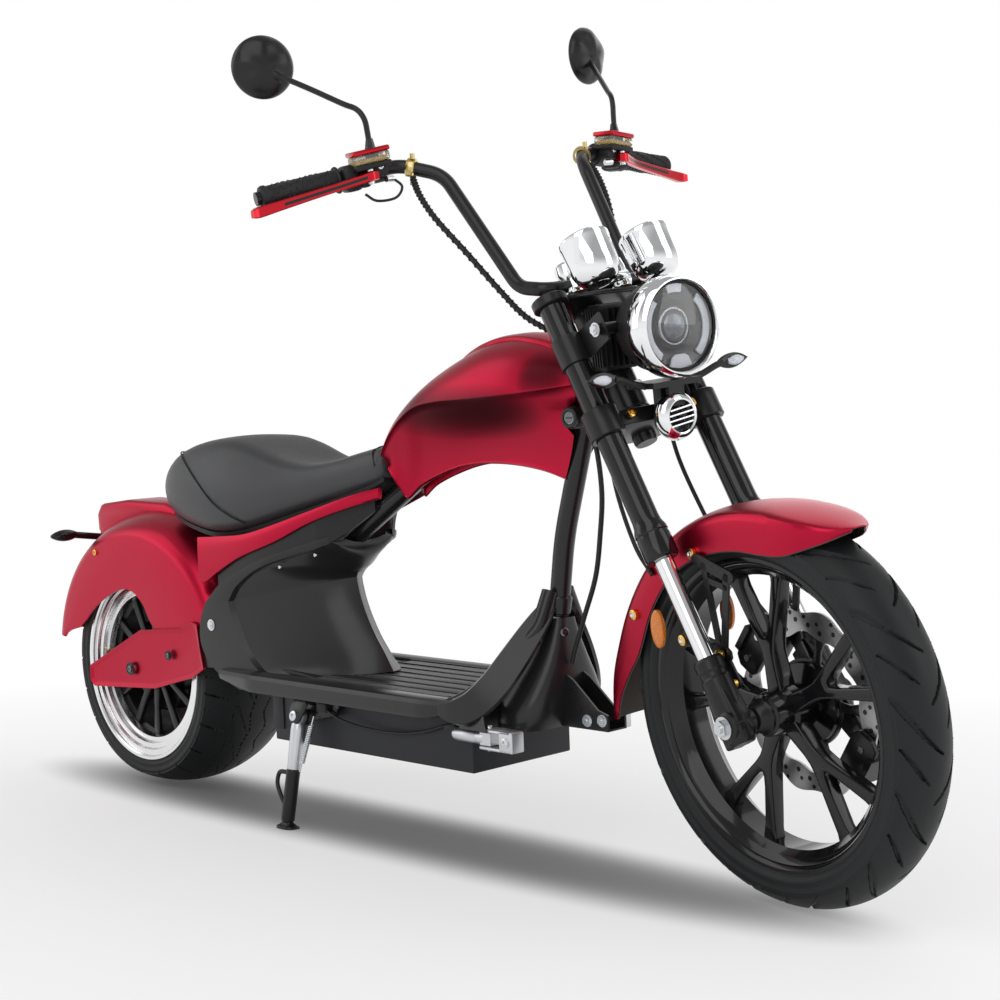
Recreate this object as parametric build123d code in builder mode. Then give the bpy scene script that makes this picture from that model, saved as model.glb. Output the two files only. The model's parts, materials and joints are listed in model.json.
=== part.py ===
from build123d import *
import os
from math import atan2, cos, degrees, radians, sin, sqrt

os.makedirs("parts", exist_ok=True)

# Electric chopper scooter, parked on its side stand with the front wheel turned to the right.
# Every piece is modelled with the machine upright and straight: X forward, Y to its left, Z up,
# X = 0 at the rear axle and Z = 0 at the floor. The last section turns the steering, leans the
# machine onto its stand and moves the origin to the bottom centre of its box.

# Stance and chassis geometry, millimetres and degrees
WHEELBASE = 1510.0
LEAN = 3.13
STEER = 10.9
RAKE = 28.7
AXLE_LEAD = 40.0

# Fits and gaps
SEAT_GAP = 0.3
SLIP = 0.08
SIDES = (("right", -1), ("left", 1))

# Wheels
FRONT_R = 293.0
FRONT_HALF = 53.0
FRONT_SHOULDER_R = 266.0
FRONT_BEAD_R = 222.0
FRONT_BEAD_HALF = 41.0
FRONT_FLANGE_R = 232.0
FRONT_FLANGE_T = 5.0
FRONT_WELL_R = 200.0
REAR_R = 240.0
REAR_HALF = 105.0
REAR_SHOULDER_R = 214.0
REAR_BEAD_R = 172.0
REAR_BEAD_HALF = 97.0
REAR_FLANGE_R = 184.0
REAR_FLANGE_T = 6.0
REAR_WELL_R = 150.0
SPOKES = 5
SPOKE_T = 20.0
SPOKE_START = 27.0
HUB_R = 34.0
HUB_HALF = 46.0
DISC_R = 138.0
DISC_BORE_R = 56.0
DISC_T = 4.0
MOTOR_R = 92.0
MOTOR_HALF = 96.0
REAR_BLADES = 12

# Axles
AXLE_R = 7.5
COLLAR_R = 13.0
NUT_R = 12.0
NUT_T = 9.0

# Fork and yokes, stations measured up the fork from the front axle
LEG_HALF = 98.0
SLIDER_R = 23.0
SLIDER_TOP = 103.0
STANCHION_R = 14.5
STANCHION_TOP = 262.0
SLEEVE_R = 26.0
SLEEVE_TOP = 318.0
FORK_R = 21.0
FORK_TOP = 708.3
LOWER_YOKE = 466.0
LOWER_YOKE_T = 45.0
TOP_YOKE = 693.0
TOP_YOKE_T = 15.0
YOKE_BOSS_R = 28.0
STEM_R = 15.0
HEAD_R = 27.0
HEAD_END_GAP = 1.0
LUG_OUT = LEG_HALF + SLIDER_R

# Handlebar, from its middle to its right end
BAR_R = 11.0
BAR_HALF = 418.0
GRIP_R = 17.0
GRIP_IN = 286.0
GRIP_OUT = 413.0
GRIP_COLLAR = 5.0

# Headlamp, horn and dials
LAMP_R = 77.0
LAMP_FRONT = 1362.0
LAMP_Z = 857.0
HORN_R = 35.0
DIAL_R = 40.0
DIAL_HALF = 59.0
DIAL_BASE = 680.0
DIAL_LEN = 74.0
DIAL_FWD = 84.0
DIAL_PLATE_T = 4.0

# Deck, rails and battery
RAIL_R = 14.0
RAIL_HALF = 148.0
RAIL_Z = 253.0
DECK_TOP = 266.0
DECK_T = 16.0
DECK_BACK = 336.0
DECK_FRONT = 985.0
RIB_H = 4.0
RIB_W = 9.0
RIB_PITCH = 21.0
BATTERY_BACK = 439.0
BATTERY_FRONT = 960.0
BATTERY_HALF = 116.0
BATTERY_BOTTOM = 146.0
BATTERY_TOP = 236.0

# Frame tubes
DOWN_R = 17.0
BACKBONE_R = 20.0

# Bodywork
TANK_HALF = 108.0
SEAT_HALF = 132.0
FAIRING_HALF = 130.0
FAIRING_SKIN = 9.0
FENDER_CROWN_R = 312.0
FENDER_SIDE_R = 276.0
FENDER_HALF = 118.0
FENDER_WALL = 4.0
ARM_IN = 110.0
ARM_T = 10.0
COVER_T = 9.0

# Side stand
STAND_X = 543.0
STAND_Y = -140.0
STAND_Z = 203.0
STAND_PIN_R = 6.0
STAND_SPLAY = 11.5
STAND_LEG_R = 9.0
STAND_FOOT_Y = -176.0

# Derived frames
rake = radians(RAKE)
fork_up = Vector(-sin(rake), 0, cos(rake))
fork_fwd = Vector(cos(rake), 0, sin(rake))
front_axle = Vector(WHEELBASE, 0, FRONT_R)
rear_axle = Vector(0, 0, REAR_R)
steer_base = front_axle - fork_fwd * AXLE_LEAD


def fork_plane(station, across=0.0, ahead=0.0):
    """Plane square to the fork: local X points ahead of the legs, local Z up along them."""
    origin = front_axle + fork_up * station + fork_fwd * ahead + Vector(0, across, 0)
    return Plane(origin=origin, x_dir=fork_fwd, z_dir=fork_up)


def head_plane(station, across=0.0):
    """Plane square to the steering axis, at a station measured like those of the fork."""
    return fork_plane(station, across, -AXLE_LEAD)


def section_plane(centre):
    """Half-section plane of a wheel: local X across the machine, local Y out along a radius."""
    return Plane(origin=centre, x_dir=(0, 1, 0), z_dir=(1, 0, 0))


def side_plane(x=0.0, y=0.0, z=0.0):
    """Side view plane: local X forward, local Y up, extruding toward the right side."""
    return Plane(origin=(x, y, z), x_dir=(1, 0, 0), z_dir=(0, -1, 0))


def round_bar(points, bends, radius):
    """Round bar along straight runs joined by tangent bends, one bend radius a corner."""
    with BuildPart() as bar:
        with BuildLine() as route:
            FilletPolyline(*points, radius=bends)
        with BuildSketch(Plane(origin=route.line @ 0, z_dir=route.line % 0)):
            Circle(radius)
        sweep(path=route.line)
    return bar.part


def straight_bar(start, end, radius):
    """Straight round bar from one point to another."""
    run = Vector(*end) - Vector(*start)
    with BuildPart() as bar:
        with BuildSketch(Plane(origin=start, z_dir=run)):
            Circle(radius)
        extrude(amount=run.length)
    return bar.part


def slab(outline, inner, outer):
    """Flat plate with a side-view outline, between two distances out on the right side."""
    with BuildPart() as plate:
        with BuildSketch(side_plane(y=-inner)):
            Polygon(*outline, align=None)
        extrude(amount=outer - inner)
    return plate.part


pieces = {}


def keep(sub_part, label, body):
    """Label a finished sub-part and note the moving body that it rides on."""
    sub_part.label = label
    pieces[label] = (sub_part, body)


# Front wheel
axle_line = Axis(front_axle, (0, 1, 0))
with BuildPart() as front_tyre:
    with BuildSketch(section_plane(front_axle)):
        with BuildLine():
            inner = Line((-FRONT_BEAD_HALF, FRONT_BEAD_R), (FRONT_BEAD_HALF, FRONT_BEAD_R))
            flank = Line(inner @ 1, (FRONT_BEAD_HALF, FRONT_FLANGE_R + 1))
            wall = ThreePointArc(flank @ 1, (FRONT_HALF - 0.6, FRONT_FLANGE_R + 14),
                                 (FRONT_HALF - 1, FRONT_SHOULDER_R))
            crown = ThreePointArc(wall @ 1, (0, FRONT_R), (1 - FRONT_HALF, FRONT_SHOULDER_R))
            wall2 = ThreePointArc(crown @ 1, (0.6 - FRONT_HALF, FRONT_FLANGE_R + 14),
                                  (-FRONT_BEAD_HALF, FRONT_FLANGE_R + 1))
            Line(wall2 @ 1, inner @ 0)
        make_face()
    revolve(axis=axle_line)
keep(front_tyre.part, "front_tyre", "front_wheel")

front_barrel = (
    (FRONT_BEAD_HALF + SEAT_GAP, FRONT_FLANGE_R),
    (FRONT_BEAD_HALF + SEAT_GAP, FRONT_BEAD_R - SEAT_GAP),
)
rim_edge = FRONT_BEAD_HALF + SEAT_GAP + FRONT_FLANGE_T
with BuildPart() as front_rim:
    with BuildSketch(section_plane(front_axle)):
        Polygon(
            (-rim_edge, FRONT_FLANGE_R), (-front_barrel[0][0], FRONT_FLANGE_R),
            (-front_barrel[1][0], front_barrel[1][1]), front_barrel[1], front_barrel[0],
            (rim_edge, FRONT_FLANGE_R), (rim_edge, FRONT_FLANGE_R - 9),
            (34, 213), (22, FRONT_WELL_R), (-22, FRONT_WELL_R), (-34, 213),
            (-rim_edge, FRONT_FLANGE_R - 9), align=None)
    revolve(axis=axle_line)
    with BuildSketch(side_plane(WHEELBASE, 0, FRONT_R)):
        Circle(HUB_R)
    extrude(amount=HUB_HALF, both=True)
    with BuildSketch(side_plane(WHEELBASE, 0, FRONT_R)):
        with PolarLocations(0, SPOKES, start_angle=SPOKE_START):
            Polygon((20, -13), (92, -11), (112, 0), (92, 11), (20, 13), align=None)
            Polygon((80, 10), (90, -4), (204, 40), (200, 66), align=None)
            Polygon((80, -10), (90, 4), (204, -40), (200, -66), align=None)
    extrude(amount=SPOKE_T / 2, both=True)
    with BuildSketch(side_plane(WHEELBASE, HUB_HALF, FRONT_R)):
        Circle(DISC_BORE_R + 10)
    extrude(amount=8)
    with BuildSketch(side_plane(WHEELBASE, 0, FRONT_R)):
        Circle(AXLE_R + SLIP)
    extrude(amount=HUB_HALF + 1, both=True, mode=Mode.SUBTRACT)
keep(front_rim.part, "front_rim", "front_wheel")

with BuildPart() as brake_disc:
    with BuildSketch(side_plane(WHEELBASE, HUB_HALF + DISC_T, FRONT_R)):
        Circle(DISC_R - 8)
        with PolarLocations(DISC_R - 26, 10):
            Circle(24)
        Circle(DISC_BORE_R, mode=Mode.SUBTRACT)
        with PolarLocations(88, 5):
            Circle(17, mode=Mode.SUBTRACT)
    extrude(amount=DISC_T)
keep(brake_disc.part, "brake_disc", "front_wheel")

# Rear wheel with its hub motor
rear_line = Axis(rear_axle, (0, 1, 0))
with BuildPart() as rear_tyre:
    with BuildSketch(section_plane(rear_axle)):
        with BuildLine():
            inner = Line((-REAR_BEAD_HALF, REAR_BEAD_R), (REAR_BEAD_HALF, REAR_BEAD_R))
            flank = Line(inner @ 1, (REAR_BEAD_HALF, REAR_FLANGE_R + 1))
            wall = ThreePointArc(flank @ 1, (REAR_HALF - 0.6, REAR_FLANGE_R + 11),
                                 (REAR_HALF - 1, REAR_SHOULDER_R))
            crown = ThreePointArc(wall @ 1, (0, REAR_R), (1 - REAR_HALF, REAR_SHOULDER_R))
            wall2 = ThreePointArc(crown @ 1, (0.6 - REAR_HALF, REAR_FLANGE_R + 11),
                                  (-REAR_BEAD_HALF, REAR_FLANGE_R + 1))
            Line(wall2 @ 1, inner @ 0)
        make_face()
    revolve(axis=rear_line)
keep(rear_tyre.part, "rear_tyre", "rear_wheel")

rear_edge = REAR_BEAD_HALF + SEAT_GAP + REAR_FLANGE_T
rear_seat = REAR_BEAD_HALF + SEAT_GAP
with BuildPart() as rear_rim:
    with BuildSketch(section_plane(rear_axle)):
        Polygon(
            (-rear_edge, REAR_FLANGE_R), (-rear_seat, REAR_FLANGE_R),
            (-rear_seat, REAR_BEAD_R - SEAT_GAP), (rear_seat, REAR_BEAD_R - SEAT_GAP),
            (rear_seat, REAR_FLANGE_R), (rear_edge, REAR_FLANGE_R),
            (rear_edge, REAR_FLANGE_R - 8), (88, 168), (76, 158), (58, REAR_WELL_R),
            (-58, REAR_WELL_R), (-76, 158), (-88, 168),
            (-rear_edge, REAR_FLANGE_R - 8), align=None)
    revolve(axis=rear_line)
    with BuildSketch(side_plane(0, 0, REAR_R)):
        Circle(MOTOR_R)
    extrude(amount=55, both=True)
    with BuildSketch(side_plane(0, 0, REAR_R)):
        Circle(46)
    extrude(amount=MOTOR_HALF, both=True)
    with BuildSketch(side_plane(0, 0, REAR_R)):
        with PolarLocations(0, REAR_BLADES):
            Polygon((40, -9), (152, -16), (152, 2), (40, 9), align=None)
    extrude(amount=58, both=True)
    with BuildSketch(side_plane(0, 0, REAR_R)):
        Circle(AXLE_R + SLIP)
    extrude(amount=MOTOR_HALF + 1, both=True, mode=Mode.SUBTRACT)
keep(rear_rim.part, "rear_rim", "rear_wheel")

# Axles, each one bar with its collars and nuts
with BuildPart() as front_axle_bar:
    with BuildSketch(side_plane(WHEELBASE, 0, FRONT_R)):
        Circle(AXLE_R)
    extrude(amount=LUG_OUT + NUT_T + 4, both=True)
    for name, side in SIDES:
        with BuildSketch(side_plane(WHEELBASE, side * (HUB_HALF + 1), FRONT_R)):
            Circle(COLLAR_R)
        extrude(amount=-side * (LEG_HALF - SLIDER_R - SEAT_GAP - HUB_HALF - 1))
        with BuildSketch(side_plane(WHEELBASE, side * (LUG_OUT + SEAT_GAP), FRONT_R)):
            RegularPolygon(NUT_R, 6)
        extrude(amount=-side * NUT_T)
keep(front_axle_bar.part, "front_axle", "steering")

with BuildPart() as rear_axle_bar:
    with BuildSketch(side_plane(0, 0, REAR_R)):
        Circle(AXLE_R)
    extrude(amount=ARM_IN + ARM_T + COVER_T - 2, both=True)
    for name, side in SIDES:
        with BuildSketch(side_plane(0, side * (MOTOR_HALF + 1), REAR_R)):
            Circle(COLLAR_R)
        extrude(amount=-side * (ARM_IN - MOTOR_HALF - 1.3))
keep(rear_axle_bar.part, "rear_axle", "chassis")

# Fork legs and yokes
with BuildPart() as fork_sliders:
    for name, side in SIDES:
        with BuildSketch(fork_plane(-14, side * LEG_HALF)):
            Circle(SLIDER_R)
        extrude(amount=SLIDER_TOP + 14)
        with BuildSketch(side_plane(WHEELBASE, side * LUG_OUT, FRONT_R)):
            Circle(SLIDER_R - 1)
        extrude(amount=side * 2 * SLIDER_R)
    with BuildSketch(side_plane(WHEELBASE, 0, FRONT_R)):
        Circle(AXLE_R + SLIP)
    extrude(amount=LEG_HALF + 40, both=True, mode=Mode.SUBTRACT)
keep(fork_sliders.part, "fork_sliders", "steering")

with BuildPart() as fork_stanchions:
    for name, side in SIDES:
        with BuildSketch(fork_plane(SLIDER_TOP, side * LEG_HALF)):
            Circle(STANCHION_R)
        extrude(amount=STANCHION_TOP - SLIDER_TOP)
keep(fork_stanchions.part, "fork_stanchions", "steering")

with BuildPart() as fork_tubes:
    for name, side in SIDES:
        with BuildSketch(fork_plane(STANCHION_TOP, side * LEG_HALF)):
            Circle(FORK_R)
        extrude(amount=FORK_TOP - STANCHION_TOP)
        with BuildSketch(fork_plane(STANCHION_TOP, side * LEG_HALF)):
            Circle(SLEEVE_R)
        extrude(amount=SLEEVE_TOP - STANCHION_TOP)
keep(fork_tubes.part, "fork_tubes", "steering")

with BuildPart() as lower_yoke:
    with BuildSketch(fork_plane(LOWER_YOKE)):
        with Locations((0, LEG_HALF), (0, -LEG_HALF)):
            Circle(YOKE_BOSS_R)
        Polygon((-66, -45), (-66, 45), (-14, LEG_HALF + 14), (22, LEG_HALF), (22, -LEG_HALF),
                 (-14, -LEG_HALF - 14), align=None)
    extrude(amount=LOWER_YOKE_T)
    with BuildSketch(head_plane(LOWER_YOKE)):
        Circle(STEM_R)
    extrude(amount=FORK_TOP - LOWER_YOKE)
    with BuildSketch(fork_plane(LOWER_YOKE - 1)):
        with Locations((0, LEG_HALF), (0, -LEG_HALF)):
            Circle(FORK_R + SLIP)
    extrude(amount=LOWER_YOKE_T + 2, mode=Mode.SUBTRACT)
keep(lower_yoke.part, "lower_yoke", "steering")

with BuildPart() as top_yoke:
    with BuildSketch(fork_plane(TOP_YOKE)):
        with Locations((0, LEG_HALF), (0, -LEG_HALF)):
            Circle(YOKE_BOSS_R)
        Polygon((-64, -36), (-64, 36), (-18, LEG_HALF + 10), (26, LEG_HALF), (30, 40), (30, -40),
                 (26, -LEG_HALF), (-18, -LEG_HALF - 10), align=None)
    extrude(amount=TOP_YOKE_T)
    with BuildSketch(fork_plane(DIAL_BASE - SEAT_GAP)):
        Polygon((-6, -60), (-6, 60), (40, 84), (100, 84), (100, 34), (40, 20), (40, -20),
                (100, -34), (100, -84), (40, -84), align=None)
    extrude(amount=-DIAL_PLATE_T)
    for name, side in SIDES:
        with BuildSketch(fork_plane(DIAL_BASE - SEAT_GAP, side * 45, 10)):
            Circle(8)
        extrude(amount=TOP_YOKE - DIAL_BASE + SEAT_GAP)
        with BuildSketch(fork_plane(DIAL_BASE - 10, side * LEG_HALF)):
            Circle(FORK_R + 3)
        extrude(amount=TOP_YOKE - DIAL_BASE + 10 - SEAT_GAP, mode=Mode.SUBTRACT)
    with BuildSketch(fork_plane(TOP_YOKE - 30)):
        with Locations((0, LEG_HALF), (0, -LEG_HALF)):
            Circle(FORK_R + SLIP)
        with Locations((-AXLE_LEAD, 0)):
            Circle(STEM_R + SLIP)
    extrude(amount=TOP_YOKE_T + 31, mode=Mode.SUBTRACT)
keep(top_yoke.part, "top_yoke", "steering")

# Handlebar: a swept bar, its risers and clamps, grips, controls, levers and mirrors
BAR_MID = Vector(1166, 0, 929)
bar_low = BAR_MID - Vector(0, 97, 0)
bar_turn = Vector(1117, -112, 936)
bar_high = Vector(985, -141, 1124)
bar_out = Vector(930, -185, 1147)
grip_run = Vector(-0.25, -1, -0.14).normalized()


def mirrored(point, side):
    """The same point on the right (-1) or the left (+1) side."""
    return Vector(point.X, -side * point.Y, point.Z)


def grip_plane(side, reach):
    """Plane square to one end of the bar, where it has reached a distance out from the middle."""
    along = (reach + bar_out.Y) / -grip_run.Y
    origin = mirrored(bar_out + grip_run * along, side)
    run = mirrored(grip_run, side)
    return Plane(origin=origin, x_dir=Vector(0, 0, 1).cross(run), z_dir=run)


bar_end = grip_plane(-1, BAR_HALF).origin
bar_corners = [bar_end, bar_out, bar_high, bar_turn, bar_low]
bar_points = bar_corners + [mirrored(p, 1) for p in reversed(bar_corners)]
bar_bends = [45.0, 60.0, 40.0, 24.0]
handlebar = round_bar(bar_points, bar_bends + bar_bends[::-1], BAR_R)
keep(handlebar, "handlebar", "steering")

RISER_HALF = 45.0
riser_ahead = (BAR_MID - front_axle).dot(fork_fwd)
riser_station = (BAR_MID - front_axle).dot(fork_up)
with BuildPart() as bar_clamps:
    for name, side in SIDES:
        with BuildSketch(fork_plane(TOP_YOKE + TOP_YOKE_T, side * RISER_HALF, riser_ahead)):
            RectangleRounded(44, 26, 6)
        extrude(amount=riser_station + 17 - TOP_YOKE - TOP_YOKE_T)
    with BuildSketch(side_plane(BAR_MID.X, 0, BAR_MID.Z)):
        Circle(BAR_R + SLIP)
    extrude(amount=RISER_HALF + 20, both=True, mode=Mode.SUBTRACT)
keep(bar_clamps.part, "bar_clamps", "steering")

with BuildPart() as grips:
    for name, side in SIDES:
        with BuildSketch(grip_plane(side, GRIP_IN)):
            Circle(GRIP_R)
            Circle(BAR_R + SLIP, mode=Mode.SUBTRACT)
        extrude(amount=GRIP_OUT - GRIP_IN)
        with BuildSketch(grip_plane(side, GRIP_IN)):
            Circle(GRIP_R + 4)
            Circle(BAR_R + SLIP, mode=Mode.SUBTRACT)
        extrude(amount=GRIP_COLLAR)
keep(grips.part, "grips", "steering")

SWITCH_IN = 258.0
MASTER_IN = 214.0
with BuildPart() as bar_controls:
    for name, side in SIDES:
        with BuildSketch(grip_plane(side, SWITCH_IN)):
            RectangleRounded(44, 46, 14)
            Circle(BAR_R + SLIP, mode=Mode.SUBTRACT)
        extrude(amount=24)
        clamp = grip_plane(side, MASTER_IN)
        with BuildSketch(clamp):
            Circle(19)
            with Locations((side * 22, 4)):
                Rectangle(30, 24)
            Circle(BAR_R + SLIP, mode=Mode.SUBTRACT)
        extrude(amount=26)
        pot = clamp.origin + Vector(38, side * 12, 12)
        with BuildSketch(Plane(origin=pot, x_dir=(1, side * -0.25, 0), z_dir=(0, 0, 1))):
            RectangleRounded(46, 66, 10)
        extrude(amount=26)
keep(bar_controls.part, "bar_controls", "steering")

LEVER_TIP = Vector(893, -432, 1094)
LEVER_ROOT = Vector(944, -256, 1129)
with BuildPart() as brake_levers:
    for name, side in SIDES:
        root = mirrored(LEVER_ROOT, side)
        tip = mirrored(LEVER_TIP, side)
        with BuildSketch(Plane(origin=root, x_dir=(0, 0, 1), z_dir=tip - root)):
            RectangleRounded(9, 18, 3)
        with BuildSketch(Plane(origin=root + (tip - root) * 0.35, x_dir=(0, 0, 1), z_dir=tip - root)):
            RectangleRounded(9, 13, 3)
        with BuildSketch(Plane(origin=tip, x_dir=(0, 0, 1), z_dir=tip - root)):
            RectangleRounded(10, 12, 3)
        loft()
    add(bar_controls.part, mode=Mode.SUBTRACT)
keep(brake_levers.part, "brake_levers", "steering")

MIRROR_R = 50.0
MIRROR_T = 20.0
MIRROR_TOE = 18.0
MIRROR_AT = Vector(786, -330, 1326)
stem_points = [Vector(946, -246, 1168), Vector(945, -250, 1228), Vector(806, -322, 1310)]
with BuildPart() as mirrors:
    for name, side in SIDES:
        facing = Vector(cos(radians(MIRROR_TOE)), side * sin(radians(MIRROR_TOE)), 0)
        add(round_bar([mirrored(p, side) for p in stem_points], [25.0], 4.5))
        with BuildSketch(Plane(origin=mirrored(stem_points[0], side), z_dir=(0, 0, 1))):
            Circle(9)
        extrude(amount=26)
        with BuildSketch(Plane(origin=mirrored(MIRROR_AT, side), x_dir=(0, 0, 1), z_dir=facing)):
            Circle(MIRROR_R)
        extrude(amount=MIRROR_T, taper=28)
        with BuildSketch(Plane(origin=mirrored(MIRROR_AT, side), x_dir=(0, 0, 1), z_dir=facing)):
            Circle(MIRROR_R)
        extrude(amount=-5)
    add(bar_controls.part, mode=Mode.SUBTRACT)
keep(mirrors.part, "mirrors", "steering")

# Headlamp, its bracket, horn, dials and indicators
lamp_line = Axis((0, 0, LAMP_Z), (1, 0, 0))
with BuildPart() as headlamp_bucket:
    with BuildSketch(Plane.XZ):
        Polygon((1256, LAMP_Z), (1256, LAMP_Z + 30), (1272, LAMP_Z + 56), (1300, LAMP_Z + 69),
                 (1340, LAMP_Z + 72), (1340, LAMP_Z + 65), (1290, LAMP_Z + 40),
                 (1290, LAMP_Z), align=None)
    revolve(axis=lamp_line)
keep(headlamp_bucket.part, "headlamp_bucket", "steering")

with BuildPart() as headlamp_ring:
    with BuildSketch(Plane.XZ):
        Polygon((1340 + SEAT_GAP, LAMP_Z + 60), (1340 + SEAT_GAP, LAMP_Z + LAMP_R - 2),
                 (1352, LAMP_Z + LAMP_R), (LAMP_FRONT, LAMP_Z + LAMP_R - 6),
                 (LAMP_FRONT, LAMP_Z + LAMP_R - 10), (1348, LAMP_Z + 62),
                 (1348, LAMP_Z + 60), align=None)
    revolve(axis=lamp_line)
keep(headlamp_ring.part, "headlamp_ring", "steering")

with BuildPart() as headlamp_lens:
    with BuildSketch(Plane.XZ):
        with BuildLine():
            base = Line((1348.3, LAMP_Z), (1348.3, LAMP_Z + 62))
            rim = Line(base @ 1, (1351.3, LAMP_Z + 62))
            face = ThreePointArc(rim @ 1, (1359.2, LAMP_Z + 34), (1362, LAMP_Z + 8))
            Polyline(face @ 1, (1362, LAMP_Z), base @ 0)
        make_face()
    revolve(axis=lamp_line)
keep(headlamp_lens.part, "headlamp_lens", "steering")

LAMP_BRACKET_Z = 768.0
with BuildPart() as lamp_bracket:
    with BuildSketch(Plane.XY.offset(LAMP_BRACKET_Z)):
        with Locations((1308, 0)):
            Rectangle(64, 96)
    extrude(amount=9)
    with BuildSketch(Plane.XY.offset(LAMP_BRACKET_Z)):
        with Locations((1312, 0)):
            Rectangle(18, 40)
    extrude(amount=-60)
    with BuildSketch(Plane.XY.offset(LAMP_BRACKET_Z)):
        with Locations((1330, 0)):
            Rectangle(10, 30)
    extrude(amount=-30)
    for name, side in SIDES:
        with BuildSketch(fork_plane(590, side * LEG_HALF)):
            Circle(FORK_R + 4)
            with Locations((40, -side * 12)):
                Rectangle(80, 5)
        extrude(amount=46)
        with BuildSketch(side_plane(1277, side * (LEG_HALF - 7), 864)):
            Circle(9)
        extrude(amount=side * 50)
        with BuildSketch(fork_plane(580, side * LEG_HALF)):
            Circle(FORK_R + SLIP)
        extrude(amount=66, mode=Mode.SUBTRACT)
    add(lower_yoke.part, mode=Mode.SUBTRACT)
    add(headlamp_bucket.part, mode=Mode.SUBTRACT)
keep(lamp_bracket.part, "lamp_bracket", "steering")

HORN_AT = (1322.0, 722.0)
with BuildPart() as horn:
    with BuildSketch(Plane(origin=(HORN_AT[0], 0, HORN_AT[1]), z_dir=(1, 0, 0))):
        Circle(HORN_R)
    extrude(amount=20, taper=12)
    with BuildSketch(Plane(origin=(HORN_AT[0], 0, HORN_AT[1]), z_dir=(-1, 0, 0))):
        Circle(HORN_R)
    extrude(amount=8, taper=30)
    add(lamp_bracket.part, mode=Mode.SUBTRACT)
    add(lower_yoke.part, mode=Mode.SUBTRACT)
keep(horn.part, "horn", "steering")

with BuildPart() as dial_cups:
    for name, side in SIDES:
        with BuildSketch(fork_plane(DIAL_BASE, side * DIAL_HALF, DIAL_FWD)):
            Circle(DIAL_R - 12)
        with BuildSketch(fork_plane(DIAL_BASE + 12, side * DIAL_HALF, DIAL_FWD)):
            Circle(DIAL_R)
        loft()
        with BuildSketch(fork_plane(DIAL_BASE + 12, side * DIAL_HALF, DIAL_FWD)):
            Circle(DIAL_R)
        extrude(amount=DIAL_LEN - 12)
        with BuildSketch(fork_plane(DIAL_BASE + DIAL_LEN, side * DIAL_HALF, DIAL_FWD)):
            Circle(DIAL_R - 4)
        extrude(amount=-10, mode=Mode.SUBTRACT)
keep(dial_cups.part, "dial_cups", "steering")

with BuildPart() as dial_faces:
    for name, side in SIDES:
        with BuildSketch(fork_plane(DIAL_BASE + DIAL_LEN - 10, side * DIAL_HALF, DIAL_FWD)):
            Circle(DIAL_R - 4 - SEAT_GAP)
        extrude(amount=5)
keep(dial_faces.part, "dial_faces", "steering")

FLASHER_X = 1322.0
FLASHER_Z = 790.0
FLASHER_LEN = 50.0
FLASHER_TIP = 158.0
with BuildPart() as front_indicators:
    for name, side in SIDES:
        add(straight_bar((1318, side * 44, 774), (FLASHER_X, side * (FLASHER_TIP - FLASHER_LEN + 6), FLASHER_Z),
                         6))
        root, tip = sorted((side * FLASHER_TIP, side * (FLASHER_TIP - FLASHER_LEN)))
        with BuildSketch(Plane(origin=(FLASHER_X, 0, FLASHER_Z), x_dir=(0, 1, 0), z_dir=(1, 0, 0))):
            with BuildLine():
                foot = Line((root, 0), (root, 3))
                arc = ThreePointArc(foot @ 1, ((root + tip) / 2, 11), (tip, 3))
                Polyline(arc @ 1, (tip, 0), (root, 0))
            make_face()
        revolve(axis=Axis((FLASHER_X, 0, FLASHER_Z), (0, 1, 0)))
    add(headlamp_bucket.part, mode=Mode.SUBTRACT)
    add(lamp_bracket.part, mode=Mode.SUBTRACT)
keep(front_indicators.part, "front_indicators", "steering")

# Front fender: a crowned section carried along three arcs over the tyre
MUDGUARD_R = 308.0
MUDGUARD_HALF = 64.0
MUDGUARD_DROP = 52.0
MUDGUARD_WALL = 3.0


def guard_section(plane, half, wall):
    """Crowned inverted-U section of a fender, closed by its wall thickness."""
    with BuildSketch(plane) as section:
        with BuildLine():
            crown = ThreePointArc((-half + 3, -28), (0, 0), (half - 3, -28))
            flank = Line(crown @ 1, (half, -MUDGUARD_DROP))
            lip = Line(flank @ 1, (half - wall, -MUDGUARD_DROP))
            inside = Line(lip @ 1, (half - 3 - wall, -30))
            under = ThreePointArc(inside @ 1, (0, -wall), (-half + 3 + wall, -30))
            inside2 = Line(under @ 1, (-half + wall, -MUDGUARD_DROP))
            lip2 = Line(inside2 @ 1, (-half, -MUDGUARD_DROP))
            Line(lip2 @ 1, crown @ 0)
        make_face()
    return section.sketch


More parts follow.
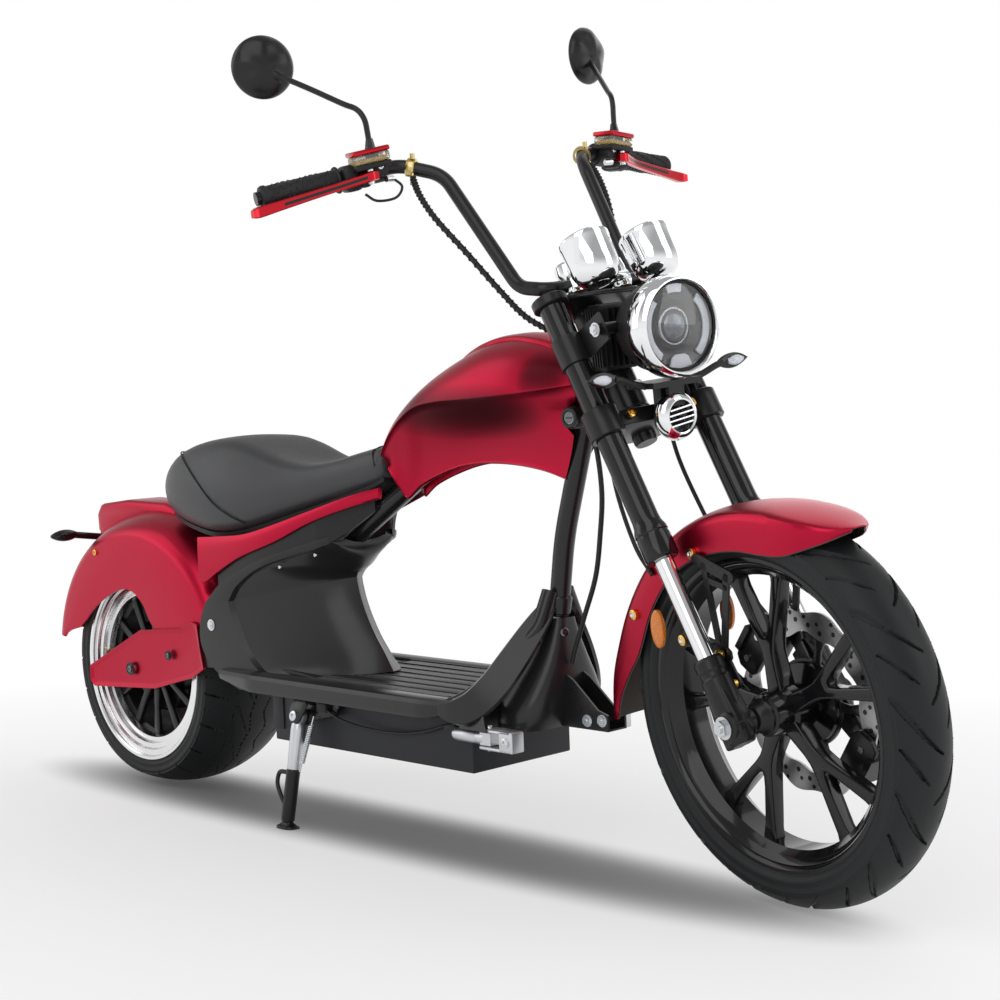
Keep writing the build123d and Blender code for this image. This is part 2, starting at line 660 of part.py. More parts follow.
guard_start = radians(165)
guard_end = radians(79)
with BuildPart() as front_fender:
    with BuildLine() as guard_path:
        over = CenterArc(front_axle, MUDGUARD_R, 79, 86, mode=Mode.PRIVATE)
        middle = ThreePointArc(
            (WHEELBASE + MUDGUARD_R * cos(guard_start), 0, FRONT_R + MUDGUARD_R * sin(guard_start)),
            (WHEELBASE + MUDGUARD_R * cos(radians(122)), 0, FRONT_R + MUDGUARD_R * sin(radians(122))),
            (WHEELBASE + MUDGUARD_R * cos(guard_end), 0, FRONT_R + MUDGUARD_R * sin(guard_end)))
        nose = Line(middle @ 1, (middle @ 1) + (middle % 1) * 124)
        tail = Line((middle @ 0) - (middle % 0) * 128, middle @ 0)
    start = tail @ 0
    add(guard_section(Plane(origin=start, x_dir=(0, 1, 0), z_dir=tail % 0), MUDGUARD_HALF, MUDGUARD_WALL))
    sweep(path=guard_path.line, transition=Transition.RIGHT)
    with BuildSketch(side_plane(0, -100, 0)):
        with BuildLine():
            rear_cut = Polyline((1100, 130), (1176, 250), (1262, 366))
            low_arc = ThreePointArc(rear_cut @ 1, (1372, 505), (1480, 546))
            front_cut = Polyline(low_arc @ 1, (1600, 560), (1760, 574), (1760, 130), (1100, 130))
        make_face()
    extrude(amount=-200, mode=Mode.SUBTRACT)
keep(front_fender.part, "front_fender", "steering")

# Frame: head tube, backbone, down tube, deck rails
with BuildPart() as head_tube:
    with BuildSketch(head_plane(LOWER_YOKE + LOWER_YOKE_T + HEAD_END_GAP)):
        Circle(HEAD_R)
        Circle(STEM_R + SLIP, mode=Mode.SUBTRACT)
    extrude(amount=TOP_YOKE - LOWER_YOKE - LOWER_YOKE_T - 2 * HEAD_END_GAP)
keep(head_tube.part, "head_tube", "chassis")

with BuildPart() as head_solid:
    with BuildSketch(head_plane(LOWER_YOKE + LOWER_YOKE_T + HEAD_END_GAP)):
        Circle(HEAD_R)
    extrude(amount=TOP_YOKE - LOWER_YOKE - LOWER_YOKE_T - 2 * HEAD_END_GAP)

backbone_points = [(1165, 0, 782), (742, 0, 630), (545, 0, 508)]
with BuildPart() as backbone_tube:
    add(round_bar(backbone_points, [180.0], BACKBONE_R))
    add(head_solid.part, mode=Mode.SUBTRACT)
keep(backbone_tube.part, "backbone_tube", "chassis")

down_points = [(1143.5, 0, 766), (1071, 0, 528), (1052, 0, 400)]
with BuildPart() as down_tube:
    add(round_bar(down_points, [500.0], DOWN_R))
    add(head_solid.part, mode=Mode.SUBTRACT)
    add(backbone_tube.part, mode=Mode.SUBTRACT)
keep(down_tube.part, "down_tube", "chassis")

rail_points = [Vector(400, -144, RAIL_Z), Vector(966, -RAIL_HALF, RAIL_Z), Vector(1050, -44, 385),
               Vector(1052, -18, 440)]
with BuildPart() as deck_rails:
    for name, side in SIDES:
        add(round_bar([mirrored(p, side) for p in rail_points], [120.0, 60.0], RAIL_R))
    add(down_tube.part, mode=Mode.SUBTRACT)
    with BuildSketch(Plane.XY.offset(396)):
        with Locations((1052, 0)):
            Circle(DOWN_R)
    extrude(amount=60, mode=Mode.SUBTRACT)
keep(deck_rails.part, "deck_rails", "chassis")

# Deck, battery and nose
bow_outline = [(330, -108), (350, -108), (560, -40), (600, -16), (600, 16), (560, 40), (350, 108), (330, 108)]
bow_clear = [(330, -114), (352, -114), (562, -46), (610, -20), (610, 20), (562, 46), (352, 114), (330, 114)]
with BuildPart() as footboard:
    with BuildSketch(Plane.XY.offset(DECK_TOP - DECK_T)):
        with Locations(((DECK_BACK + DECK_FRONT) / 2, 0)):
            Rectangle(DECK_FRONT - DECK_BACK, 2 * (RAIL_HALF - RAIL_R - 6))
    extrude(amount=DECK_T)
    with BuildSketch(Plane.XY.offset(DECK_TOP)):
        with GridLocations(0, RIB_PITCH, 1, 11):
            with Locations((702, 0)):
                Rectangle(430, RIB_W)
        Polygon(*bow_clear, align=None, mode=Mode.SUBTRACT)
    extrude(amount=RIB_H)
    add(deck_rails.part, mode=Mode.SUBTRACT)
keep(footboard.part, "footboard", "chassis")

with BuildPart() as battery_box:
    with BuildSketch(Plane.XY.offset(BATTERY_BOTTOM)):
        with Locations(((BATTERY_BACK + BATTERY_FRONT) / 2, 0)):
            RectangleRounded(BATTERY_FRONT - BATTERY_BACK, 2 * BATTERY_HALF, 8)
    extrude(amount=DECK_TOP - DECK_T - BATTERY_BOTTOM)
keep(battery_box.part, "battery_box", "chassis")

with BuildPart() as nose_cover:
    with BuildSketch(Plane.XY.offset(222)):
        with Locations((1022, 0)):
            RectangleRounded(96, 190, 20)
    with BuildSketch(Plane.XY.offset(395.5)):
        with Locations((1053, 0)):
            RectangleRounded(44, 44, 8)
    loft()
    add(deck_rails.part, mode=Mode.SUBTRACT)
    add(footboard.part, mode=Mode.SUBTRACT)
keep(nose_cover.part, "nose_cover", "chassis")

with BuildPart() as nose_bracket:
    with BuildSketch(side_plane(0, 22, 0)):
        Polygon((1071, 224), (1165, 224), (1172, 231), (1172, 252), (1120, 256), (1071, 270), align=None)
    extrude(amount=4)
    with BuildSketch(side_plane(0, -18, 0)):
        Polygon((1071, 224), (1165, 224), (1172, 231), (1172, 252), (1120, 256), (1071, 270), align=None)
    extrude(amount=4)
    with BuildSketch(Plane.XY.offset(224)):
        with Locations((1092, 0)):
            Rectangle(42, 36)
    extrude(amount=6)
    add(nose_cover.part, mode=Mode.SUBTRACT)
keep(nose_bracket.part, "nose_bracket", "chassis")

# Belly fairing: side bands round a bow that narrows toward the front
fairing_outline = [(640, 240), (447, 226), (358, 231), (283, 262), (240, 315), (243, 353), (312, 427),
                   (466, 487), (560, 519), (606, 512), (612, 497), (560, 452), (552, 430), (572, 377),
                   (616, 306), (640, 285)]
recess_outline = [(700, 262), (420, 262), (364, 306), (321, 386), (342, 415), (405, 450), (480, 478),
                  (560, 502), (700, 530)]
BOW_BACK = 338.0
with BuildPart() as belly_fairing:
    with BuildSketch(side_plane(0, FAIRING_HALF, 0)):
        Polygon(*fairing_outline, align=None)
        Polygon(*recess_outline, align=None, mode=Mode.SUBTRACT)
    extrude(amount=2 * FAIRING_HALF)
    with BuildSketch(Plane.XY.offset(230)):
        Polygon(*bow_outline, align=None)
    extrude(amount=290)
    with BuildSketch(side_plane(0, FAIRING_HALF + 1, 0)):
        Polygon(*fairing_outline, align=None)
    extrude(amount=2 * FAIRING_HALF + 2, mode=Mode.INTERSECT)
    with BuildSketch(side_plane(0, FAIRING_HALF - FAIRING_SKIN, 0)):
        with Locations((BOW_BACK / 2 + 50, 380)):
            Rectangle(BOW_BACK - 100, 400)
    extrude(amount=2 * (FAIRING_HALF - FAIRING_SKIN), mode=Mode.SUBTRACT)
    with BuildSketch(Plane.XY.offset(200)):
        with Locations((BOW_BACK + 200, 0)):
            Rectangle(404, 2 * FAIRING_HALF + 2)
    extrude(amount=DECK_TOP + SEAT_GAP - 200, mode=Mode.SUBTRACT)
    add(round_bar(backbone_points, [180.0], BACKBONE_R + SEAT_GAP), mode=Mode.SUBTRACT)
keep(belly_fairing.part, "belly_fairing", "chassis")

# Rear fender: a crowned shell turned about the rear axle, with side walls cut to arches
with BuildPart() as rear_fender:
    with BuildSketch(section_plane(rear_axle)):
        with BuildLine():
            side_up = Line((-FENDER_HALF, 60), (-FENDER_HALF, FENDER_SIDE_R))
            over = ThreePointArc(side_up @ 1, (0, FENDER_CROWN_R), (FENDER_HALF, FENDER_SIDE_R))
            side_down = Line(over @ 1, (FENDER_HALF, 60))
            lip = Line(side_down @ 1, (FENDER_HALF - FENDER_WALL, 60))
            inner_up = Line(lip @ 1, (FENDER_HALF - FENDER_WALL, FENDER_SIDE_R - 2))
            inner_over = ThreePointArc(inner_up @ 1, (0, FENDER_CROWN_R - FENDER_WALL),
                                       (FENDER_WALL - FENDER_HALF, FENDER_SIDE_R - 2))
            inner_down = Line(inner_over @ 1, (FENDER_WALL - FENDER_HALF, 60))
            Line(inner_down @ 1, side_up @ 0)
        make_face()
    revolve(axis=rear_line, revolution_arc=360)
    with BuildSketch(side_plane(0, -FENDER_HALF - 5, 0)):
        with BuildLine():
            front = Polyline((420, 311), (84, 311), (57, 339), (35, 370), (-8, 395))
            arch = ThreePointArc(front @ 1, (-81, 380), (-147, 343))
            Polyline(arch @ 1, (-191, 309), (-233, 298), (-420, 262), (-420, -200),
                     (420, -200), (420, 311))
        make_face()
    extrude(amount=-2 * FENDER_HALF - 10, mode=Mode.SUBTRACT)
    with BuildSketch(side_plane(0, -FENDER_HALF - 5, 0)):
        Polygon((232, 300), (232, 420), (150, 500), (150, 640), (420, 640), (420, 300), align=None)
    extrude(amount=-2 * FENDER_HALF - 10, mode=Mode.SUBTRACT)
keep(rear_fender.part, "rear_fender", "chassis")

# Tail lamp on the fender and the indicators under it
with BuildPart() as fender_solid:
    with BuildSketch(section_plane(rear_axle)):
        with BuildLine():
            side_up = Line((-FENDER_HALF - SEAT_GAP, 0), (-FENDER_HALF - SEAT_GAP, FENDER_SIDE_R + SEAT_GAP))
            over = ThreePointArc(side_up @ 1, (0, FENDER_CROWN_R + SEAT_GAP),
                                 (FENDER_HALF + SEAT_GAP, FENDER_SIDE_R + SEAT_GAP))
            Polyline(over @ 1, (FENDER_HALF + SEAT_GAP, 0), side_up @ 0)
        make_face()
    revolve(axis=rear_line)

LAMP_HALF = 46.0
with BuildPart() as tail_lamp:
    with BuildSketch(side_plane(0, LAMP_HALF, 0)):
        Polygon((-218, 440), (-214, 498), (-222, 540), (-206, 556), (-120, 566), (20, 562), (60, 540),
                 (60, 440), align=None)
    extrude(amount=2 * LAMP_HALF)
    add(fender_solid.part, mode=Mode.SUBTRACT)
keep(tail_lamp.part, "tail_lamp", "chassis")

with BuildPart() as tail_lens:
    with BuildSketch(side_plane(0, LAMP_HALF - 6, 0)):
        Polygon((-218 - SEAT_GAP, 500), (-222 - SEAT_GAP, 538), (-229, 536), (-229, 504), align=None)
    extrude(amount=2 * LAMP_HALF - 12)
    add(tail_lamp.part, mode=Mode.SUBTRACT)
keep(tail_lens.part, "tail_lens", "chassis")

REAR_FLASHER_TIP = 168.0
with BuildPart() as rear_indicators:
    for name, side in SIDES:
        add(straight_bar((-200, side * 36, 486), (-203, side * 112, 497), 7))
        with BuildSketch(Plane(origin=(-203, 0, 498), x_dir=(0, 1, 0), z_dir=(1, 0, 0))):
            with BuildLine():
                root, tip = sorted((side * 104, side * REAR_FLASHER_TIP))
                foot = Line((root, 0), (root, 3))
                arc = ThreePointArc(foot @ 1, ((root + tip) / 2, 12), (tip, 3))
                Polyline(arc @ 1, (tip, 0), (root, 0))
            make_face()
        revolve(axis=Axis((-203, 0, 498), (0, 1, 0)))
    add(tail_lamp.part, mode=Mode.SUBTRACT)
    add(fender_solid.part, mode=Mode.SUBTRACT)
keep(rear_indicators.part, "rear_indicators", "chassis")

# Swing arms and their covers
arm_outline = [(-22, 222), (-22, 258), (60, 282), (250, 312), (BOW_BACK - SEAT_GAP, 312),
               (BOW_BACK - SEAT_GAP, 268), (240, 262), (60, 222)]
cover_outline = [(-152, 234), (34, 319), (170, 330), (205, 347), (224, 343), (229, 300), (236, 262),
                 (200, 240), (76, 206), (-138, 193), (-152, 205)]
with BuildPart() as swing_arms:
    for name, side in SIDES:
        arm = slab(arm_outline, ARM_IN, ARM_IN + ARM_T)
        if side > 0:
            arm = mirror(arm, about=Plane.XZ)
        add(arm)
    with BuildSketch(side_plane(0, 0, REAR_R)):
        Circle(AXLE_R + SLIP)
    extrude(amount=ARM_IN + ARM_T + 5, both=True, mode=Mode.SUBTRACT)
keep(swing_arms.part, "swing_arms", "chassis")

with BuildPart() as arm_covers:
    for name, side in SIDES:
        cover = slab(cover_outline, ARM_IN + ARM_T, ARM_IN + ARM_T + COVER_T)
        if side > 0:
            cover = mirror(cover, about=Plane.XZ)
        add(cover)
    with BuildSketch(side_plane(0, 0, REAR_R)):
        Circle(AXLE_R + 1)
    extrude(amount=ARM_IN + ARM_T + COVER_T - 1, both=True, mode=Mode.SUBTRACT)
keep(arm_covers.part, "arm_covers", "chassis")

# Side covers between seat and fairing
side_outline = [(252, 424), (250, 508), (382, 519), (545, 562), (690, 612), (690, 600), (545, 547),
                (364, 480), (262, 424)]
with BuildPart() as side_covers:
    for name, side in SIDES:
        cover = slab(side_outline, 40, 130)
        if side > 0:
            cover = mirror(cover, about=Plane.XZ)
        add(cover)
    with BuildSketch(Plane.XY.offset(400)):
        Polygon((240, -124), (420, -124), (700, -72), (700, -66), (420, -118), (240, -118), align=None)
        Polygon((240, 124), (420, 124), (700, 72), (700, 66), (420, 118), (240, 118), align=None)
    extrude(amount=250, mode=Mode.INTERSECT)
    add(fender_solid.part, mode=Mode.SUBTRACT)
    add(belly_fairing.part, mode=Mode.SUBTRACT)
keep(side_covers.part, "side_covers", "chassis")

# Seat sections: x, half width, bottom height, widest height, top height
seat_sections = (
    (68, 46, 576, 592, 612),
    (92, 86, 558, 591, 641),
    (130, 110, 542, 588, 668),
    (200, 128, 524, 582, 689),
    (290, 132, 514, 574, 695),
    (360, 126, 521, 576, 681),
    (430, 113, 539, 588, 655),
    (510, 95, 561, 604, 646),
    (600, 77, 590, 624, 665),
    (694, 61, 632, 650, 680),
)
with BuildPart() as seat:
    for x, half, low, wide, top in seat_sections:
        with BuildSketch(Plane(origin=(x, 0, 0), x_dir=(0, 1, 0), z_dir=(1, 0, 0))):
            with BuildLine():
                base = Line((-half * 0.84, low), (half * 0.84, low))
                flank = ThreePointArc(base @ 1, (half * 0.97, (low + wide) / 2 - 2), (half, wide))
                crown = ThreePointArc(flank @ 1, (0, top), (-half, wide))
                flank2 = ThreePointArc(crown @ 1, (-half * 0.97, (low + wide) / 2 - 2), base @ 0)
            make_face()
    loft()
keep(seat.part, "seat", "chassis")

# Seat pan under the seat
with BuildPart() as seat_base:
    with BuildSketch(side_plane(0, 118, 0)):
        Polygon((200, 590), (90, 590), (80, 530), (175, 530), (240, 506), (300, 490), (466, 495), (560, 525), (620, 548),
                 (680, 590), (672, 608), (545, 566), (382, 524), (290, 508), (240, 512), align=None)
    extrude(amount=236)
    with BuildSketch(Plane.XY.offset(400)):
        Polygon((60, -60), (140, -117.7), (420, -117.7), (680, -69.4), (680, 69.4), (420, 117.7), (140, 117.7),
                (60, 60), align=None)
    extrude(amount=250, mode=Mode.INTERSECT)
    add(fender_solid.part, mode=Mode.SUBTRACT)
    add(belly_fairing.part, mode=Mode.SUBTRACT)
    add(side_covers.part, mode=Mode.SUBTRACT)
    add(backbone_tube.part, mode=Mode.SUBTRACT)
    add(Pos(0, 0, -SEAT_GAP) * seat.part, mode=Mode.SUBTRACT)
    add(seat.part, mode=Mode.SUBTRACT)
keep(seat_base.part, "seat_base", "chassis")

# Tank shell: sections x, lower half width, crease half width, crease height, top height
tank_sections = (
    (688, 44, 54, 656, 668),
    (730, 58, 75, 690, 718),
    (790, 72, 94, 727, 768),
    (870, 84, 105, 751, 816),
    (960, 89, 109, 758, 850),
    (1060, 82, 101, 764, 852),
    (1124, 72, 86, 769, 838),
    (1172, 58, 70, 773, 814),
)
TANK_FLOOR = 560.0


def tank_form(raise_by):
    """Tank body between its section stations, its top raised by a distance."""
    with BuildPart() as form:
        for x, low_half, half, crease, top in tank_sections:
            with BuildSketch(Plane(origin=(x, 0, 0), x_dir=(0, 1, 0), z_dir=(1, 0, 0))):
                with BuildLine():
                    base = Line((-low_half, TANK_FLOOR), (low_half, TANK_FLOOR))
                    wall = Line(base @ 1, (half, crease))
                    crown = ThreePointArc(wall @ 1, (0, top + raise_by), (-half, crease))
                    Line(crown @ 1, base @ 0)
                make_face()
        loft()
    return form.part


with BuildPart() as tank_shell:
    add(tank_form(0))
    with BuildSketch(side_plane(0, -150, 0)):
        with BuildLine():
            back = Polyline((600, 500), (775, 588))
            arch = ThreePointArc(back @ 1, (990, 652), (1146, 622))
            Polyline(arch @ 1, (1240, 500), (600, 500))
        make_face()
    extrude(amount=-300, mode=Mode.SUBTRACT)
    with BuildSketch(side_plane(0, -150, 0)):
        Polygon((600, 500), (772, 588), (703, 640), (687, 657), (600, 700), align=None)
        Polygon((1106, 864), (1122, 838), (1157, 776), (1170, 704), (1144, 616), (1240, 616), (1240, 864),
                align=None)
    extrude(amount=-300, mode=Mode.SUBTRACT)
    add(round_bar(backbone_points, [180.0], BACKBONE_R + SEAT_GAP), mode=Mode.SUBTRACT)
    add(round_bar(down_points, [500.0], DOWN_R + SEAT_GAP),
        mode=Mode.SUBTRACT)
    with BuildSketch(head_plane(400)):
        Circle(HEAD_R + 3)
    extrude(amount=400, mode=Mode.SUBTRACT)
    with BuildSketch(side_plane(0, -8, 0)):
        with Locations((1152, 722)):
            Circle(21)
    extrude(amount=100, mode=Mode.SUBTRACT)
    add(seat.part, mode=Mode.SUBTRACT)
keep(tank_shell.part, "tank_shell", "chassis")

with BuildPart() as tank_top_panel:
    add(tank_form(5))
    with BuildSketch(Plane.XY.offset(760)):
        Polygon((820, 0), (900, -30), (950, -40), (1003, -36), (1110, -44), (1110, 44), (1003, 36), (950, 40),
                (900, 30), align=None)
    extrude(amount=150, mode=Mode.INTERSECT)
    add(tank_form(0), mode=Mode.SUBTRACT)
    with BuildSketch(head_plane(400)):
        Circle(HEAD_R + 3)
    extrude(amount=400, mode=Mode.SUBTRACT)
keep(tank_top_panel.part, "tank_top_panel", "chassis")

with BuildPart() as ignition_lock:
    with BuildSketch(side_plane(1152, -9, 722)):
        Circle(15)
    extrude(amount=55)
    add(down_tube.part, mode=Mode.SUBTRACT)
    add(backbone_tube.part, mode=Mode.SUBTRACT)
keep(ignition_lock.part, "ignition_lock", "chassis")

# Side stand: bracket and pin on the battery box, leg with sleeve, tang and foot
splay = radians(STAND_SPLAY)
stand_pivot = Vector(STAND_X, STAND_Y, STAND_Z)
stand_out = Vector(0, -cos(splay), sin(splay))
stand_down = Vector(0, -sin(splay), -cos(splay))
stand_plane = Plane(origin=stand_pivot, x_dir=(1, 0, 0), z_dir=stand_out)
EYE_T = 12.0
with BuildPart() as stand_bracket:
    with BuildSketch(Plane(origin=stand_pivot - stand_out * (EYE_T / 2 + 1), x_dir=(1, 0, 0), z_dir=stand_out)):
        Polygon((-9, -4), (-4, -9), (9, -10), (92, 4), (92, 32), (-9, 32), align=None)
    extrude(amount=-8)
    with BuildSketch(stand_plane):
        Circle(STAND_PIN_R)
    extrude(amount=EYE_T / 2 + 2, both=True)
    with BuildSketch(Plane(origin=stand_pivot + stand_out * (EYE_T / 2 + 1), x_dir=(1, 0, 0), z_dir=stand_out)):
        RegularPolygon(10, 6)
    extrude(amount=5)
    with BuildSketch(side_plane(0, -BATTERY_HALF - SEAT_GAP, 0)):
        with Locations((585, 218)):
            Rectangle(100, 24)
    extrude(amount=14)
keep(stand_bracket.part, "stand_bracket", "chassis")

# Foot pegs folded against the deck, each on a clevis
PEG_X = 1012.0
PEG_Y = 128.0
PEG_Z = 214.0
with BuildPart() as peg_clevises:
    for name, side in SIDES:
        for low in (PEG_Z - 17, PEG_Z + 12):
            with BuildSketch(Plane.XY.offset(low)):
                with Locations((PEG_X + 24, side * PEG_Y)):
                    Rectangle(78, 26)
            extrude(amount=5)
        with BuildSketch(Plane.XY.offset(PEG_Z - 17)):
            with Locations((PEG_X + 46, side * PEG_Y)):
                Rectangle(34, 26)
            with Locations((PEG_X + 46, side * (PEG_Y - 20))):
                Rectangle(34, 30)
        extrude(amount=34)
        with BuildSketch(Plane.XY.offset(PEG_Z - 17)):
            with Locations((PEG_X, side * PEG_Y)):
                Circle(4)
        extrude(amount=34)
    add(nose_cover.part, mode=Mode.SUBTRACT)
keep(peg_clevises.part, "peg_clevises", "chassis")

for name, side in SIDES:
    with BuildPart() as foot_peg:
        with BuildSketch(Plane.XY.offset(PEG_Z - 11)):
            with Locations((PEG_X - 38, side * PEG_Y)):
                RectangleRounded(86, 24, 7)
            with Locations((PEG_X, side * PEG_Y)):
                Circle(11)
                Circle(4 + SLIP, mode=Mode.SUBTRACT)
        extrude(amount=22)
    keep(foot_peg.part, f"foot_peg_{name}", f"foot_peg_{name}")

# Caliper, fender stays, reflectors and hoses of the front end
with BuildPart() as front_caliper:
    with BuildSketch(side_plane(WHEELBASE, HUB_HALF + 30, FRONT_R)):
        with Locations((-96, 76)):
            Rectangle(74, 46, rotation=52)
    extrude(amount=32)
    with BuildSketch(side_plane(WHEELBASE, HUB_HALF + DISC_T + 2.5, FRONT_R)):
        Circle(DISC_R + 3)
    extrude(amount=DISC_T + 5, mode=Mode.SUBTRACT)
    add(fork_sliders.part, mode=Mode.SUBTRACT)
    add(fork_stanchions.part, mode=Mode.SUBTRACT)
keep(front_caliper.part, "front_caliper", "steering")

stay_outline = [(1450, 372), (1462, 398), (1446, 470), (1404, 530), (1410, 548), (1432, 548), (1462, 478),
                (1472, 554), (1494, 556), (1480, 440), (1492, 398), (1490, 366)]
tie_outline = [(1478, 366), (1440, 396), (1372, 406), (1322, 402), (1322, 414), (1374, 420), (1446, 410),
               (1480, 392)]
with BuildPart() as fender_stays:
    for name, side in SIDES:
        for outline in (stay_outline, tie_outline):
            plate = slab(outline, MUDGUARD_HALF - 2, MUDGUARD_HALF + 4)
            if side > 0:
                plate = mirror(plate, about=Plane.XZ)
            add(plate)
        with BuildSketch(side_plane(1467, side * (MUDGUARD_HALF + 1), 384)):
            Circle(8)
        extrude(amount=-side * 16)
    add(fork_sliders.part, mode=Mode.SUBTRACT)
    add(front_caliper.part, mode=Mode.SUBTRACT)
    add(fork_stanchions.part, mode=Mode.SUBTRACT)
    add(front_fender.part, mode=Mode.SUBTRACT)
keep(fender_stays.part, "fender_stays", "steering")

with BuildPart() as side_reflectors:
    for name, side in SIDES:
        with BuildSketch(side_plane(1330, side * (MUDGUARD_HALF + 4), 408)):
            Ellipse(14, 29)
        extrude(amount=-side * 6)
keep(side_reflectors.part, "side_reflectors", "steering")

hose_route = [Vector(950, -206, 1122), Vector(1000, -176, 1060), Vector(1106, -104, 896), Vector(1204, -64, 836),
              Vector(1240, -62, 700), Vector(1262, -68, 560), Vector(1318, -69, 492)]
with BuildPart() as brake_hoses:
    for name, side in SIDES:
        stop = len(hose_route) if side < 0 else 5
        points = [mirrored(p, side) for p in hose_route[:stop]]
        add(round_bar(points, [60.0] * (stop - 2), 5))
    add(lower_yoke.part, mode=Mode.SUBTRACT)
    add(fork_tubes.part, mode=Mode.SUBTRACT)
    add(top_yoke.part, mode=Mode.SUBTRACT)
keep(brake_hoses.part, "brake_hoses", "steering")

with BuildPart() as frame_cable:
    add(round_bar([(1150, -14, 700), (1172, -16, 600), (1158, -16, 480), (1110, -14, 380), (1092, -14, 330)],
                  [150.0, 150.0, 60.0], 4))
    add(down_tube.part, mode=Mode.SUBTRACT)
    add(ignition_lock.part, mode=Mode.SUBTRACT)
    add(tank_shell.part, mode=Mode.SUBTRACT)
    add(nose_cover.part, mode=Mode.SUBTRACT)
keep(frame_cable.part, "frame_cable", "chassis")

# Parked stance: the steering turns about its axis, then the machine leans and settles on both tyres
steer_frame = Plane(origin=steer_base, x_dir=fork_fwd, z_dir=fork_up)
steer_turn = steer_frame.location * Rot(0, 0, -STEER) * steer_frame.location.inverse()


def crown_radius(radius, half, shoulder):
    """Radius of the crown arc that passes a tyre's two shoulders and its middle."""
    rise = radius - shoulder
    return (half * half + rise * rise) / (2 * rise)


def lowest(pose, axle, radius, crown):
    """Lowest height of a leaned tyre whose crown is an arc turned about its axle."""
    centre = (pose * Location(axle)).position
    end = (pose * Location(axle + Vector(0, 1, 0))).position
    tip = (end - centre).Z
    return centre.Z - (radius - crown) * sqrt(1 - tip * tip) - crown


front_crown = crown_radius(FRONT_R, FRONT_HALF - 1, FRONT_SHOULDER_R)
rear_crown = crown_radius(REAR_R, REAR_HALF - 1, REAR_SHOULDER_R)
stance = Rot(LEAN, 0, 0)
for settle in range(3):
    front_low = lowest(stance * steer_turn, front_axle, FRONT_R, front_crown)
    rear_low = lowest(stance, rear_axle, REAR_R, rear_crown)
    pitch = degrees(atan2(front_low - rear_low, WHEELBASE))
    stance = Rot(0, pitch, 0) * Pos(0, 0, -rear_low) * stance

# Stand leg: its foot lies flat on the floor of the parked stance
floor = stance.inverse() * Plane.XY
foot_point = Vector(STAND_X + 4, STAND_FOOT_Y, 0)
foot_top = 6.0
leg_end = stand_pivot + stand_down * ((stand_pivot.Z - 14) / cos(splay))
with BuildPart() as stand_leg:
    with BuildSketch(stand_plane):
        Circle(15)
    extrude(amount=EYE_T / 2, both=True)
    with BuildSketch(stand_plane):
        Circle(STAND_PIN_R + SLIP)
    extrude(amount=EYE_T, both=True, mode=Mode.SUBTRACT)
    with BuildSketch(Plane(origin=stand_pivot + stand_down * 14.4, x_dir=(1, 0, 0), z_dir=stand_down)):
        Circle(STAND_LEG_R)
    extrude(amount=160)
    with BuildSketch(Plane(origin=stand_pivot + stand_down * 95, x_dir=(1, 0, 0), z_dir=stand_down)):
        Circle(STAND_LEG_R + 3)
    extrude(amount=130)
    with BuildSketch(Plane(origin=floor.origin, x_dir=floor.x_dir, z_dir=floor.z_dir)):
        Rectangle(4000, 4000)
    extrude(amount=-200, mode=Mode.SUBTRACT)
    foot_centre = floor.to_local_coords(leg_end)
    with BuildSketch(floor):
        with Locations((foot_centre.X, foot_centre.Y - 2)):
            RectangleRounded(46, 34, 8)
    extrude(amount=foot_top)
keep(stand_leg.part, "stand_leg", "side_stand")

with BuildPart() as stand_spring:
    add(straight_bar(stand_pivot + Vector(42, 2, 6), stand_pivot + stand_down * 100 + Vector(17.3, 0, 0), 5))
    add(stand_leg.part, mode=Mode.SUBTRACT)
    add(stand_bracket.part, mode=Mode.SUBTRACT)
keep(stand_spring.part, "stand_spring", "side_stand")

# Stand every piece in the parked stance, its origin at the bottom centre of the whole box
poses = {"steering": stance * steer_turn, "front_wheel": stance * steer_turn}
parked = {label: poses.get(body, stance) * piece for label, (piece, body) in pieces.items()}
boxes = [piece.bounding_box() for piece in parked.values()]
low = Vector(min(b.min.X for b in boxes), min(b.min.Y for b in boxes), min(b.min.Z for b in boxes))
high = Vector(max(b.max.X for b in boxes), max(b.max.Y for b in boxes), max(b.max.Z for b in boxes))
home = Pos(-(low.X + high.X) / 2, -(low.Y + high.Y) / 2, -low.Z)
for label, piece in parked.items():
    placed = home * piece
    placed.label = label
    export_step(placed, f"parts/{label}.step")


def report(name, pose, point, direction=None):
    """Print a joint axis or a mount in the frame of the written files, in metres."""
    whole = home * pose
    at = (whole * Location(point)).position
    line = f"{name} at {at.X / 1000:.6f} {at.Y / 1000:.6f} {at.Z / 1000:.6f}"
    if direction is not None:
        tip = (whole * Location(Vector(*point) + direction)).position
        run = tip - at
        line += f" axis {run.X:.6f} {run.Y:.6f} {run.Z:.6f}"
    print(line)


steered = stance * steer_turn
report("joint rear_wheel", stance, rear_axle, Vector(0, 1, 0))
report("joint front_wheel", steered, front_axle, Vector(0, 1, 0))
report("joint steering", stance, steer_base + fork_up * 600, fork_up)
report("joint side_stand", stance, stand_pivot, stand_out)
for name, side in SIDES:
    report(f"joint foot_peg_{name}", stance, Vector(PEG_X, side * PEG_Y, PEG_Z), Vector(0, 0, 1))
    report(f"mount grip_{name}", steered, grip_plane(side, (GRIP_IN + GRIP_COLLAR + GRIP_OUT) / 2).origin,
           grip_plane(side, GRIP_IN).z_dir)
report("mount deck_face", stance, Vector(702, 0, DECK_TOP + RIB_H), Vector(0, 0, 1))
report("home", stance, Vector(0, 0, 0))
print("pitch", round(pitch, 5), "low", [round(v, 3) for v in low], "high", [round(v, 3) for v in high])
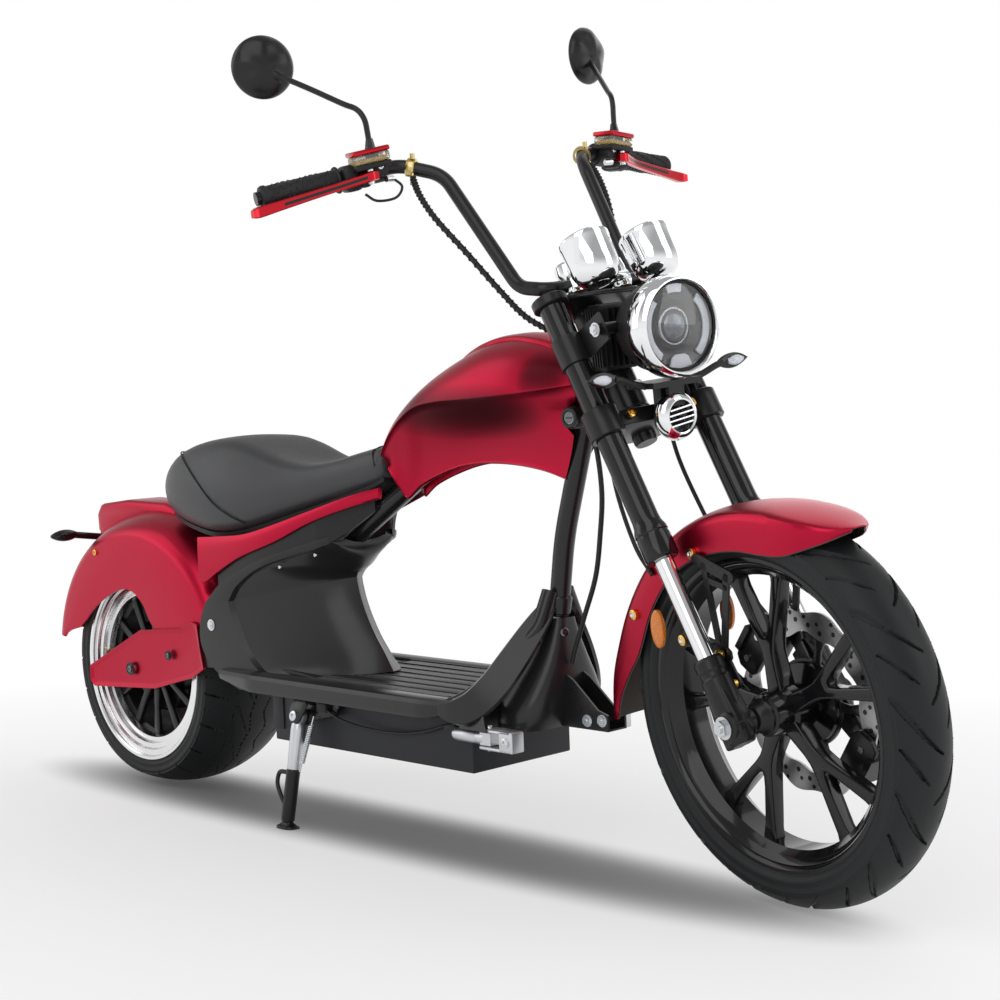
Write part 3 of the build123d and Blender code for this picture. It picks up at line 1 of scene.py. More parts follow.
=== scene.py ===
"""Looks of an electric chopper scooter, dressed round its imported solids.

Shapes are laid out in millimetres on the upright, straight machine: X runs forward from the rear
axle, Y to its left and Z up from the floor. The stance then carries each finished mesh onto the
parked machine, in metres.
"""

from __future__ import annotations

import json
import logging
import math
from dataclasses import dataclass
from enum import Enum
from typing import Sequence

import bmesh
import bpy
from mathutils import Matrix, Vector

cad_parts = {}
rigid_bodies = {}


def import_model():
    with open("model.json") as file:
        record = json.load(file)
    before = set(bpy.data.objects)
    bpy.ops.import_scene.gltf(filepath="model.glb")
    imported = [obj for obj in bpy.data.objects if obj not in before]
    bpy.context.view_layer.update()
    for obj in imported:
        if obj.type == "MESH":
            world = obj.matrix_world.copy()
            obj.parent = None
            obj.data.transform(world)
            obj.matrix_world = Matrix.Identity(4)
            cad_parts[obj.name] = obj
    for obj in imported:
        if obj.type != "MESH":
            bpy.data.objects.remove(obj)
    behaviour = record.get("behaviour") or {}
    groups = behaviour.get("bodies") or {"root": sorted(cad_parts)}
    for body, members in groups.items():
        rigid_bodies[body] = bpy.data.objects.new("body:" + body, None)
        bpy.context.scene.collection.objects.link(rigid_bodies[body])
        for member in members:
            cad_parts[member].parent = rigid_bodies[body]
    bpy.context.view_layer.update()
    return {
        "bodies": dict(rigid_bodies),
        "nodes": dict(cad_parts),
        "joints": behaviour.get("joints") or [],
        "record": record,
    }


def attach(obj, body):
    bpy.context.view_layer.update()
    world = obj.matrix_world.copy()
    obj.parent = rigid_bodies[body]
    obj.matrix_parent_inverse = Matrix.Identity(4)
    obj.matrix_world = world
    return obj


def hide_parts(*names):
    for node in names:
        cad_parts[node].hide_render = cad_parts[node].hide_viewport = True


LOG = logging.getLogger("scooter")
MM = 0.001
Point = Sequence[float]
SIDES = (-1, 1)
SIDE_NAMES = {-1: "right", 1: "left"}
FORWARD, LEFT, RIGHT, UP = (1, 0, 0), (0, 1, 0), (0, -1, 0), (0, 0, 1)
FRONT_AXLE = (1510.0, 0.0, 293.0)
REAR_AXLE = (0.0, 0.0, 240.0)
STEERED_BODIES = ("steering", "front_wheel")
WELD = 0.001
CLOUD_SCALE, SPECK_SCALE = 9.0, 420.0


@dataclass(frozen=True)
class Stance:
    """How the upright machine is leaned, settled and steered when it stands parked."""

    home: tuple[float, float, float] = (-745.037, 39.143, 0.330)
    across: tuple[float, float, float] = (0.000055, 0.998508, 0.054602)
    upright: tuple[float, float, float] = (0.001011, -0.054602, 0.998508)
    steer: float = -10.9
    rake: float = 28.7
    axle_lead: float = 40.0
    front_axle: tuple[float, float, float] = FRONT_AXLE

    @classmethod
    def from_record(cls, record: dict) -> Stance:
        """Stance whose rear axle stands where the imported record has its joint."""
        joint = next(j for j in record["behaviour"]["joints"] if j["name"] == "rear_wheel")
        upright = Vector(cls.upright)
        return cls(home=tuple(Vector(joint["pos_m"]) / MM - upright * REAR_AXLE[2]))

    @property
    def fork_up(self) -> Vector:
        """Direction up along the fork."""
        return Vector((-math.sin(math.radians(self.rake)), 0.0, math.cos(math.radians(self.rake))))

    @property
    def fork_fwd(self) -> Vector:
        """Direction ahead, square to the fork."""
        return Vector((math.cos(math.radians(self.rake)), 0.0, math.sin(math.radians(self.rake))))

    def matrix(self, steered: bool) -> Matrix:
        """Matrix from the upright machine, in millimetres, to the parked one, in metres.

        Args:
            steered: Whether the piece turns with the fork.

        Returns:
            The whole move as one matrix.
        """
        across, upright = Vector(self.across), Vector(self.upright)
        ahead = across.cross(upright)
        turn = Matrix((ahead, across, upright)).transposed().to_4x4()
        whole = Matrix.Scale(MM, 4) @ Matrix.Translation(self.home) @ turn
        if steered:
            base = Vector(self.front_axle) - self.fork_fwd * self.axle_lead
            swing = Matrix.Rotation(math.radians(self.steer), 4, self.fork_up)
            whole = whole @ Matrix.Translation(base) @ swing @ Matrix.Translation(-base)
        return whole

    def on_fork(self, station: float, across: float = 0.0, ahead: float = 0.0) -> Vector:
        """Point at a station up the fork, moved across the machine and ahead of the legs."""
        return Vector(self.front_axle) + self.fork_up * station + self.fork_fwd * ahead + Vector((0, across, 0))


STANCE = Stance()


class Track:
    """A value that changes smoothly along the machine, given at a few stations."""

    def __init__(self, table: Sequence[tuple[float, float]]) -> None:
        """Keep the stations in rising order.

        Args:
            table: Pairs of station and value.
        """
        self.table = sorted(table)

    def at(self, station: float) -> float:
        """Value at a station, on a smooth curve through the given ones."""
        spots = self.table
        if station <= spots[0][0]:
            return spots[0][1]
        if station >= spots[-1][0]:
            return spots[-1][1]
        i = next(k for k in range(1, len(spots)) if station <= spots[k][0]) - 1
        (x0, y0), (x1, y1) = spots[i], spots[i + 1]
        t = (station - x0) / (x1 - x0)
        before, after = spots[max(i - 1, 0)], spots[min(i + 2, len(spots) - 1)]
        m0 = (y1 - before[1]) / (x1 - before[0]) * (x1 - x0)
        m1 = (after[1] - y0) / (after[0] - x0) * (x1 - x0)
        return ((2 * t ** 3 - 3 * t ** 2 + 1) * y0 + (t ** 3 - 2 * t ** 2 + t) * m0
                + (-2 * t ** 3 + 3 * t ** 2) * y1 + (t ** 3 - t ** 2) * m1)


def columns(table: Sequence[Sequence[float]]) -> list[Track]:
    """A track for each column of a table that has its stations in the first one."""
    return [Track([(row[0], row[k]) for row in table]) for k in range(1, len(table[0]))]


def held(value: float) -> float:
    """A value held between 0 and 1."""
    return max(0.0, min(1.0, value))


def heading(route: Sequence[Vector], i: int) -> Vector:
    """Direction of a route at one of its points."""
    return (route[min(i + 1, len(route) - 1)] - route[max(i - 1, 0)]).normalized()


def mirror_image(points: Sequence[Vector]) -> list[Vector]:
    """Mirror images of some points on the machine's other side, in reversed order."""
    return [Vector((p.x, -p.y, p.z)) for p in reversed(points)]


def flow(points: Sequence[Point], count: int) -> list[Vector]:
    """Points spread evenly by index on a smooth curve through the given ones.

    Args:
        points: The points the curve passes.
        count: How many points come back.

    Returns:
        The points along the curve.
    """
    size = len(points[0])
    tracks = [Track([(float(i), float(p[k])) for i, p in enumerate(points)]) for k in range(size)]
    last = len(points) - 1
    return [Vector([track.at(last * n / (count - 1)) for track in tracks]) for n in range(count)]


def bow(middle: Point, ahead: float, tall: float, angles: Sequence[float]) -> list[Vector]:
    """Part of an upright oval, square to the machine's width.

    Args:
        middle: Middle of the oval.
        ahead: Its reach forward.
        tall: Its reach upward.
        angles: Angles of the points, in radians from straight up towards ahead.

    Returns:
        The points.
    """
    x, y, z = middle
    return [Vector((x + ahead * math.sin(a), y, z + tall * math.cos(a))) for a in angles]


def squared_ring(centre: Point, half: Point, power: float, count: int) -> list[Vector]:
    """Level ring between an oval and a rectangle.

    Args:
        centre: Centre of the ring.
        half: Half its length and half its width.
        power: 1 for an oval, smaller for squarer corners.
        count: Number of points.

    Returns:
        The points.
    """
    ring = []
    for k in range(count):
        turn = math.tau * k / count
        c, s = math.cos(turn), math.sin(turn)
        ring.append(Vector((centre[0] + half[0] * math.copysign(abs(c) ** power, c),
                            centre[1] + half[1] * math.copysign(abs(s) ** power, s), centre[2])))
    return ring


class Form:
    """A mesh that bmesh operators shape, in millimetres of the upright machine."""

    def __init__(self) -> None:
        """Start with no geometry."""
        self.bm = bmesh.new()

    def _frame(self, run: Vector) -> tuple[Vector, Vector]:
        """Two directions square to a run and to each other."""
        side = Vector(LEFT) if abs(run.normalized().y) < 0.8 else Vector(FORWARD)
        first = side.cross(run).normalized()
        return first, run.normalized().cross(first).normalized()

    def spin(self, profile: Sequence[Point], centre: Point, axis: Point, out: Point | None = None,
             steps: int = 64, closed: bool = True) -> Form:
        """Turn a profile of (along, out) pairs round an axis.

        Args:
            profile: Corner points of the profile.
            centre: Point on the axis where along is zero.
            axis: Direction of the axis.
            out: A direction square to the axis, or None for any.
            steps: Number of steps in the full turn.
            closed: Whether the profile is a closed loop.

        Returns:
            This form.
        """
        line = Vector(axis).normalized()
        start = Vector(out).normalized() if out else self._frame(line)[0]
        middle = Vector(centre)
        verts = [self.bm.verts.new(middle + line * a + start * r) for a, r in profile]
        edges = [self.bm.edges.new((verts[i], verts[i + 1])) for i in range(len(verts) - 1)]
        if closed:
            edges.append(self.bm.edges.new((verts[-1], verts[0])))
        bmesh.ops.spin(self.bm, geom=verts + edges, cent=middle, axis=line, angle=math.tau,
                       steps=steps, use_merge=True, use_duplicate=False)
        bmesh.ops.remove_doubles(self.bm, verts=self.bm.verts, dist=WELD)
        return self

    def plate(self, outline: Sequence[Point], origin: Point, across: Point, up: Point, depth: float) -> Form:
        """Extrude a flat outline, along across x up.

        Args:
            outline: Corner points in the plate's own two directions.
            origin: Where those directions start.
            across: The first direction.
            up: The second direction.
            depth: How far the outline is extruded.

        Returns:
            This form.
        """
        a, b = Vector(across).normalized(), Vector(up).normalized()
        base = Vector(origin)
        verts = [self.bm.verts.new(base + a * x + b * y) for x, y in outline]
        face = self.bm.faces.new(verts)
        made = bmesh.ops.extrude_face_region(self.bm, geom=[face], use_keep_orig=True)
        moved = [v for v in made["geom"] if isinstance(v, bmesh.types.BMVert)]
        bmesh.ops.translate(self.bm, verts=moved, vec=a.cross(b) * depth)
        return self

    def rod(self, start: Point, end: Point, radius: float, tip: float | None = None, sides: int = 24) -> Form:
        """Round or many-sided bar between two points, tapering to a tip radius.

        Args:
            start: Centre of one end.
            end: Centre of the other end.
            radius: Radius at the start.
            tip: Radius at the end, or None for the same.
            sides: Number of sides.

        Returns:
            This form.
        """
        a, b = Vector(start), Vector(end)
        turn = Vector(UP).rotation_difference(b - a).to_matrix().to_4x4()
        place = Matrix.Translation((a + b) / 2) @ turn
        bmesh.ops.create_cone(self.bm, cap_ends=True, segments=sides, radius1=radius,
                              radius2=radius if tip is None else tip, depth=(b - a).length, matrix=place)
        return self

    def box(self, low: Point, high: Point, turn: Matrix | None = None) -> Form:
        """Block between two corners, optionally turned about its middle."""
        a, b = Vector(low), Vector(high)
        size = Matrix.Diagonal((*(b - a), 1.0))
        place = Matrix.Translation((a + b) / 2) @ (turn.to_4x4() if turn else Matrix.Identity(4)) @ size
        bmesh.ops.create_cube(self.bm, size=1.0, matrix=place)
        return self

    def loft(self, sections: Sequence[Sequence[Point]], closed: bool = True, ring: bool = False) -> Form:
        """Skin a run of sections that have the same number of points, and fill the ends of a closed one.

        Args:
            sections: The sections in order.
            closed: Whether each section is a closed loop.
            ring: Whether the last section joins the first.

        Returns:
            This form.
        """
        count, rows = len(sections[0]), len(sections)
        steps = count if closed else count - 1
        bands = rows if ring else rows - 1
        made = bmesh.ops.create_grid(self.bm, x_segments=steps, y_segments=bands, size=1.0)["verts"]
        ends: tuple[list, list] = ([], [])
        for vert in made:
            i = round((vert.co.x + 1) / 2 * steps)
            j = round((vert.co.y + 1) / 2 * bands)
            vert.co = Vector(sections[j % rows][i % count])
            if not ring and j in (0, rows - 1) and i < count:
                ends[0 if j == 0 else 1].append((i, vert))
        if closed and not ring:
            for end in ends:
                order = [vert for i, vert in sorted(end, key=lambda pair: pair[0])]
                self.bm.faces.new(order)
        bmesh.ops.remove_doubles(self.bm, verts=self.bm.verts, dist=WELD)
        return self

    def pipe(self, points: Sequence[Point], radius: float, sides: int = 16, smooth: bool = True,
             steps: int = 10) -> Form:
        """Round tube along a route.

        Args:
            points: Points of the route.
            radius: Radius of the tube.
            sides: Number of sides.
            smooth: Whether the route is a flowing curve.
            steps: Points per run of a flowing route.

        Returns:
            This form.
        """
        route = flow(points, steps * (len(points) - 1) + 1) if smooth else [Vector(p) for p in points]
        runs = [heading(route, i) for i in range(len(route))]
        first = self._frame(runs[0])[0]
        sections = []
        for spot, run in zip(route, runs):
            first = (first - run * first.dot(run)).normalized()
            second = run.cross(first)
            sections.append([spot + (first * math.cos(a) + second * math.sin(a)) * radius
                             for a in (math.tau * k / sides for k in range(sides))])
        return self.loft(sections)

    def bolt(self, seat: Point, out: Point, size: float, kind: Bolt, height: float = 0.0) -> Form:
        """Bolt head standing on a surface.

        Args:
            seat: Centre of the head's underside.
            out: Direction the head stands out in.
            size: Radius of the head.
            kind: Shape of the head.
            height: Height of the head, or 0 for the usual.

        Returns:
            This form.
        """
        rise = height or size * 0.75
        line = Vector(out).normalized()
        base = Vector(seat)
        if kind is Bolt.HEX:
            self.rod(base, base + line * rise * 0.18, size * 1.35, sides=24)
            self.rod(base, base + line * rise, size, sides=6)
            self.rod(base + line * rise, base + line * rise * 1.35, size * 0.5, sides=16)
        else:
            dome = size * 0.35 if kind is Bolt.BUTTON else size * 0.1
            bore = size * 0.48
            profile = [(-0.4, 0), (-0.4, size), (rise - dome, size), (rise - dome * 0.35, size * 0.86),
                       (rise, size * 0.62), (rise, bore), (rise * 0.4, bore), (rise * 0.4, 0)]
            self.spin(profile, base, line, steps=24, closed=False)
        return self

    def add(self, other: Form) -> Form:
        """Take in another form's shape."""
        mesh = bpy.data.meshes.new("carried")
        other.bm.to_mesh(mesh)
        other.bm.free()
        self.bm.from_mesh(mesh)
        bpy.data.meshes.remove(mesh)
        return self

    def hollow(self, wall: float) -> Form:
        """Give an open shell a wall on its inner side."""
        bmesh.ops.recalc_face_normals(self.bm, faces=self.bm.faces)
        bmesh.ops.solidify(self.bm, geom=list(self.bm.faces), thickness=wall)
        return self

    def mirrored(self) -> Form:
        """Add the mirror image on the other side of the machine."""
        copy = bmesh.ops.duplicate(self.bm, geom=list(self.bm.verts) + list(self.bm.edges) + list(self.bm.faces))
        verts = [v for v in copy["geom"] if isinstance(v, bmesh.types.BMVert)]
        faces = [f for f in copy["geom"] if isinstance(f, bmesh.types.BMFace)]
        bmesh.ops.scale(self.bm, vec=(1, -1, 1), verts=verts)
        bmesh.ops.reverse_faces(self.bm, faces=faces)
        return self

    def turned(self, count: int, centre: Point, axis: Point) -> Form:
        """Repeat everything so far round an axis.

        Args:
            count: How many copies there are in all.
            centre: Point on the axis.
            axis: Direction of the axis.

        Returns:
            This form.
        """
        whole = list(self.bm.verts) + list(self.bm.edges) + list(self.bm.faces)
        for k in range(1, count):
            copy = bmesh.ops.duplicate(self.bm, geom=whole)
            verts = [v for v in copy["geom"] if isinstance(v, bmesh.types.BMVert)]
            self.swing(verts, centre, axis, math.tau * k / count)
        return self

    def swing(self, verts: Sequence, centre: Point, axis: Point, angle: float) -> None:
        """Turn some vertices round an axis by an angle in radians."""
        bmesh.ops.rotate(self.bm, cent=Vector(centre), verts=list(verts),
                         matrix=Matrix.Rotation(angle, 3, Vector(axis)))

    def bevel(self, width: float, segments: int = 2, angle: float = 30.0) -> Form:
        """Round every edge that is sharper than an angle.

        Args:
            width: Width of the rounding.
            segments: Number of facets across it.
            angle: Smallest angle between faces, in degrees, that is rounded.

        Returns:
            This form.
        """
        bmesh.ops.recalc_face_normals(self.bm, faces=self.bm.faces)
        limit = math.radians(angle)
        sharp = [e for e in self.bm.edges if len(e.link_faces) == 2 and e.calc_face_angle(0.0) > limit]
        bmesh.ops.bevel(self.bm, geom=sharp, offset=width, segments=segments, affect="EDGES", profile=0.5,
                        material=-1, clamp_overlap=True)
        return self


class Bolt(Enum):
    """Shapes of bolt head."""

    HEX = "hex"
    BUTTON = "button"
    SOCKET = "socket"


class Link:
    """A shader socket that takes part in Python expressions."""

    def __init__(self, shader: Shader, socket: bpy.types.NodeSocket) -> None:
        """Hold one output socket of a shader."""
        self.shader = shader
        self.socket = socket

    def _math(self, operation: str, *values: Value) -> Link:
        """Add one Math node."""
        return self.shader.node("ShaderNodeMath", {"operation": operation}, dict(enumerate(values)))

    def __add__(self, other: Value) -> Link:
        """Sum."""
        return self._math("ADD", self, other)

    def __sub__(self, other: Value) -> Link:
        """Difference."""
        return self._math("SUBTRACT", self, other)

    def __mul__(self, other: Value) -> Link:
        """Product."""
        return self._math("MULTIPLY", self, other)

    def __truediv__(self, other: Value) -> Link:
        """Quotient."""
        return self._math("DIVIDE", self, other)

    def __rsub__(self, other: Value) -> Link:
        """Difference from a number."""
        return self._math("SUBTRACT", other, self)

    def above(self, limit: float, blur: float) -> Link:
        """0 below a limit and 1 above it, over a blurred step."""
        return ((self - (limit - blur / 2)) / blur).clamped()

    def clamped(self) -> Link:
        """Held between 0 and 1."""
        return self.shader.node("ShaderNodeClamp", {}, {0: self})

    def sine(self) -> Link:
        """Sine of the value in radians."""
        return self._math("SINE", self)

    def most(self, other: Value) -> Link:
        """The larger of two values."""
        return self._math("MAXIMUM", self, other)

    def root(self) -> Link:
        """Square root."""
        return self._math("SQRT", self)


Value = Link | float | int


class Shader:
    """A node material that is being put together."""

    def __init__(self, name: str) -> None:
        """Start a material with one Principled shader."""
        self.material = bpy.data.materials.new(name)
        self.material.use_nodes = True
        self.tree = self.material.node_tree
        self.surface = self.tree.nodes["Principled BSDF"]

    def node(self, kind: str, settings: dict[str, object], values: dict[int | str, object],
             out: int | str = 0) -> Link:
        """Add one node.

        Args:
            kind: Type of the node.
            settings: Its properties, set before its sockets.
            values: A number, colour or link for each input.
            out: Which output comes back.

        Returns:
            The chosen output.
        """
        made = self.tree.nodes.new(kind)
        for key, value in settings.items():
            setattr(made, key, value)
        for key, value in values.items():
            if isinstance(value, Link):
                self.tree.links.new(value.socket, made.inputs[key])
            else:
                made.inputs[key].default_value = value
        return Link(self, made.outputs[out])

    def place(self) -> Link:
        """Object coordinates, in metres of the parked machine."""
        return self.node("ShaderNodeTexCoord", {}, {}, "Object")

    def along(self, axis: int) -> Link:
        """One of the object coordinates."""
        return self.node("ShaderNodeSeparateXYZ", {}, {0: self.place()}, axis)

    def noise(self, scale: float, detail: float = 3.0, rough: float = 0.5) -> Link:
        """Soft noise on object coordinates."""
        return self.node("ShaderNodeTexNoise", {}, {"Vector": self.place(), "Scale": scale, "Detail": detail,
                                                    "Roughness": rough}, "Fac")

    def cells(self, scale: float, feature: str = "F1") -> Link:
        """Cell pattern on object coordinates."""
        return self.node("ShaderNodeTexVoronoi", {"feature": feature},
                         {"Vector": self.place(), "Scale": scale}, "Distance")

    def blend(self, factor: Value, first: object, second: object) -> Link:
        """Mix two colours."""
        made = self.tree.nodes.new("ShaderNodeMix")
        made.data_type = "RGBA"
        for key, value in ((0, factor), (6, first), (7, second)):
            if isinstance(value, Link):
                self.tree.links.new(value.socket, made.inputs[key])
            elif key:
                made.inputs[key].default_value = (*value, 1.0)
            else:
                made.inputs[key].default_value = value
        return Link(self, made.outputs[2])

    def radius(self, centre: Point, axis: Point) -> Link:
        """Distance from an axis, for patterns on turned parts.

        Args:
            centre: Point on the axis, in metres.
            axis: Direction of the axis.

        Returns:
            The distance.
        """
        spot = self.node("ShaderNodeVectorMath", {"operation": "SUBTRACT"}, {0: self.place(), 1: tuple(centre)})
        line = tuple(Vector(axis).normalized())
        along = self.node("ShaderNodeVectorMath", {"operation": "DOT_PRODUCT"}, {0: spot, 1: line}, "Value")
        whole = self.node("ShaderNodeVectorMath", {"operation": "LENGTH"}, {0: spot}, "Value")
        return (whole * whole - along * along).most(0.0).root()

    def bump(self, height: Link, strength: float, depth: float) -> None:
        """Give the surface a height pattern, its depth in metres."""
        self.set("Normal", self.node("ShaderNodeBump", {}, {"Height": height, "Strength": strength,
                                                            "Distance": depth}))

    def set(self, socket: str, value: object) -> None:
        """Set or link one socket of the surface."""
        if isinstance(value, Link):
            self.tree.links.new(value.socket, self.surface.inputs[socket])
        elif socket == "Base Color" or socket == "Emission Color":
            self.surface.inputs[socket].default_value = (*value, 1.0)
        else:
            self.surface.inputs[socket].default_value = value


@dataclass(frozen=True)
class Finish:
    """A plain coated finish with a faint unevenness in its gloss."""

    name: str
    colour: tuple[float, float, float]
    rough: float = 0.4
    metal: float = 0.0
    coat: float = 0.0
    coat_rough: float = 0.1
    grain: float = 0.0
    grain_scale: float = 900.0
    wear: float = 0.06
    sheen: float = 0.28

    def build(self) -> bpy.types.Material:
        """Make the material."""
        shader = Shader(self.name)
        cloud = shader.noise(CLOUD_SCALE, 4.0)
        speck = shader.noise(SPECK_SCALE, 2.0)
        shade = tuple(min(1.0, c * (1 - 1.6 * self.wear)) for c in self.colour)
        light = tuple(min(1.0, c * (1 + 1.2 * self.wear)) for c in self.colour)
        shader.set("Base Color", shader.blend(cloud, shade, light))
        shader.set("Roughness", (cloud * self.wear * 1.6 + speck * self.wear * 0.8
                                 + (self.rough - self.wear * 1.2)).clamped())
        shader.set("Metallic", self.metal)
        shader.set("Coat Weight", self.coat)
        shader.surface.inputs["Specular IOR Level"].default_value = self.sheen
        shader.surface.inputs["Coat Roughness"].default_value = self.coat_rough
        self.detail(shader)
        return shader.material

    def detail(self, shader: Shader) -> None:
        """Add the fine relief of the surface."""
        if self.grain:
            shader.bump(shader.noise(self.grain_scale, 2.0, 0.6), self.grain, 0.0004)


@dataclass(frozen=True)
class CandyPaint(Finish):
    """Frosted candy paint: a metal flake under a satin clear coat."""

    # painted shade spots: centre ahead, centre height, half length, half height and depth, in metres of the parked
    # machine
    painted_shades: tuple[tuple[float, ...], ...] = ((0.170, 0.729, 0.180, 0.046, 0.84), (0.368, 0.787, 0.046, 0.040, 0.80))

    def detail(self, shader: Shader) -> None:
        """Let the flake sparkle a little, and darken the colour with painted shade below the tank's crease and at its
        front shoulder.
        """
        flake = shader.cells(2600.0)
        cloud = shader.noise(5.0, 3.0)
        deep = tuple(c * 0.82 for c in self.colour)
        plain = shader.blend(flake * 0.5 + cloud * 0.5, deep, self.colour)
        # the painted shade blends the colour towards a near-black red
        shader.set("Base Color", shader.blend(self.shade(shader), plain, (0.035, 0.002, 0.006)))
        shader.bump(flake, 0.035, 0.0002)

    def shade(self, shader: Shader) -> Link:
        """Painted shade: darken the colour below the crease of the tank and at its front shoulder, where shade falls.
        """
        x, z = shader.along(0), shader.along(2)
        total: Link | None = None
        for cx, cz, half_x, half_z, depth in self.painted_shades:
            dx, dz = (x - cx) / half_x, (z - cz) / half_z
            spot = (1.0 - (dx * dx * dx * dx + dz * dz)).clamped() * depth
            total = spot if total is None else total.most(spot)
        return total


@dataclass(frozen=True)
class Leather(Finish):
    """Soft grained seat cover."""

    def detail(self, shader: Shader) -> None:
        """Raise the pebbles of the grain over softer creases."""
        pebble = shader.cells(520.0, "SMOOTH_F1")
        crease = shader.noise(60.0, 5.0, 0.6)
        shader.bump(pebble * 0.7 + crease * 0.5, 0.35, 0.0006)
        shader.set("Roughness", (pebble * 0.22 + shader.noise(14.0) * 0.12 + (self.rough - 0.12)).clamped())


@dataclass(frozen=True)
class TurnedMetal(Finish):
    """Metal with fine rings left by the lathe."""

    centre: tuple[float, float, float] = (0.0, 0.0, 0.0)
    axis: tuple[float, float, float] = (0.0, 1.0, 0.0)
    pitch: float = 0.0011

    def detail(self, shader: Shader) -> None:
        """Cut rings round the axis."""
        radius = shader.radius(self.centre, self.axis)
        rings = (radius * (math.tau / self.pitch) + shader.noise(30.0) * 6.0).sine()
        shader.bump(rings * 0.5 + 0.5, 0.12, 0.0002)
        shader.set("Roughness", (rings * 0.05 + shader.noise(40.0) * 0.1 + self.rough).clamped())


@dataclass(frozen=True)
class TyreRubber(Finish):
    """Tyre rubber, its side walls marked by fine moulded rings."""

    centre: tuple[float, float, float] = (0.0, 0.0, 0.0)
    axis: tuple[float, float, float] = (0.0, 1.0, 0.0)
    tread_from: float = 0.26

    def detail(self, shader: Shader) -> None:
        """Mould rings below the tread and leave the tread finely rough."""
        radius = shader.radius(self.centre, self.axis)
        wall = 1 - radius.above(self.tread_from, 0.004)
        rings = (radius * (math.tau / 0.0045)).sine() * wall
        dust = shader.noise(26.0, 5.0, 0.6)
        shader.bump(rings * 0.35 + shader.noise(1100.0, 2.0) * 0.5, 0.3, 0.0006)
        shader.set("Roughness", (dust * 0.22 + (self.rough - 0.08)).clamped())
        shader.set("Base Color", shader.blend(dust, tuple(c * 0.7 for c in self.colour),
                                              tuple(c * 1.5 for c in self.colour)))


@dataclass(frozen=True)
class RibbedRubber(Finish):
    """Moulded rubber with rows of small ribs along one axis of the part."""

    axis: int = 0
    pitch: float = 0.004

    def detail(self, shader: Shader) -> None:
        """Raise the ribs."""
        rows = (shader.along(self.axis) * (math.tau / self.pitch)).sine()
        shader.bump(rows * 0.5 + shader.noise(700.0, 2.0) * 0.3, 0.5, 0.0009)


@dataclass(frozen=True)
class ClearPlastic(Finish):
    """See-through moulded plastic or glass."""

    clear: float = 1.0

    def detail(self, shader: Shader) -> None:
        """Let light through."""
        shader.surface.inputs["Transmission Weight"].default_value = self.clear
        shader.surface.inputs["IOR"].default_value = 1.45


@dataclass(frozen=True)
class PrismPlastic(Finish):
    """Reflector plastic with a field of small prisms behind its face."""

    def detail(self, shader: Shader) -> None:
        """Show the prisms as fine cells."""
        prism = shader.cells(380.0)
        shader.set("Base Color", shader.blend(prism, tuple(c * 0.55 for c in self.colour), self.colour))
        shader.bump(prism, 0.3, 0.0004)


WHEEL_AXIS_FRONT = (0.166010, 0.975536, 0.144121)
WHEEL_AXIS_REAR = (0.000055, 0.998508, 0.054602)
FRONT_HUB = (0.764265, 0.015611, 0.290605)
REAR_HUB = (-0.745154, 0.026039, 0.239972)

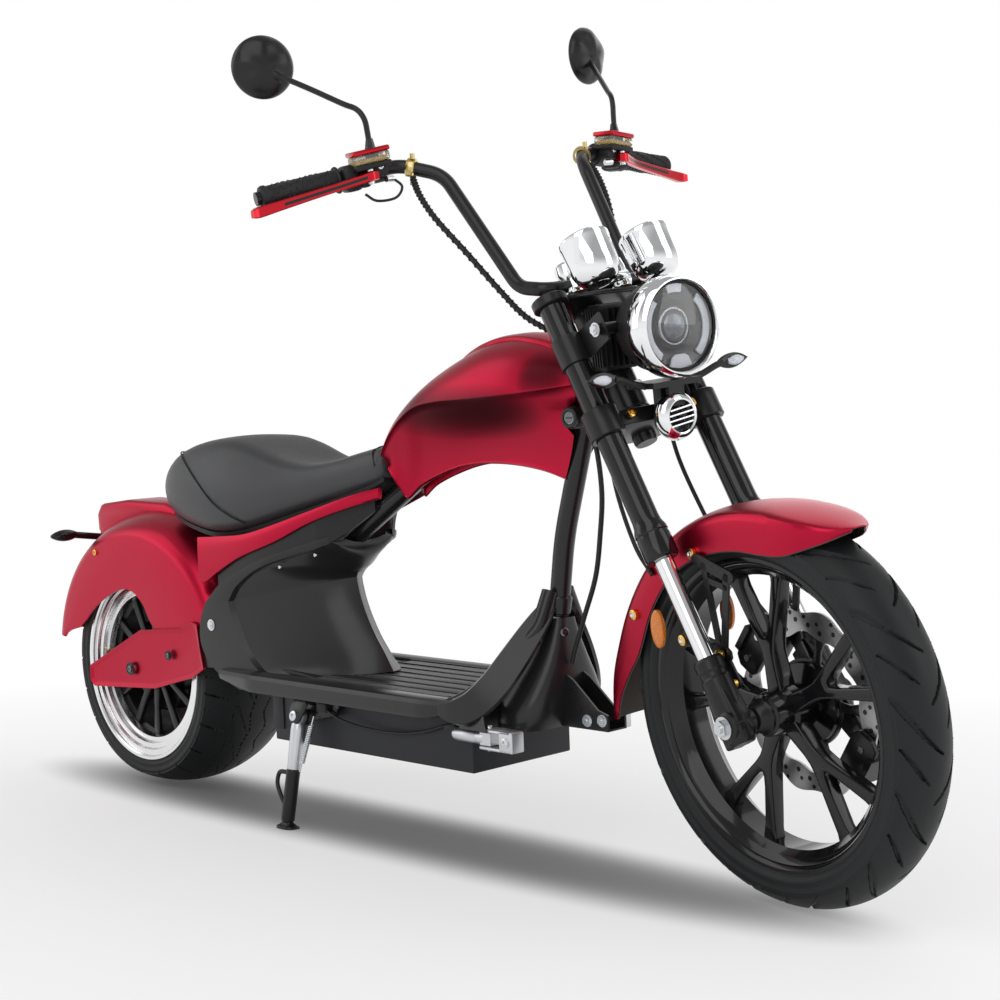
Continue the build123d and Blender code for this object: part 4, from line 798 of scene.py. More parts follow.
FINISHES = {
    "candy red": CandyPaint("candy_red", (0.50, 0.005, 0.036), 0.33, 0.90, 0.15, 0.25),
    "gloss black": Finish("gloss_black", (0.006, 0.006, 0.007), 0.14, 0.0, 0.25, 0.05, wear=0.03),
    "satin black": Finish("satin_black", (0.009, 0.009, 0.010), 0.32, 0.0, 0.12, 0.2, 0.08),
    "frame black": Finish("frame_black", (0.010, 0.010, 0.011), 0.27, 0.0, 0.25, 0.16, 0.05),
    "moulded black": Finish("moulded_black", (0.014, 0.014, 0.015), 0.46, grain=0.25, grain_scale=700.0),
    "deck grey": Finish("deck_grey", (0.020, 0.020, 0.022), 0.30, grain=0.2, grain_scale=800.0),
    "battery grey": Finish("battery_grey", (0.021, 0.022, 0.026), 0.46, grain=0.2, grain_scale=1500.0),
    "deck trim": Finish("deck_trim", (0.015, 0.015, 0.016), 0.30, 0.0, 0.25, 0.2, grain=0.06, grain_scale=600.0),
    # knurled deck ribs: the rubber's own grey is raised lighter as a painted sheen for the light the ribs catch
    "deck rubber and painted sheen": RibbedRubber("deck_rubber_and_painted_sheen", (0.085, 0.085, 0.09), 0.36, axis=0, pitch=0.005),
    "grip rubber": Finish("grip_rubber", (0.018, 0.018, 0.019), 0.55, grain=0.3, grain_scale=1400.0),
    "hose rubber": Finish("hose_rubber", (0.014, 0.014, 0.015), 0.42, grain=0.2, grain_scale=1500.0),
    "seat leather": Leather("seat_leather", (0.036, 0.037, 0.040), 0.40, sheen=0.5),
    "seam thread": Finish("seam_thread", (0.012, 0.012, 0.013), 0.7, grain=0.4, grain_scale=2500.0),
    "chrome": Finish("chrome_plate", (0.86, 0.87, 0.88), 0.05, 1.0, wear=0.02),
    "dark chrome": Finish("dark_chrome", (0.16, 0.165, 0.17), 0.12, 1.0, wear=0.03),
    "polished alloy": TurnedMetal("polished_alloy", (0.84, 0.84, 0.85), 0.16, 1.0, centre=REAR_HUB,
                                  axis=WHEEL_AXIS_REAR, pitch=0.0016),
    "cast alloy": Finish("cast_alloy", (0.62, 0.63, 0.65), 0.34, 0.9, grain=0.15, grain_scale=1600.0),
    "disc steel": TurnedMetal("disc_steel", (0.46, 0.46, 0.47), 0.26, 1.0, centre=FRONT_HUB,
                              axis=WHEEL_AXIS_FRONT, pitch=0.0014),
    "zinc steel": Finish("zinc_steel", (0.66, 0.68, 0.70), 0.24, 1.0, grain=0.1, grain_scale=1500.0),
    "gold zinc": Finish("gold_zinc", (0.78, 0.48, 0.12), 0.24, 1.0, wear=0.1),
    "brass": Finish("brass", (0.62, 0.48, 0.20), 0.28, 1.0, wear=0.1),
    "red anodised": Finish("red_anodised", (0.56, 0.006, 0.018), 0.22, 0.85, 0.3, 0.1),
    "clear plastic": ClearPlastic("clear_plastic", (0.96, 0.97, 0.98), 0.03),
    "smoked plastic": ClearPlastic("smoked_plastic", (0.55, 0.56, 0.57), 0.05, clear=0.8),
    "projector glass": Finish("projector_glass", (0.05, 0.06, 0.08), 0.03, 0.6, 1.0, 0.02, wear=0.0),
    "bare lining": Finish("bare_lining", (0.085, 0.070, 0.062), 0.7, grain=0.3, grain_scale=500.0),
    "amber plastic": PrismPlastic("amber_plastic", (0.85, 0.24, 0.02), 0.16, 0.0, 0.6, 0.05),
    "red plastic": PrismPlastic("red_plastic", (0.55, 0.01, 0.015), 0.14, 0.0, 0.6, 0.05),
    "yellow plastic": Finish("yellow_plastic", (0.78, 0.50, 0.05), 0.35),
    "light guide": Finish("light_guide", (0.62, 0.65, 0.70), 0.32),
    "mirror glass": Finish("mirror_glass", (0.9, 0.91, 0.92), 0.02, 1.0, wear=0.0),
    "front tyre rubber": TyreRubber("front_tyre_rubber", (0.010, 0.011, 0.012), 0.46, centre=FRONT_HUB,
                                    axis=WHEEL_AXIS_FRONT, tread_from=0.258),
    "rear tyre rubber": TyreRubber("rear_tyre_rubber", (0.010, 0.011, 0.012), 0.48, centre=REAR_HUB,
                                   axis=WHEEL_AXIS_REAR, tread_from=0.205),
}


class Workshop:
    """Turns forms into dressed pieces on the machine and dresses the carried-over solids."""

    def __init__(self) -> None:
        """Start with no materials made."""
        self.made: dict[str, bpy.types.Material] = {}

    def material(self, finish: str) -> bpy.types.Material:
        """The material of a finish, made once."""
        if finish not in self.made:
            self.made[finish] = FINISHES[finish].build()
        return self.made[finish]

    def piece(self, name: str, form: Form, finish: str, body: str, stands_for: Sequence[str] = (),
              levels: int = 0, sharp: float = 32.0) -> bpy.types.Object:
        """Place a form on the machine as one piece.

        Args:
            name: Name of the piece.
            form: Its shape.
            finish: Name of its finish.
            body: The moving body that it rides on.
            stands_for: Nodes that it replaces.
            levels: Levels of subdivision.
            sharp: Edges sharper than this many degrees stay sharp.

        Returns:
            The new object.
        """
        bmesh.ops.remove_doubles(form.bm, verts=form.bm.verts, dist=WELD)
        bmesh.ops.recalc_face_normals(form.bm, faces=form.bm.faces)
        form.bm.transform(STANCE.matrix(body in STEERED_BODIES))
        limit = math.radians(sharp)
        for edge in form.bm.edges:
            edge.smooth = not (len(edge.link_faces) == 2 and edge.calc_face_angle(0.0) > limit)
        for face in form.bm.faces:
            face.smooth = True
        mesh = bpy.data.meshes.new(name)
        form.bm.to_mesh(mesh)
        form.bm.free()
        made = bpy.data.objects.new(name, mesh)
        bpy.context.scene.collection.objects.link(made)
        mesh.materials.append(self.material(finish))
        if levels:
            smoothing = made.modifiers.new("smooth", "SUBSURF")
            smoothing.levels = levels
            smoothing.render_levels = levels
        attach(made, body)
        if stands_for:
            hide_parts(*stands_for)
        LOG.info("%s: %d faces, %s", name, len(mesh.polygons), finish)
        return made

    def dress(self, frame: dict, finish: str, *nodes: str) -> None:
        """Give carried-over solids a finish."""
        for node in nodes:
            for slot in frame["nodes"][node].material_slots:
                slot.material = self.material(finish)


@dataclass(frozen=True)
class Groove:
    """A tread groove: a line across the tread with a half width at each of its points.

    Points are (drop angle in degrees, distance across in millimetres, half width).
    """

    line: tuple[tuple[float, float, float], ...]

    def depth_from_edge(self, angle: float, across: float, radius: float) -> tuple[float, Vector]:
        """Distance of a spot outside the groove's edge, and the direction out of the groove.

        Args:
            angle: Angle of the spot in degrees.
            across: Its distance across the tread.
            radius: Radius that turns degrees into millimetres.

        Returns:
            The distance, negative inside, and a flat direction.
        """
        scale = math.radians(1.0) * radius
        spot = Vector((angle * scale, across))
        best, way = 1e9, Vector((0.0, 1.0))
        for (a0, y0, w0), (a1, y1, w1) in zip(self.line, self.line[1:]):
            start, run = Vector((a0 * scale, y0)), Vector(((a1 - a0) * scale, y1 - y0))
            t = held((spot - start).dot(run) / run.length_squared)
            out = spot - (start + run * t)
            gap = out.length - (w0 + (w1 - w0) * t)
            if gap < best:
                best, way = gap, out.normalized() if out.length > 1e-6 else Vector((0.0, 1.0))
        return best, way


@dataclass
class Tyre:
    """Tyre with a real cut tread and moulded rings on its walls."""

    name: str
    node: str
    body: str
    finish: str
    centre: tuple[float, float, float]
    crown: float
    half: float
    shoulder: float
    bead: float
    flange: float
    repeats: int
    columns: int
    rows: int
    depth: float
    grooves: tuple[Groove, ...]
    circles: tuple[tuple[float, float, float], ...] = ()

    def profile(self) -> list[tuple[float, float]]:
        """Points across the tread from its right edge to its left one."""
        rise = self.crown - self.shoulder
        arc = (self.half ** 2 + rise ** 2) / (2 * rise)
        reach = math.asin(min(1.0, self.half / arc))
        turns = [-reach + 2 * reach * k / self.rows for k in range(self.rows + 1)]
        return [(arc * math.sin(t), self.crown - arc * (1 - math.cos(t))) for t in turns]

    def cut(self, angle: float, across: float) -> tuple[float, Vector]:
        """Nearest groove edge to a spot of the tread."""
        period = 360.0 / self.repeats
        best, way = 1e9, Vector((0.0, 1.0))
        for groove in self.grooves:
            for shift in (-2, -1, 0, 1, 2):
                gap, out = groove.depth_from_edge(angle - shift * period, across, self.crown)
                if gap < best:
                    best, way = gap, out
        for middle, half, wave in self.circles:
            place = middle + wave * math.sin(math.tau * angle / period)
            gap = abs(across - place) - half
            if gap < best:
                best, way = gap, Vector((0.0, 1.0 if across > place else -1.0))
        return best, way

    def build(self, shop: Workshop) -> None:
        """Cut the tread and close the tyre at its beads."""
        tread = self.profile()
        period = 360.0 / self.repeats
        step = period / self.columns
        pitch = max(math.radians(step) * self.crown, 2 * self.half / self.rows)
        patch = []
        for i in range(self.columns):
            row = []
            for across, _ in tread:
                gap, way = self.cut(i * step, across)
                shift, drop = Vector((0.0, 0.0)), 0.0
                if abs(gap) < pitch * 0.55:
                    shift = way * -gap
                elif gap < 0:
                    drop = self.depth
                row.append((math.degrees(shift.x / self.crown), shift.y, drop))
            patch.append(row)
        form = Form()
        sections = []
        wall = self.wall()
        for i in range(self.columns * self.repeats):
            section = []
            for (across, radius), (turn, slide, drop) in zip(tread, patch[i % self.columns]):
                section.append(self.spot(i * step + turn, across + slide, radius - drop))
            section += [self.spot(i * step, y, r) for y, r in wall]
            section += [self.spot(i * step, -y, r) for y, r in reversed(wall)]
            sections.append(section)
        form.loft(sections, ring=True)
        shop.piece(self.name, form, self.finish, self.body, (self.node,), sharp=40)

    def wall(self) -> list[tuple[float, float]]:
        """Points down the left wall to the bead."""
        top, low = self.shoulder, self.flange
        span = top - low
        points = [(self.half - 0.4, top - 0.10 * span), (self.half + 0.9, top - 0.16 * span),
                  (self.half + 1.1, top - 0.30 * span), (self.half + 0.1, top - 0.36 * span),
                  (self.half + 0.2, top - 0.60 * span), (self.half + 0.9, top - 0.66 * span),
                  (self.half + 0.3, top - 0.74 * span), (self.half - 2.5, top - 0.90 * span),
                  (self.half - 5.5, low + 1.0), (self.half - 8.0, low - 2.0), (self.half - 9.0, self.bead)]
        return points

    def spot(self, angle: float, across: float, radius: float) -> Vector:
        """Point of the tyre; angles fall forward and down from straight back."""
        turn = math.radians(180.0 - angle)
        x, y, z = self.centre
        return Vector((x + radius * math.cos(turn), y + across, z + radius * math.sin(turn)))


def both_sides(grooves: Sequence[Groove], offset: float) -> tuple[Groove, ...]:
    """The grooves of the right half and their mirror images, moved round by an offset."""
    mirror = [Groove(tuple((a + offset, -y, w) for a, y, w in g.line)) for g in grooves]
    return (*grooves, *mirror)


@dataclass
class FrontWheel:
    """Front wheel: tyre, five Y-shaped spokes, drilled disc."""

    centre: tuple[float, float, float] = FRONT_AXLE
    edge: float = 46.0
    spoke_at: float = 27.0
    spoke_count: int = 5
    petals: int = 10
    disc_radii: tuple[float, float] = (104.0, 138.5)
    disc_faces: tuple[float, float] = (46.4, 50.2)
    disc_steps: int = 240

    def build(self, shop: Workshop) -> None:
        """Build every piece of the wheel."""
        long_groove = Groove(((0.0, -54.0, 2.4), (2.6, -48.0, 3.6), (5.6, -42.5, 4.6), (10.1, -31.5, 4.4),
                              (13.5, -20.5, 3.7), (16.9, -4.7, 2.7), (20.8, 18.9, 0.6)))
        short_groove = Groove(((15.5, -50.0, 2.2), (20.0, -37.8, 3.6), (23.4, -28.4, 3.2), (27.3, -14.2, 0.6)))
        Tyre("front_tyre_tread", "front_tyre", "front_wheel", "front tyre rubber", self.centre,
             crown=293.0, half=52.0, shoulder=266.0, bead=223.0, flange=232.0, repeats=13, columns=76, rows=54,
             depth=5.0, grooves=both_sides((long_groove, short_groove), 13.85)).build(shop)
        self.rim(shop)
        self.disc(shop)

    def at(self, radius: float, angle: float, across: float) -> Vector:
        """Point of the wheel at an angle measured from ahead towards up."""
        turn = math.radians(angle)
        x, y, z = self.centre
        return Vector((x + radius * math.cos(turn), y + across, z + radius * math.sin(turn)))

    def rim(self, shop: Workshop) -> None:
        """Barrel, hub and the five Y-shaped spokes."""
        e = self.edge
        barrel = Form().spin([(-e, 232.5), (-e, 227), (-e + 3, 223), (-e + 7, 221), (-e + 10, 216), (-30, 212),
                              (-20, 203), (20, 203), (30, 212), (e - 10, 216), (e - 7, 221), (e - 3, 223),
                              (e, 227), (e, 232.5), (e - 3, 233.5), (e - 4.5, 231), (e - 4.5, 222.4),
                              (4.5 - e, 222.4), (4.5 - e, 231), (3 - e, 233.5)], self.centre, LEFT, steps=120)
        shop.piece("front_rim_barrel", barrel, "gloss black", "front_wheel", ("front_rim",))
        spokes = Form()
        outline = [(26, -15), (50, -13.5), (72, -12), (88, -13), (104, -18), (130, -29), (160, -42), (184, -52),
                   (198, -62), (205, -74), (207, -66), (209, -54), (208, -42), (200, -33), (186, -31), (160, -22),
                   (130, -11.5), (116, -5), (111, 0)]
        outline += [(u, -v) for u, v in reversed(outline[:-1])]
        spokes.plate(outline, self.at(0, 0, 13), FORWARD, UP, 26)
        spokes.bevel(4.5, 3, 40)
        for vert in spokes.bm.verts:
            radius = math.hypot(vert.co.x - self.centre[0], vert.co.z - self.centre[2])
            vert.co.y *= 1.25 - 0.45 * held((radius - 30) / 170.0)
        spokes.turned(self.spoke_count, self.centre, RIGHT)
        spokes.swing(spokes.bm.verts, self.centre, RIGHT, math.radians(self.spoke_at))
        shop.piece("front_spokes", spokes, "gloss black", "front_wheel", sharp=50)
        hub = Form().spin([(-46, 9), (-46, 26), (-43, 31), (-30, 33), (-14, 33), (-8, 38), (8, 38), (14, 33),
                           (34, 33), (40, 60), (46, 62), (46, 9)], self.centre, LEFT, steps=72)
        shop.piece("front_hub", hub, "gloss black", "front_wheel", sharp=30)

    def disc(self, shop: Workshop) -> None:
        """Petal brake disc with its carrier, holes and bolts."""
        form = Form()
        sections = []
        near, far = self.disc_faces
        for k in range(self.disc_steps):
            angle = 360.0 * k / self.disc_steps
            wave = math.cos(math.radians(angle * self.petals))
            inner, outer = self.disc_radii[0] - 3.5 * wave, self.disc_radii[1] + 4.0 * wave
            sections.append([self.at(inner, angle, near), self.at(outer, angle, near),
                             self.at(outer, angle, far), self.at(inner, angle, far)])
        form.loft(sections, ring=True)
        shop.piece("disc_ring", form, "disc steel", "front_wheel", ("brake_disc",), sharp=30)
        arms = Form()
        arms.plate([(54, -9), (84, -6), (108, -11), (108, 11), (84, 6), (54, 9)], self.at(0, 0, 52),
                   FORWARD, UP, 5)
        arms.bevel(1.2, 2, 40)
        arms.turned(self.spoke_count, self.centre, RIGHT)
        arms.spin([(46.4, 50), (46.4, 66), (51, 66), (51, 50)], self.centre, LEFT, steps=60)
        shop.piece("disc_carrier", arms, "frame black", "front_wheel")
        holes = Form()
        for k in range(30):
            angle = 12.0 * k
            radius = 112 + 6 * (k % 3)
            for spot, size in ((self.at(radius, angle, 46.0), 3.8), (self.at(radius + 11, angle + 4, 46.0), 3.2)):
                holes.rod(spot, spot + Vector((0, 4.6, 0)), size, sides=14)
        shop.piece("disc_holes", holes, "frame black", "front_wheel")
        bolts = Form()
        for k in range(self.spoke_count):
            bolts.bolt(self.at(58, 36 + 360 // self.spoke_count * k, 51), LEFT, 5.5, Bolt.BUTTON)
        shop.piece("disc_bolts", bolts, "zinc steel", "front_wheel")


@dataclass
class RearWheel:
    """Wide rear wheel with its hub motor."""

    centre: tuple[float, float, float] = REAR_AXLE
    blade_count: int = 12

    def build(self, shop: Workshop) -> None:
        """Build every piece of the wheel."""
        long_sipe = Groove(((0.0, -108.0, 2.4), (2.5, -80.0, 2.3), (5.0, -37.0, 0.5)))
        short_sipe = Groove(((8.6, -108.0, 2.2), (11.0, -67.0, 0.5)))
        sweep = Groove(((2.0, -50.0, 1.2), (9.0, -36.0, 1.9), (18.0, -18.0, 1.9), (30.0, 8.0, 1.0)))
        Tyre("rear_tyre_tread", "rear_tyre", "rear_wheel", "rear tyre rubber", self.centre,
             crown=240.0, half=104.0, shoulder=214.0, bead=173.0, flange=184.0, repeats=21, columns=38, rows=84,
             depth=4.5, grooves=both_sides((long_sipe, short_sipe), 8.57) + (sweep,),
             circles=((-4.0, 2.0, 3.5), (32.0, 2.2, 6.0), (-44.0, 1.6, 2.0))).build(shop)
        self.rim(shop)

    def rim(self, shop: Workshop) -> None:
        """Polished lips, dark barrel, blades and motor covers."""
        lip = [(-103.5, 184.5), (-103.5, 179), (-101, 176), (-97, 175), (-97, 166), (-92, 163), (-92, 154),
               (-84, 151), (-84, 143), (-72, 140), (-66, 146), (-66, 158), (-90, 170), (-97.4, 171.6),
               (-97.4, 184.8), (-100, 186)]
        for name, side in (("right", 1), ("left", -1)):
            ring = Form().spin([(side * a, r) for a, r in lip], self.centre, LEFT, steps=120)
            shop.piece(f"rear_lip_{name}", ring, "polished alloy", "rear_wheel",
                       ("rear_rim",) if side > 0 else (), sharp=24)
        barrel = Form().spin([(-66.2, 146), (-60, 136), (60, 136), (66.2, 146), (66.2, 152), (-66.2, 152)],
                             self.centre, LEFT, steps=96)
        barrel.spin([(-58, 9), (-58, 88), (-50, 94), (50, 94), (58, 88), (58, 9)], self.centre, LEFT, steps=72)
        barrel.spin([(-96, 9), (-96, 24), (-90, 30), (-74, 36), (-58, 46), (58, 46), (74, 36), (90, 30), (96, 24),
                     (96, 9)], self.centre, LEFT, steps=60)
        shop.piece("rear_barrel", barrel, "satin black", "rear_wheel", sharp=30)
        for side, name in SIDE_NAMES.items():
            blades = Form()
            blades.plate([(44, -8), (80, -10), (148, -15), (150, 3), (84, 4), (46, 9)],
                         (0, side * 66 + 5, 240), FORWARD, UP, 10)
            blades.bevel(2.0, 2, 40)
            blades.turned(self.blade_count, self.centre, RIGHT)
            shop.piece(f"rear_blades_{name}", blades, "satin black", "rear_wheel", sharp=50)
        valve = Form().rod((-148, -80, 262), (-136, -92, 258), 3.2, 2.6, 14)
        shop.piece("rear_valve", valve, "brass", "rear_wheel")


@dataclass
class Tank:
    """Teardrop tank shell with its raised top panel and the lock in its front edge."""

    rear_to_front: tuple[tuple[float, ...], ...] = (
        (703, 640, 48, 688, 656, 54, 684, 666), (722, 624, 56, 716, 680, 68, 712, 699),
        (745, 606, 64, 750, 704, 82, 748, 735), (772, 589, 72, 790, 727, 94, 792, 769),
        (815, 611, 80, 835, 746, 102, 845, 803), (870, 630, 87, 890, 754, 107, 900, 830),
        (930, 645, 91, 950, 757, 109, 955, 849), (990, 651, 91, 1005, 760, 107, 1005, 854),
        (1050, 649, 86, 1060, 764, 101, 1050, 852), (1105, 640, 78, 1120, 769, 88, 1090, 846),
        (1146, 626, 68, 1168, 775, 72, 1122, 838))
    crown: tuple[tuple[float, float], ...] = ((1.0, 0.0), (0.985, 0.10), (0.93, 0.30), (0.82, 0.52), (0.66, 0.72),
                                              (0.47, 0.87), (0.25, 0.965), (0.0, 1.0))
    pinch: tuple[tuple[float, float], ...] = ((0, 1.0), (1, 0.8), (2, 0.52), (3, 0.31), (4, 0.27), (10, 0.27))
    step: float = 5.5
    notch: tuple[float, float] = (722.0, 23.0)
    lock_at: tuple[float, float, float] = (1152, -40, 722)
    stretches: int = 56
    notched: int = 7
    crown_steps: int = 14
    wall_steps: int = 13

    def station(self, u: float) -> list[float]:
        """The measured sizes at a place between the stations."""
        return [Track(list(enumerate(sizes))).at(u) for sizes in zip(*self.rear_to_front)]

    def rise(self, width: float) -> float:
        """Share of the crown's height at a share of its width."""
        return Track(self.crown).at(width)

    def surface(self, x: float, across: float) -> float:
        """Height of the crown over a point."""
        low, high = 0.0, float(len(self.rear_to_front) - 1)
        for _ in range(26):
            middle = (low + high) / 2
            _, _, _, cx, cz, half, tx, tz = self.station(middle)
            h = self.rise(min(1.0, abs(across) / half))
            if cx + (tx - cx) * h < x:
                low = middle
            else:
                high = middle
        _, _, _, cx, cz, half, tx, tz = self.station((low + high) / 2)
        return cz + (tz - cz) * self.rise(min(1.0, abs(across) / half))

    def half_section(self, u: float) -> list[Vector]:
        """Right half of one section, from the top centre round the crease to the floor inside."""
        bx, bz, low, cx, cz, half, tx, tz = self.station(u)
        pinched = low * Track(self.pinch).at(u)
        bx, low = bx - (low - pinched), pinched
        points = []
        for k in range(self.crown_steps + 1):
            w = math.sin(math.pi / 2 * k / self.crown_steps)
            h = self.rise(w)
            points.append(Vector((cx + (tx - cx) * h, -half * w, cz + (tz - cz) * h)))
        points[-1] = Vector((cx, -half, cz + 0.6))
        points.append(Vector((cx, -half, cz - 1.6)))
        points.append(Vector((cx, -half + self.step, cz - 4.6)))
        for k in range(1, self.wall_steps + 1):
            t = k / self.wall_steps
            inward = 3.5 * math.sin(math.pi * t) + self.step * (1 - t)
            share = 0.55 * t + 0.45 * math.sin(math.pi / 2 * t)
            points.append(Vector((cx + (bx - cx) * t, -(half + (low - half) * share) + inward,
                                  cz - 4.6 + (bz + 4.6 - cz) * t)))
        points.append(Vector((bx, -low - 1.0, bz - 2.5)))
        points.append(Vector((bx, -low + 2.5, bz - 5.0)))
        points.append(Vector((bx, -low + 5.0, bz - 3.0)))
        room = min(46.0, 0.55 * (cz - bz))
        points.append(Vector((bx, -low + 6.5, bz + 0.1 * room)))
        points.append(Vector((bx, -low + 8.0, bz + 0.65 * room)))
        points.append(Vector((bx, 0.0, bz + room)))
        return points

    def build(self, shop: Workshop) -> None:
        """Build the shell, its panel and the lock."""
        last = len(self.rear_to_front) - 1
        height, reach = self.notch
        wall = slice(self.crown_steps + 1, self.crown_steps + self.wall_steps + 5)
        sections = []
        for n in range(self.stretches + 1):
            u = last * (n / self.stretches)
            half = self.half_section(u)
            ease = max(0.0, (n - self.stretches + self.notched) / self.notched)
            for point in half[wall]:
                away = abs(point.z - height)
                if ease and away < reach:
                    point.x -= math.sqrt(reach ** 2 - away ** 2) * ease
            sections.append(half + mirror_image(self.half_section(u)[1:-1]))
        front = sections[-1]
        middle = Vector((1128, 0, 745))
        sections.append([Vector((p.x - 6, p.y, p.z)).lerp(middle, 0.06) for p in front])
        sections.append([Vector((p.x - 26, p.y, p.z)).lerp(middle, 0.10) for p in front])
        tail = sections[0]
        spot = Vector((690, 0, 650))
        sections.insert(0, [p.lerp(spot, 0.35) + Vector((-1.5, 0, 0)) for p in tail])
        form = Form().loft(sections)
        shop.piece("tank_body", form, "candy red", "chassis", stands_for=("tank_shell",), sharp=38)
        self.panel(shop)
        self.lock(shop)

    def panel(self, shop: Workshop) -> None:
        """Raised panel along the top."""
        halves = Track([(826, 3), (860, 18), (900, 30), (950, 40), (1003, 36), (1050, 41), (1108, 44)])
        sections = []
        for n in range(41):
            x = 828 + (1108 - 828) * n / 40
            half = halves.at(x)
            row = []
            for k in range(17):
                y = -half + 2 * half * k / 16
                row.append(Vector((x, y, self.surface(x, y) + 5.4)))
            edge = [Vector((x, half + 1.6, self.surface(x, half + 1.6) + 3.6)),
                    Vector((x, half + 3.0, self.surface(x, half + 3.0) + 0.1)),
                    Vector((x, half, self.surface(x, half) - 2)), Vector((x, 0, self.surface(x, 0) - 2)),
                    Vector((x, -half, self.surface(x, half) - 2)),
                    Vector((x, -half - 3.0, self.surface(x, half + 3.0) + 0.1)),
                    Vector((x, -half - 1.6, self.surface(x, half + 1.6) + 3.6))]
            sections.append(row + edge)
        form = Form().loft(sections)
        shop.piece("tank_panel", form, "candy red", "chassis", stands_for=("tank_top_panel",), sharp=44)

    def lock(self, shop: Workshop) -> None:
        """Knurled ignition lock in the notch."""
        centre = x, _, z = self.lock_at
        body = Form().spin([(-26, 2), (-26, 15), (26, 16.5), (27.5, 15), (27.5, 11), (25.5, 10.5), (25.5, 2)],
                           centre, RIGHT, steps=60)
        shop.piece("ignition_body", body, "satin black", "chassis", stands_for=("ignition_lock",), sharp=30)
        knurl = Form()
        for k in range(36):
            turn = math.tau * k / 36
            spot = Vector((x + 16.2 * math.cos(turn), -60, z + 16.2 * math.sin(turn)))
            knurl.rod(spot, spot + Vector((0, 14, 0)), 1.2, sides=6)
        shop.piece("ignition_knurl", knurl, "satin black", "chassis")
        barrel = Form().spin([(24.5, 0.5), (26.4, 9.8), (25.6, 10.4), (24.0, 10.4)], centre, RIGHT, steps=40)
        barrel.spin([(20, 0.5), (26.6, 0.5), (26.6, 7.4), (25.8, 8.2), (20, 8.2)], centre, RIGHT, steps=40)
        shop.piece("ignition_barrel", barrel, "dark chrome", "chassis")
        slot = Form().box((x - 6, -67.2, z - 1), (x + 6, -66.2, z + 1))
        shop.piece("ignition_slot", slot, "frame black", "chassis")


@dataclass
class Seat:
    """Moulded seat under a sewn cover."""

    stations: tuple[tuple[float, ...], ...] = (
        (60, 26, 586, 592, 596, 596), (64, 42, 578, 592, 606, 608), (80, 78, 564, 592, 626, 632),
        (110, 102, 548, 590, 648, 656), (150, 118, 535, 586, 668, 676), (200, 128, 524, 582, 682, 689),
        (260, 132, 514, 576, 690, 696), (310, 131, 514, 574, 690, 694), (360, 126, 521, 576, 680, 680),
        (410, 117, 533, 584, 664, 660), (460, 106, 547, 594, 650, 646), (510, 95, 561, 604, 645, 645),
        (560, 84, 575, 614, 650, 655), (610, 75, 590, 624, 660, 667), (660, 67, 606, 636, 670, 677),
        (690, 61, 620, 644, 674, 681), (697, 54, 628, 650, 670, 675))
    shape: tuple[tuple[float, str, float], ...] = (
        (0.0, "bottom", 0.0), (0.55, "bottom", 0.0), (0.80, "bottom", 0.06), (0.93, "bottom", 0.35),
        (1.0, "wide", 0.0), (0.985, "wide", 0.34), (0.935, "wide", 0.66), (0.83, "wide", 0.90),
        (0.66, "shoulder", 0.0), (0.45, "shoulder", 0.5), (0.22, "shoulder", 0.85), (0.0, "shoulder", 1.0))

    def point(self, x: float, width: float, kind: str, share: float) -> Vector:
        """Point of the cover at a station."""
        half, low, wide, shoulder, centre = (track.at(x) for track in columns(self.stations))
        height = {"bottom": low + (wide - low) * share, "wide": wide + (shoulder - wide) * share,
                  "shoulder": shoulder + (centre - shoulder) * share}[kind]
        return Vector((x, -half * width, height))

    def build(self, shop: Workshop) -> None:
        """Build the cushion, its seams and the pan under it."""
        spots = [60, 61, 64, 69, 76, 86, 100, 118] + [140 + 22 * k for k in range(25)] + [684, 691, 695, 697]
        sections = []
        for x in spots:
            right = [self.point(x, w, kind, share) for w, kind, share in self.shape]
            sections.append(right + mirror_image(right[1:-1]))
        form = Form().loft(sections)
        piece = shop.piece("seat_cushion", form, "seat leather", "chassis", stands_for=("seat",), levels=1, sharp=80)
        seams = Form()
        cross = [(128, 0.0, "shoulder", 1.0), (131, 0.40, "shoulder", 0.55), (146, 0.66, "shoulder", 0.0),
                 (168, 0.83, "wide", 0.90), (205, 0.935, "wide", 0.66), (249, 0.985, "wide", 0.36),
                 (300, 1.0, "wide", 0.02), (340, 0.97, "bottom", 0.62), (372, 0.90, "bottom", 0.26)]
        nose = [(664, 0.0, "shoulder", 1.0), (666, 0.45, "shoulder", 0.5), (669, 0.66, "shoulder", 0.0),
                (675, 0.90, "wide", 0.80), (684, 1.0, "wide", 0.02)]
        for path in (cross, nose):
            seams.pipe([self.point(*spot) + Vector((0, 0, 0.2)) for spot in path], 1.3, 8, steps=6)
        seams.mirrored()
        shop.piece("seat_seams", seams, "seam thread", "chassis")
        pan = []
        for n in range(28):
            x = 104 + (690 - 104) * n / 27
            half, low = (track.at(x) for track in columns(self.stations)[:2])
            half *= 0.80
            pan.append([Vector((x, y * half, low + z)) for y, z in ((-1, 5), (-0.98, -4), (-0.86, -9), (0.86, -9),
                                                                   (0.98, -4), (1, 5))])
        shop.piece("seat_pan", Form().loft(pan), "moulded black", "chassis", stands_for=("seat_base",), sharp=40)


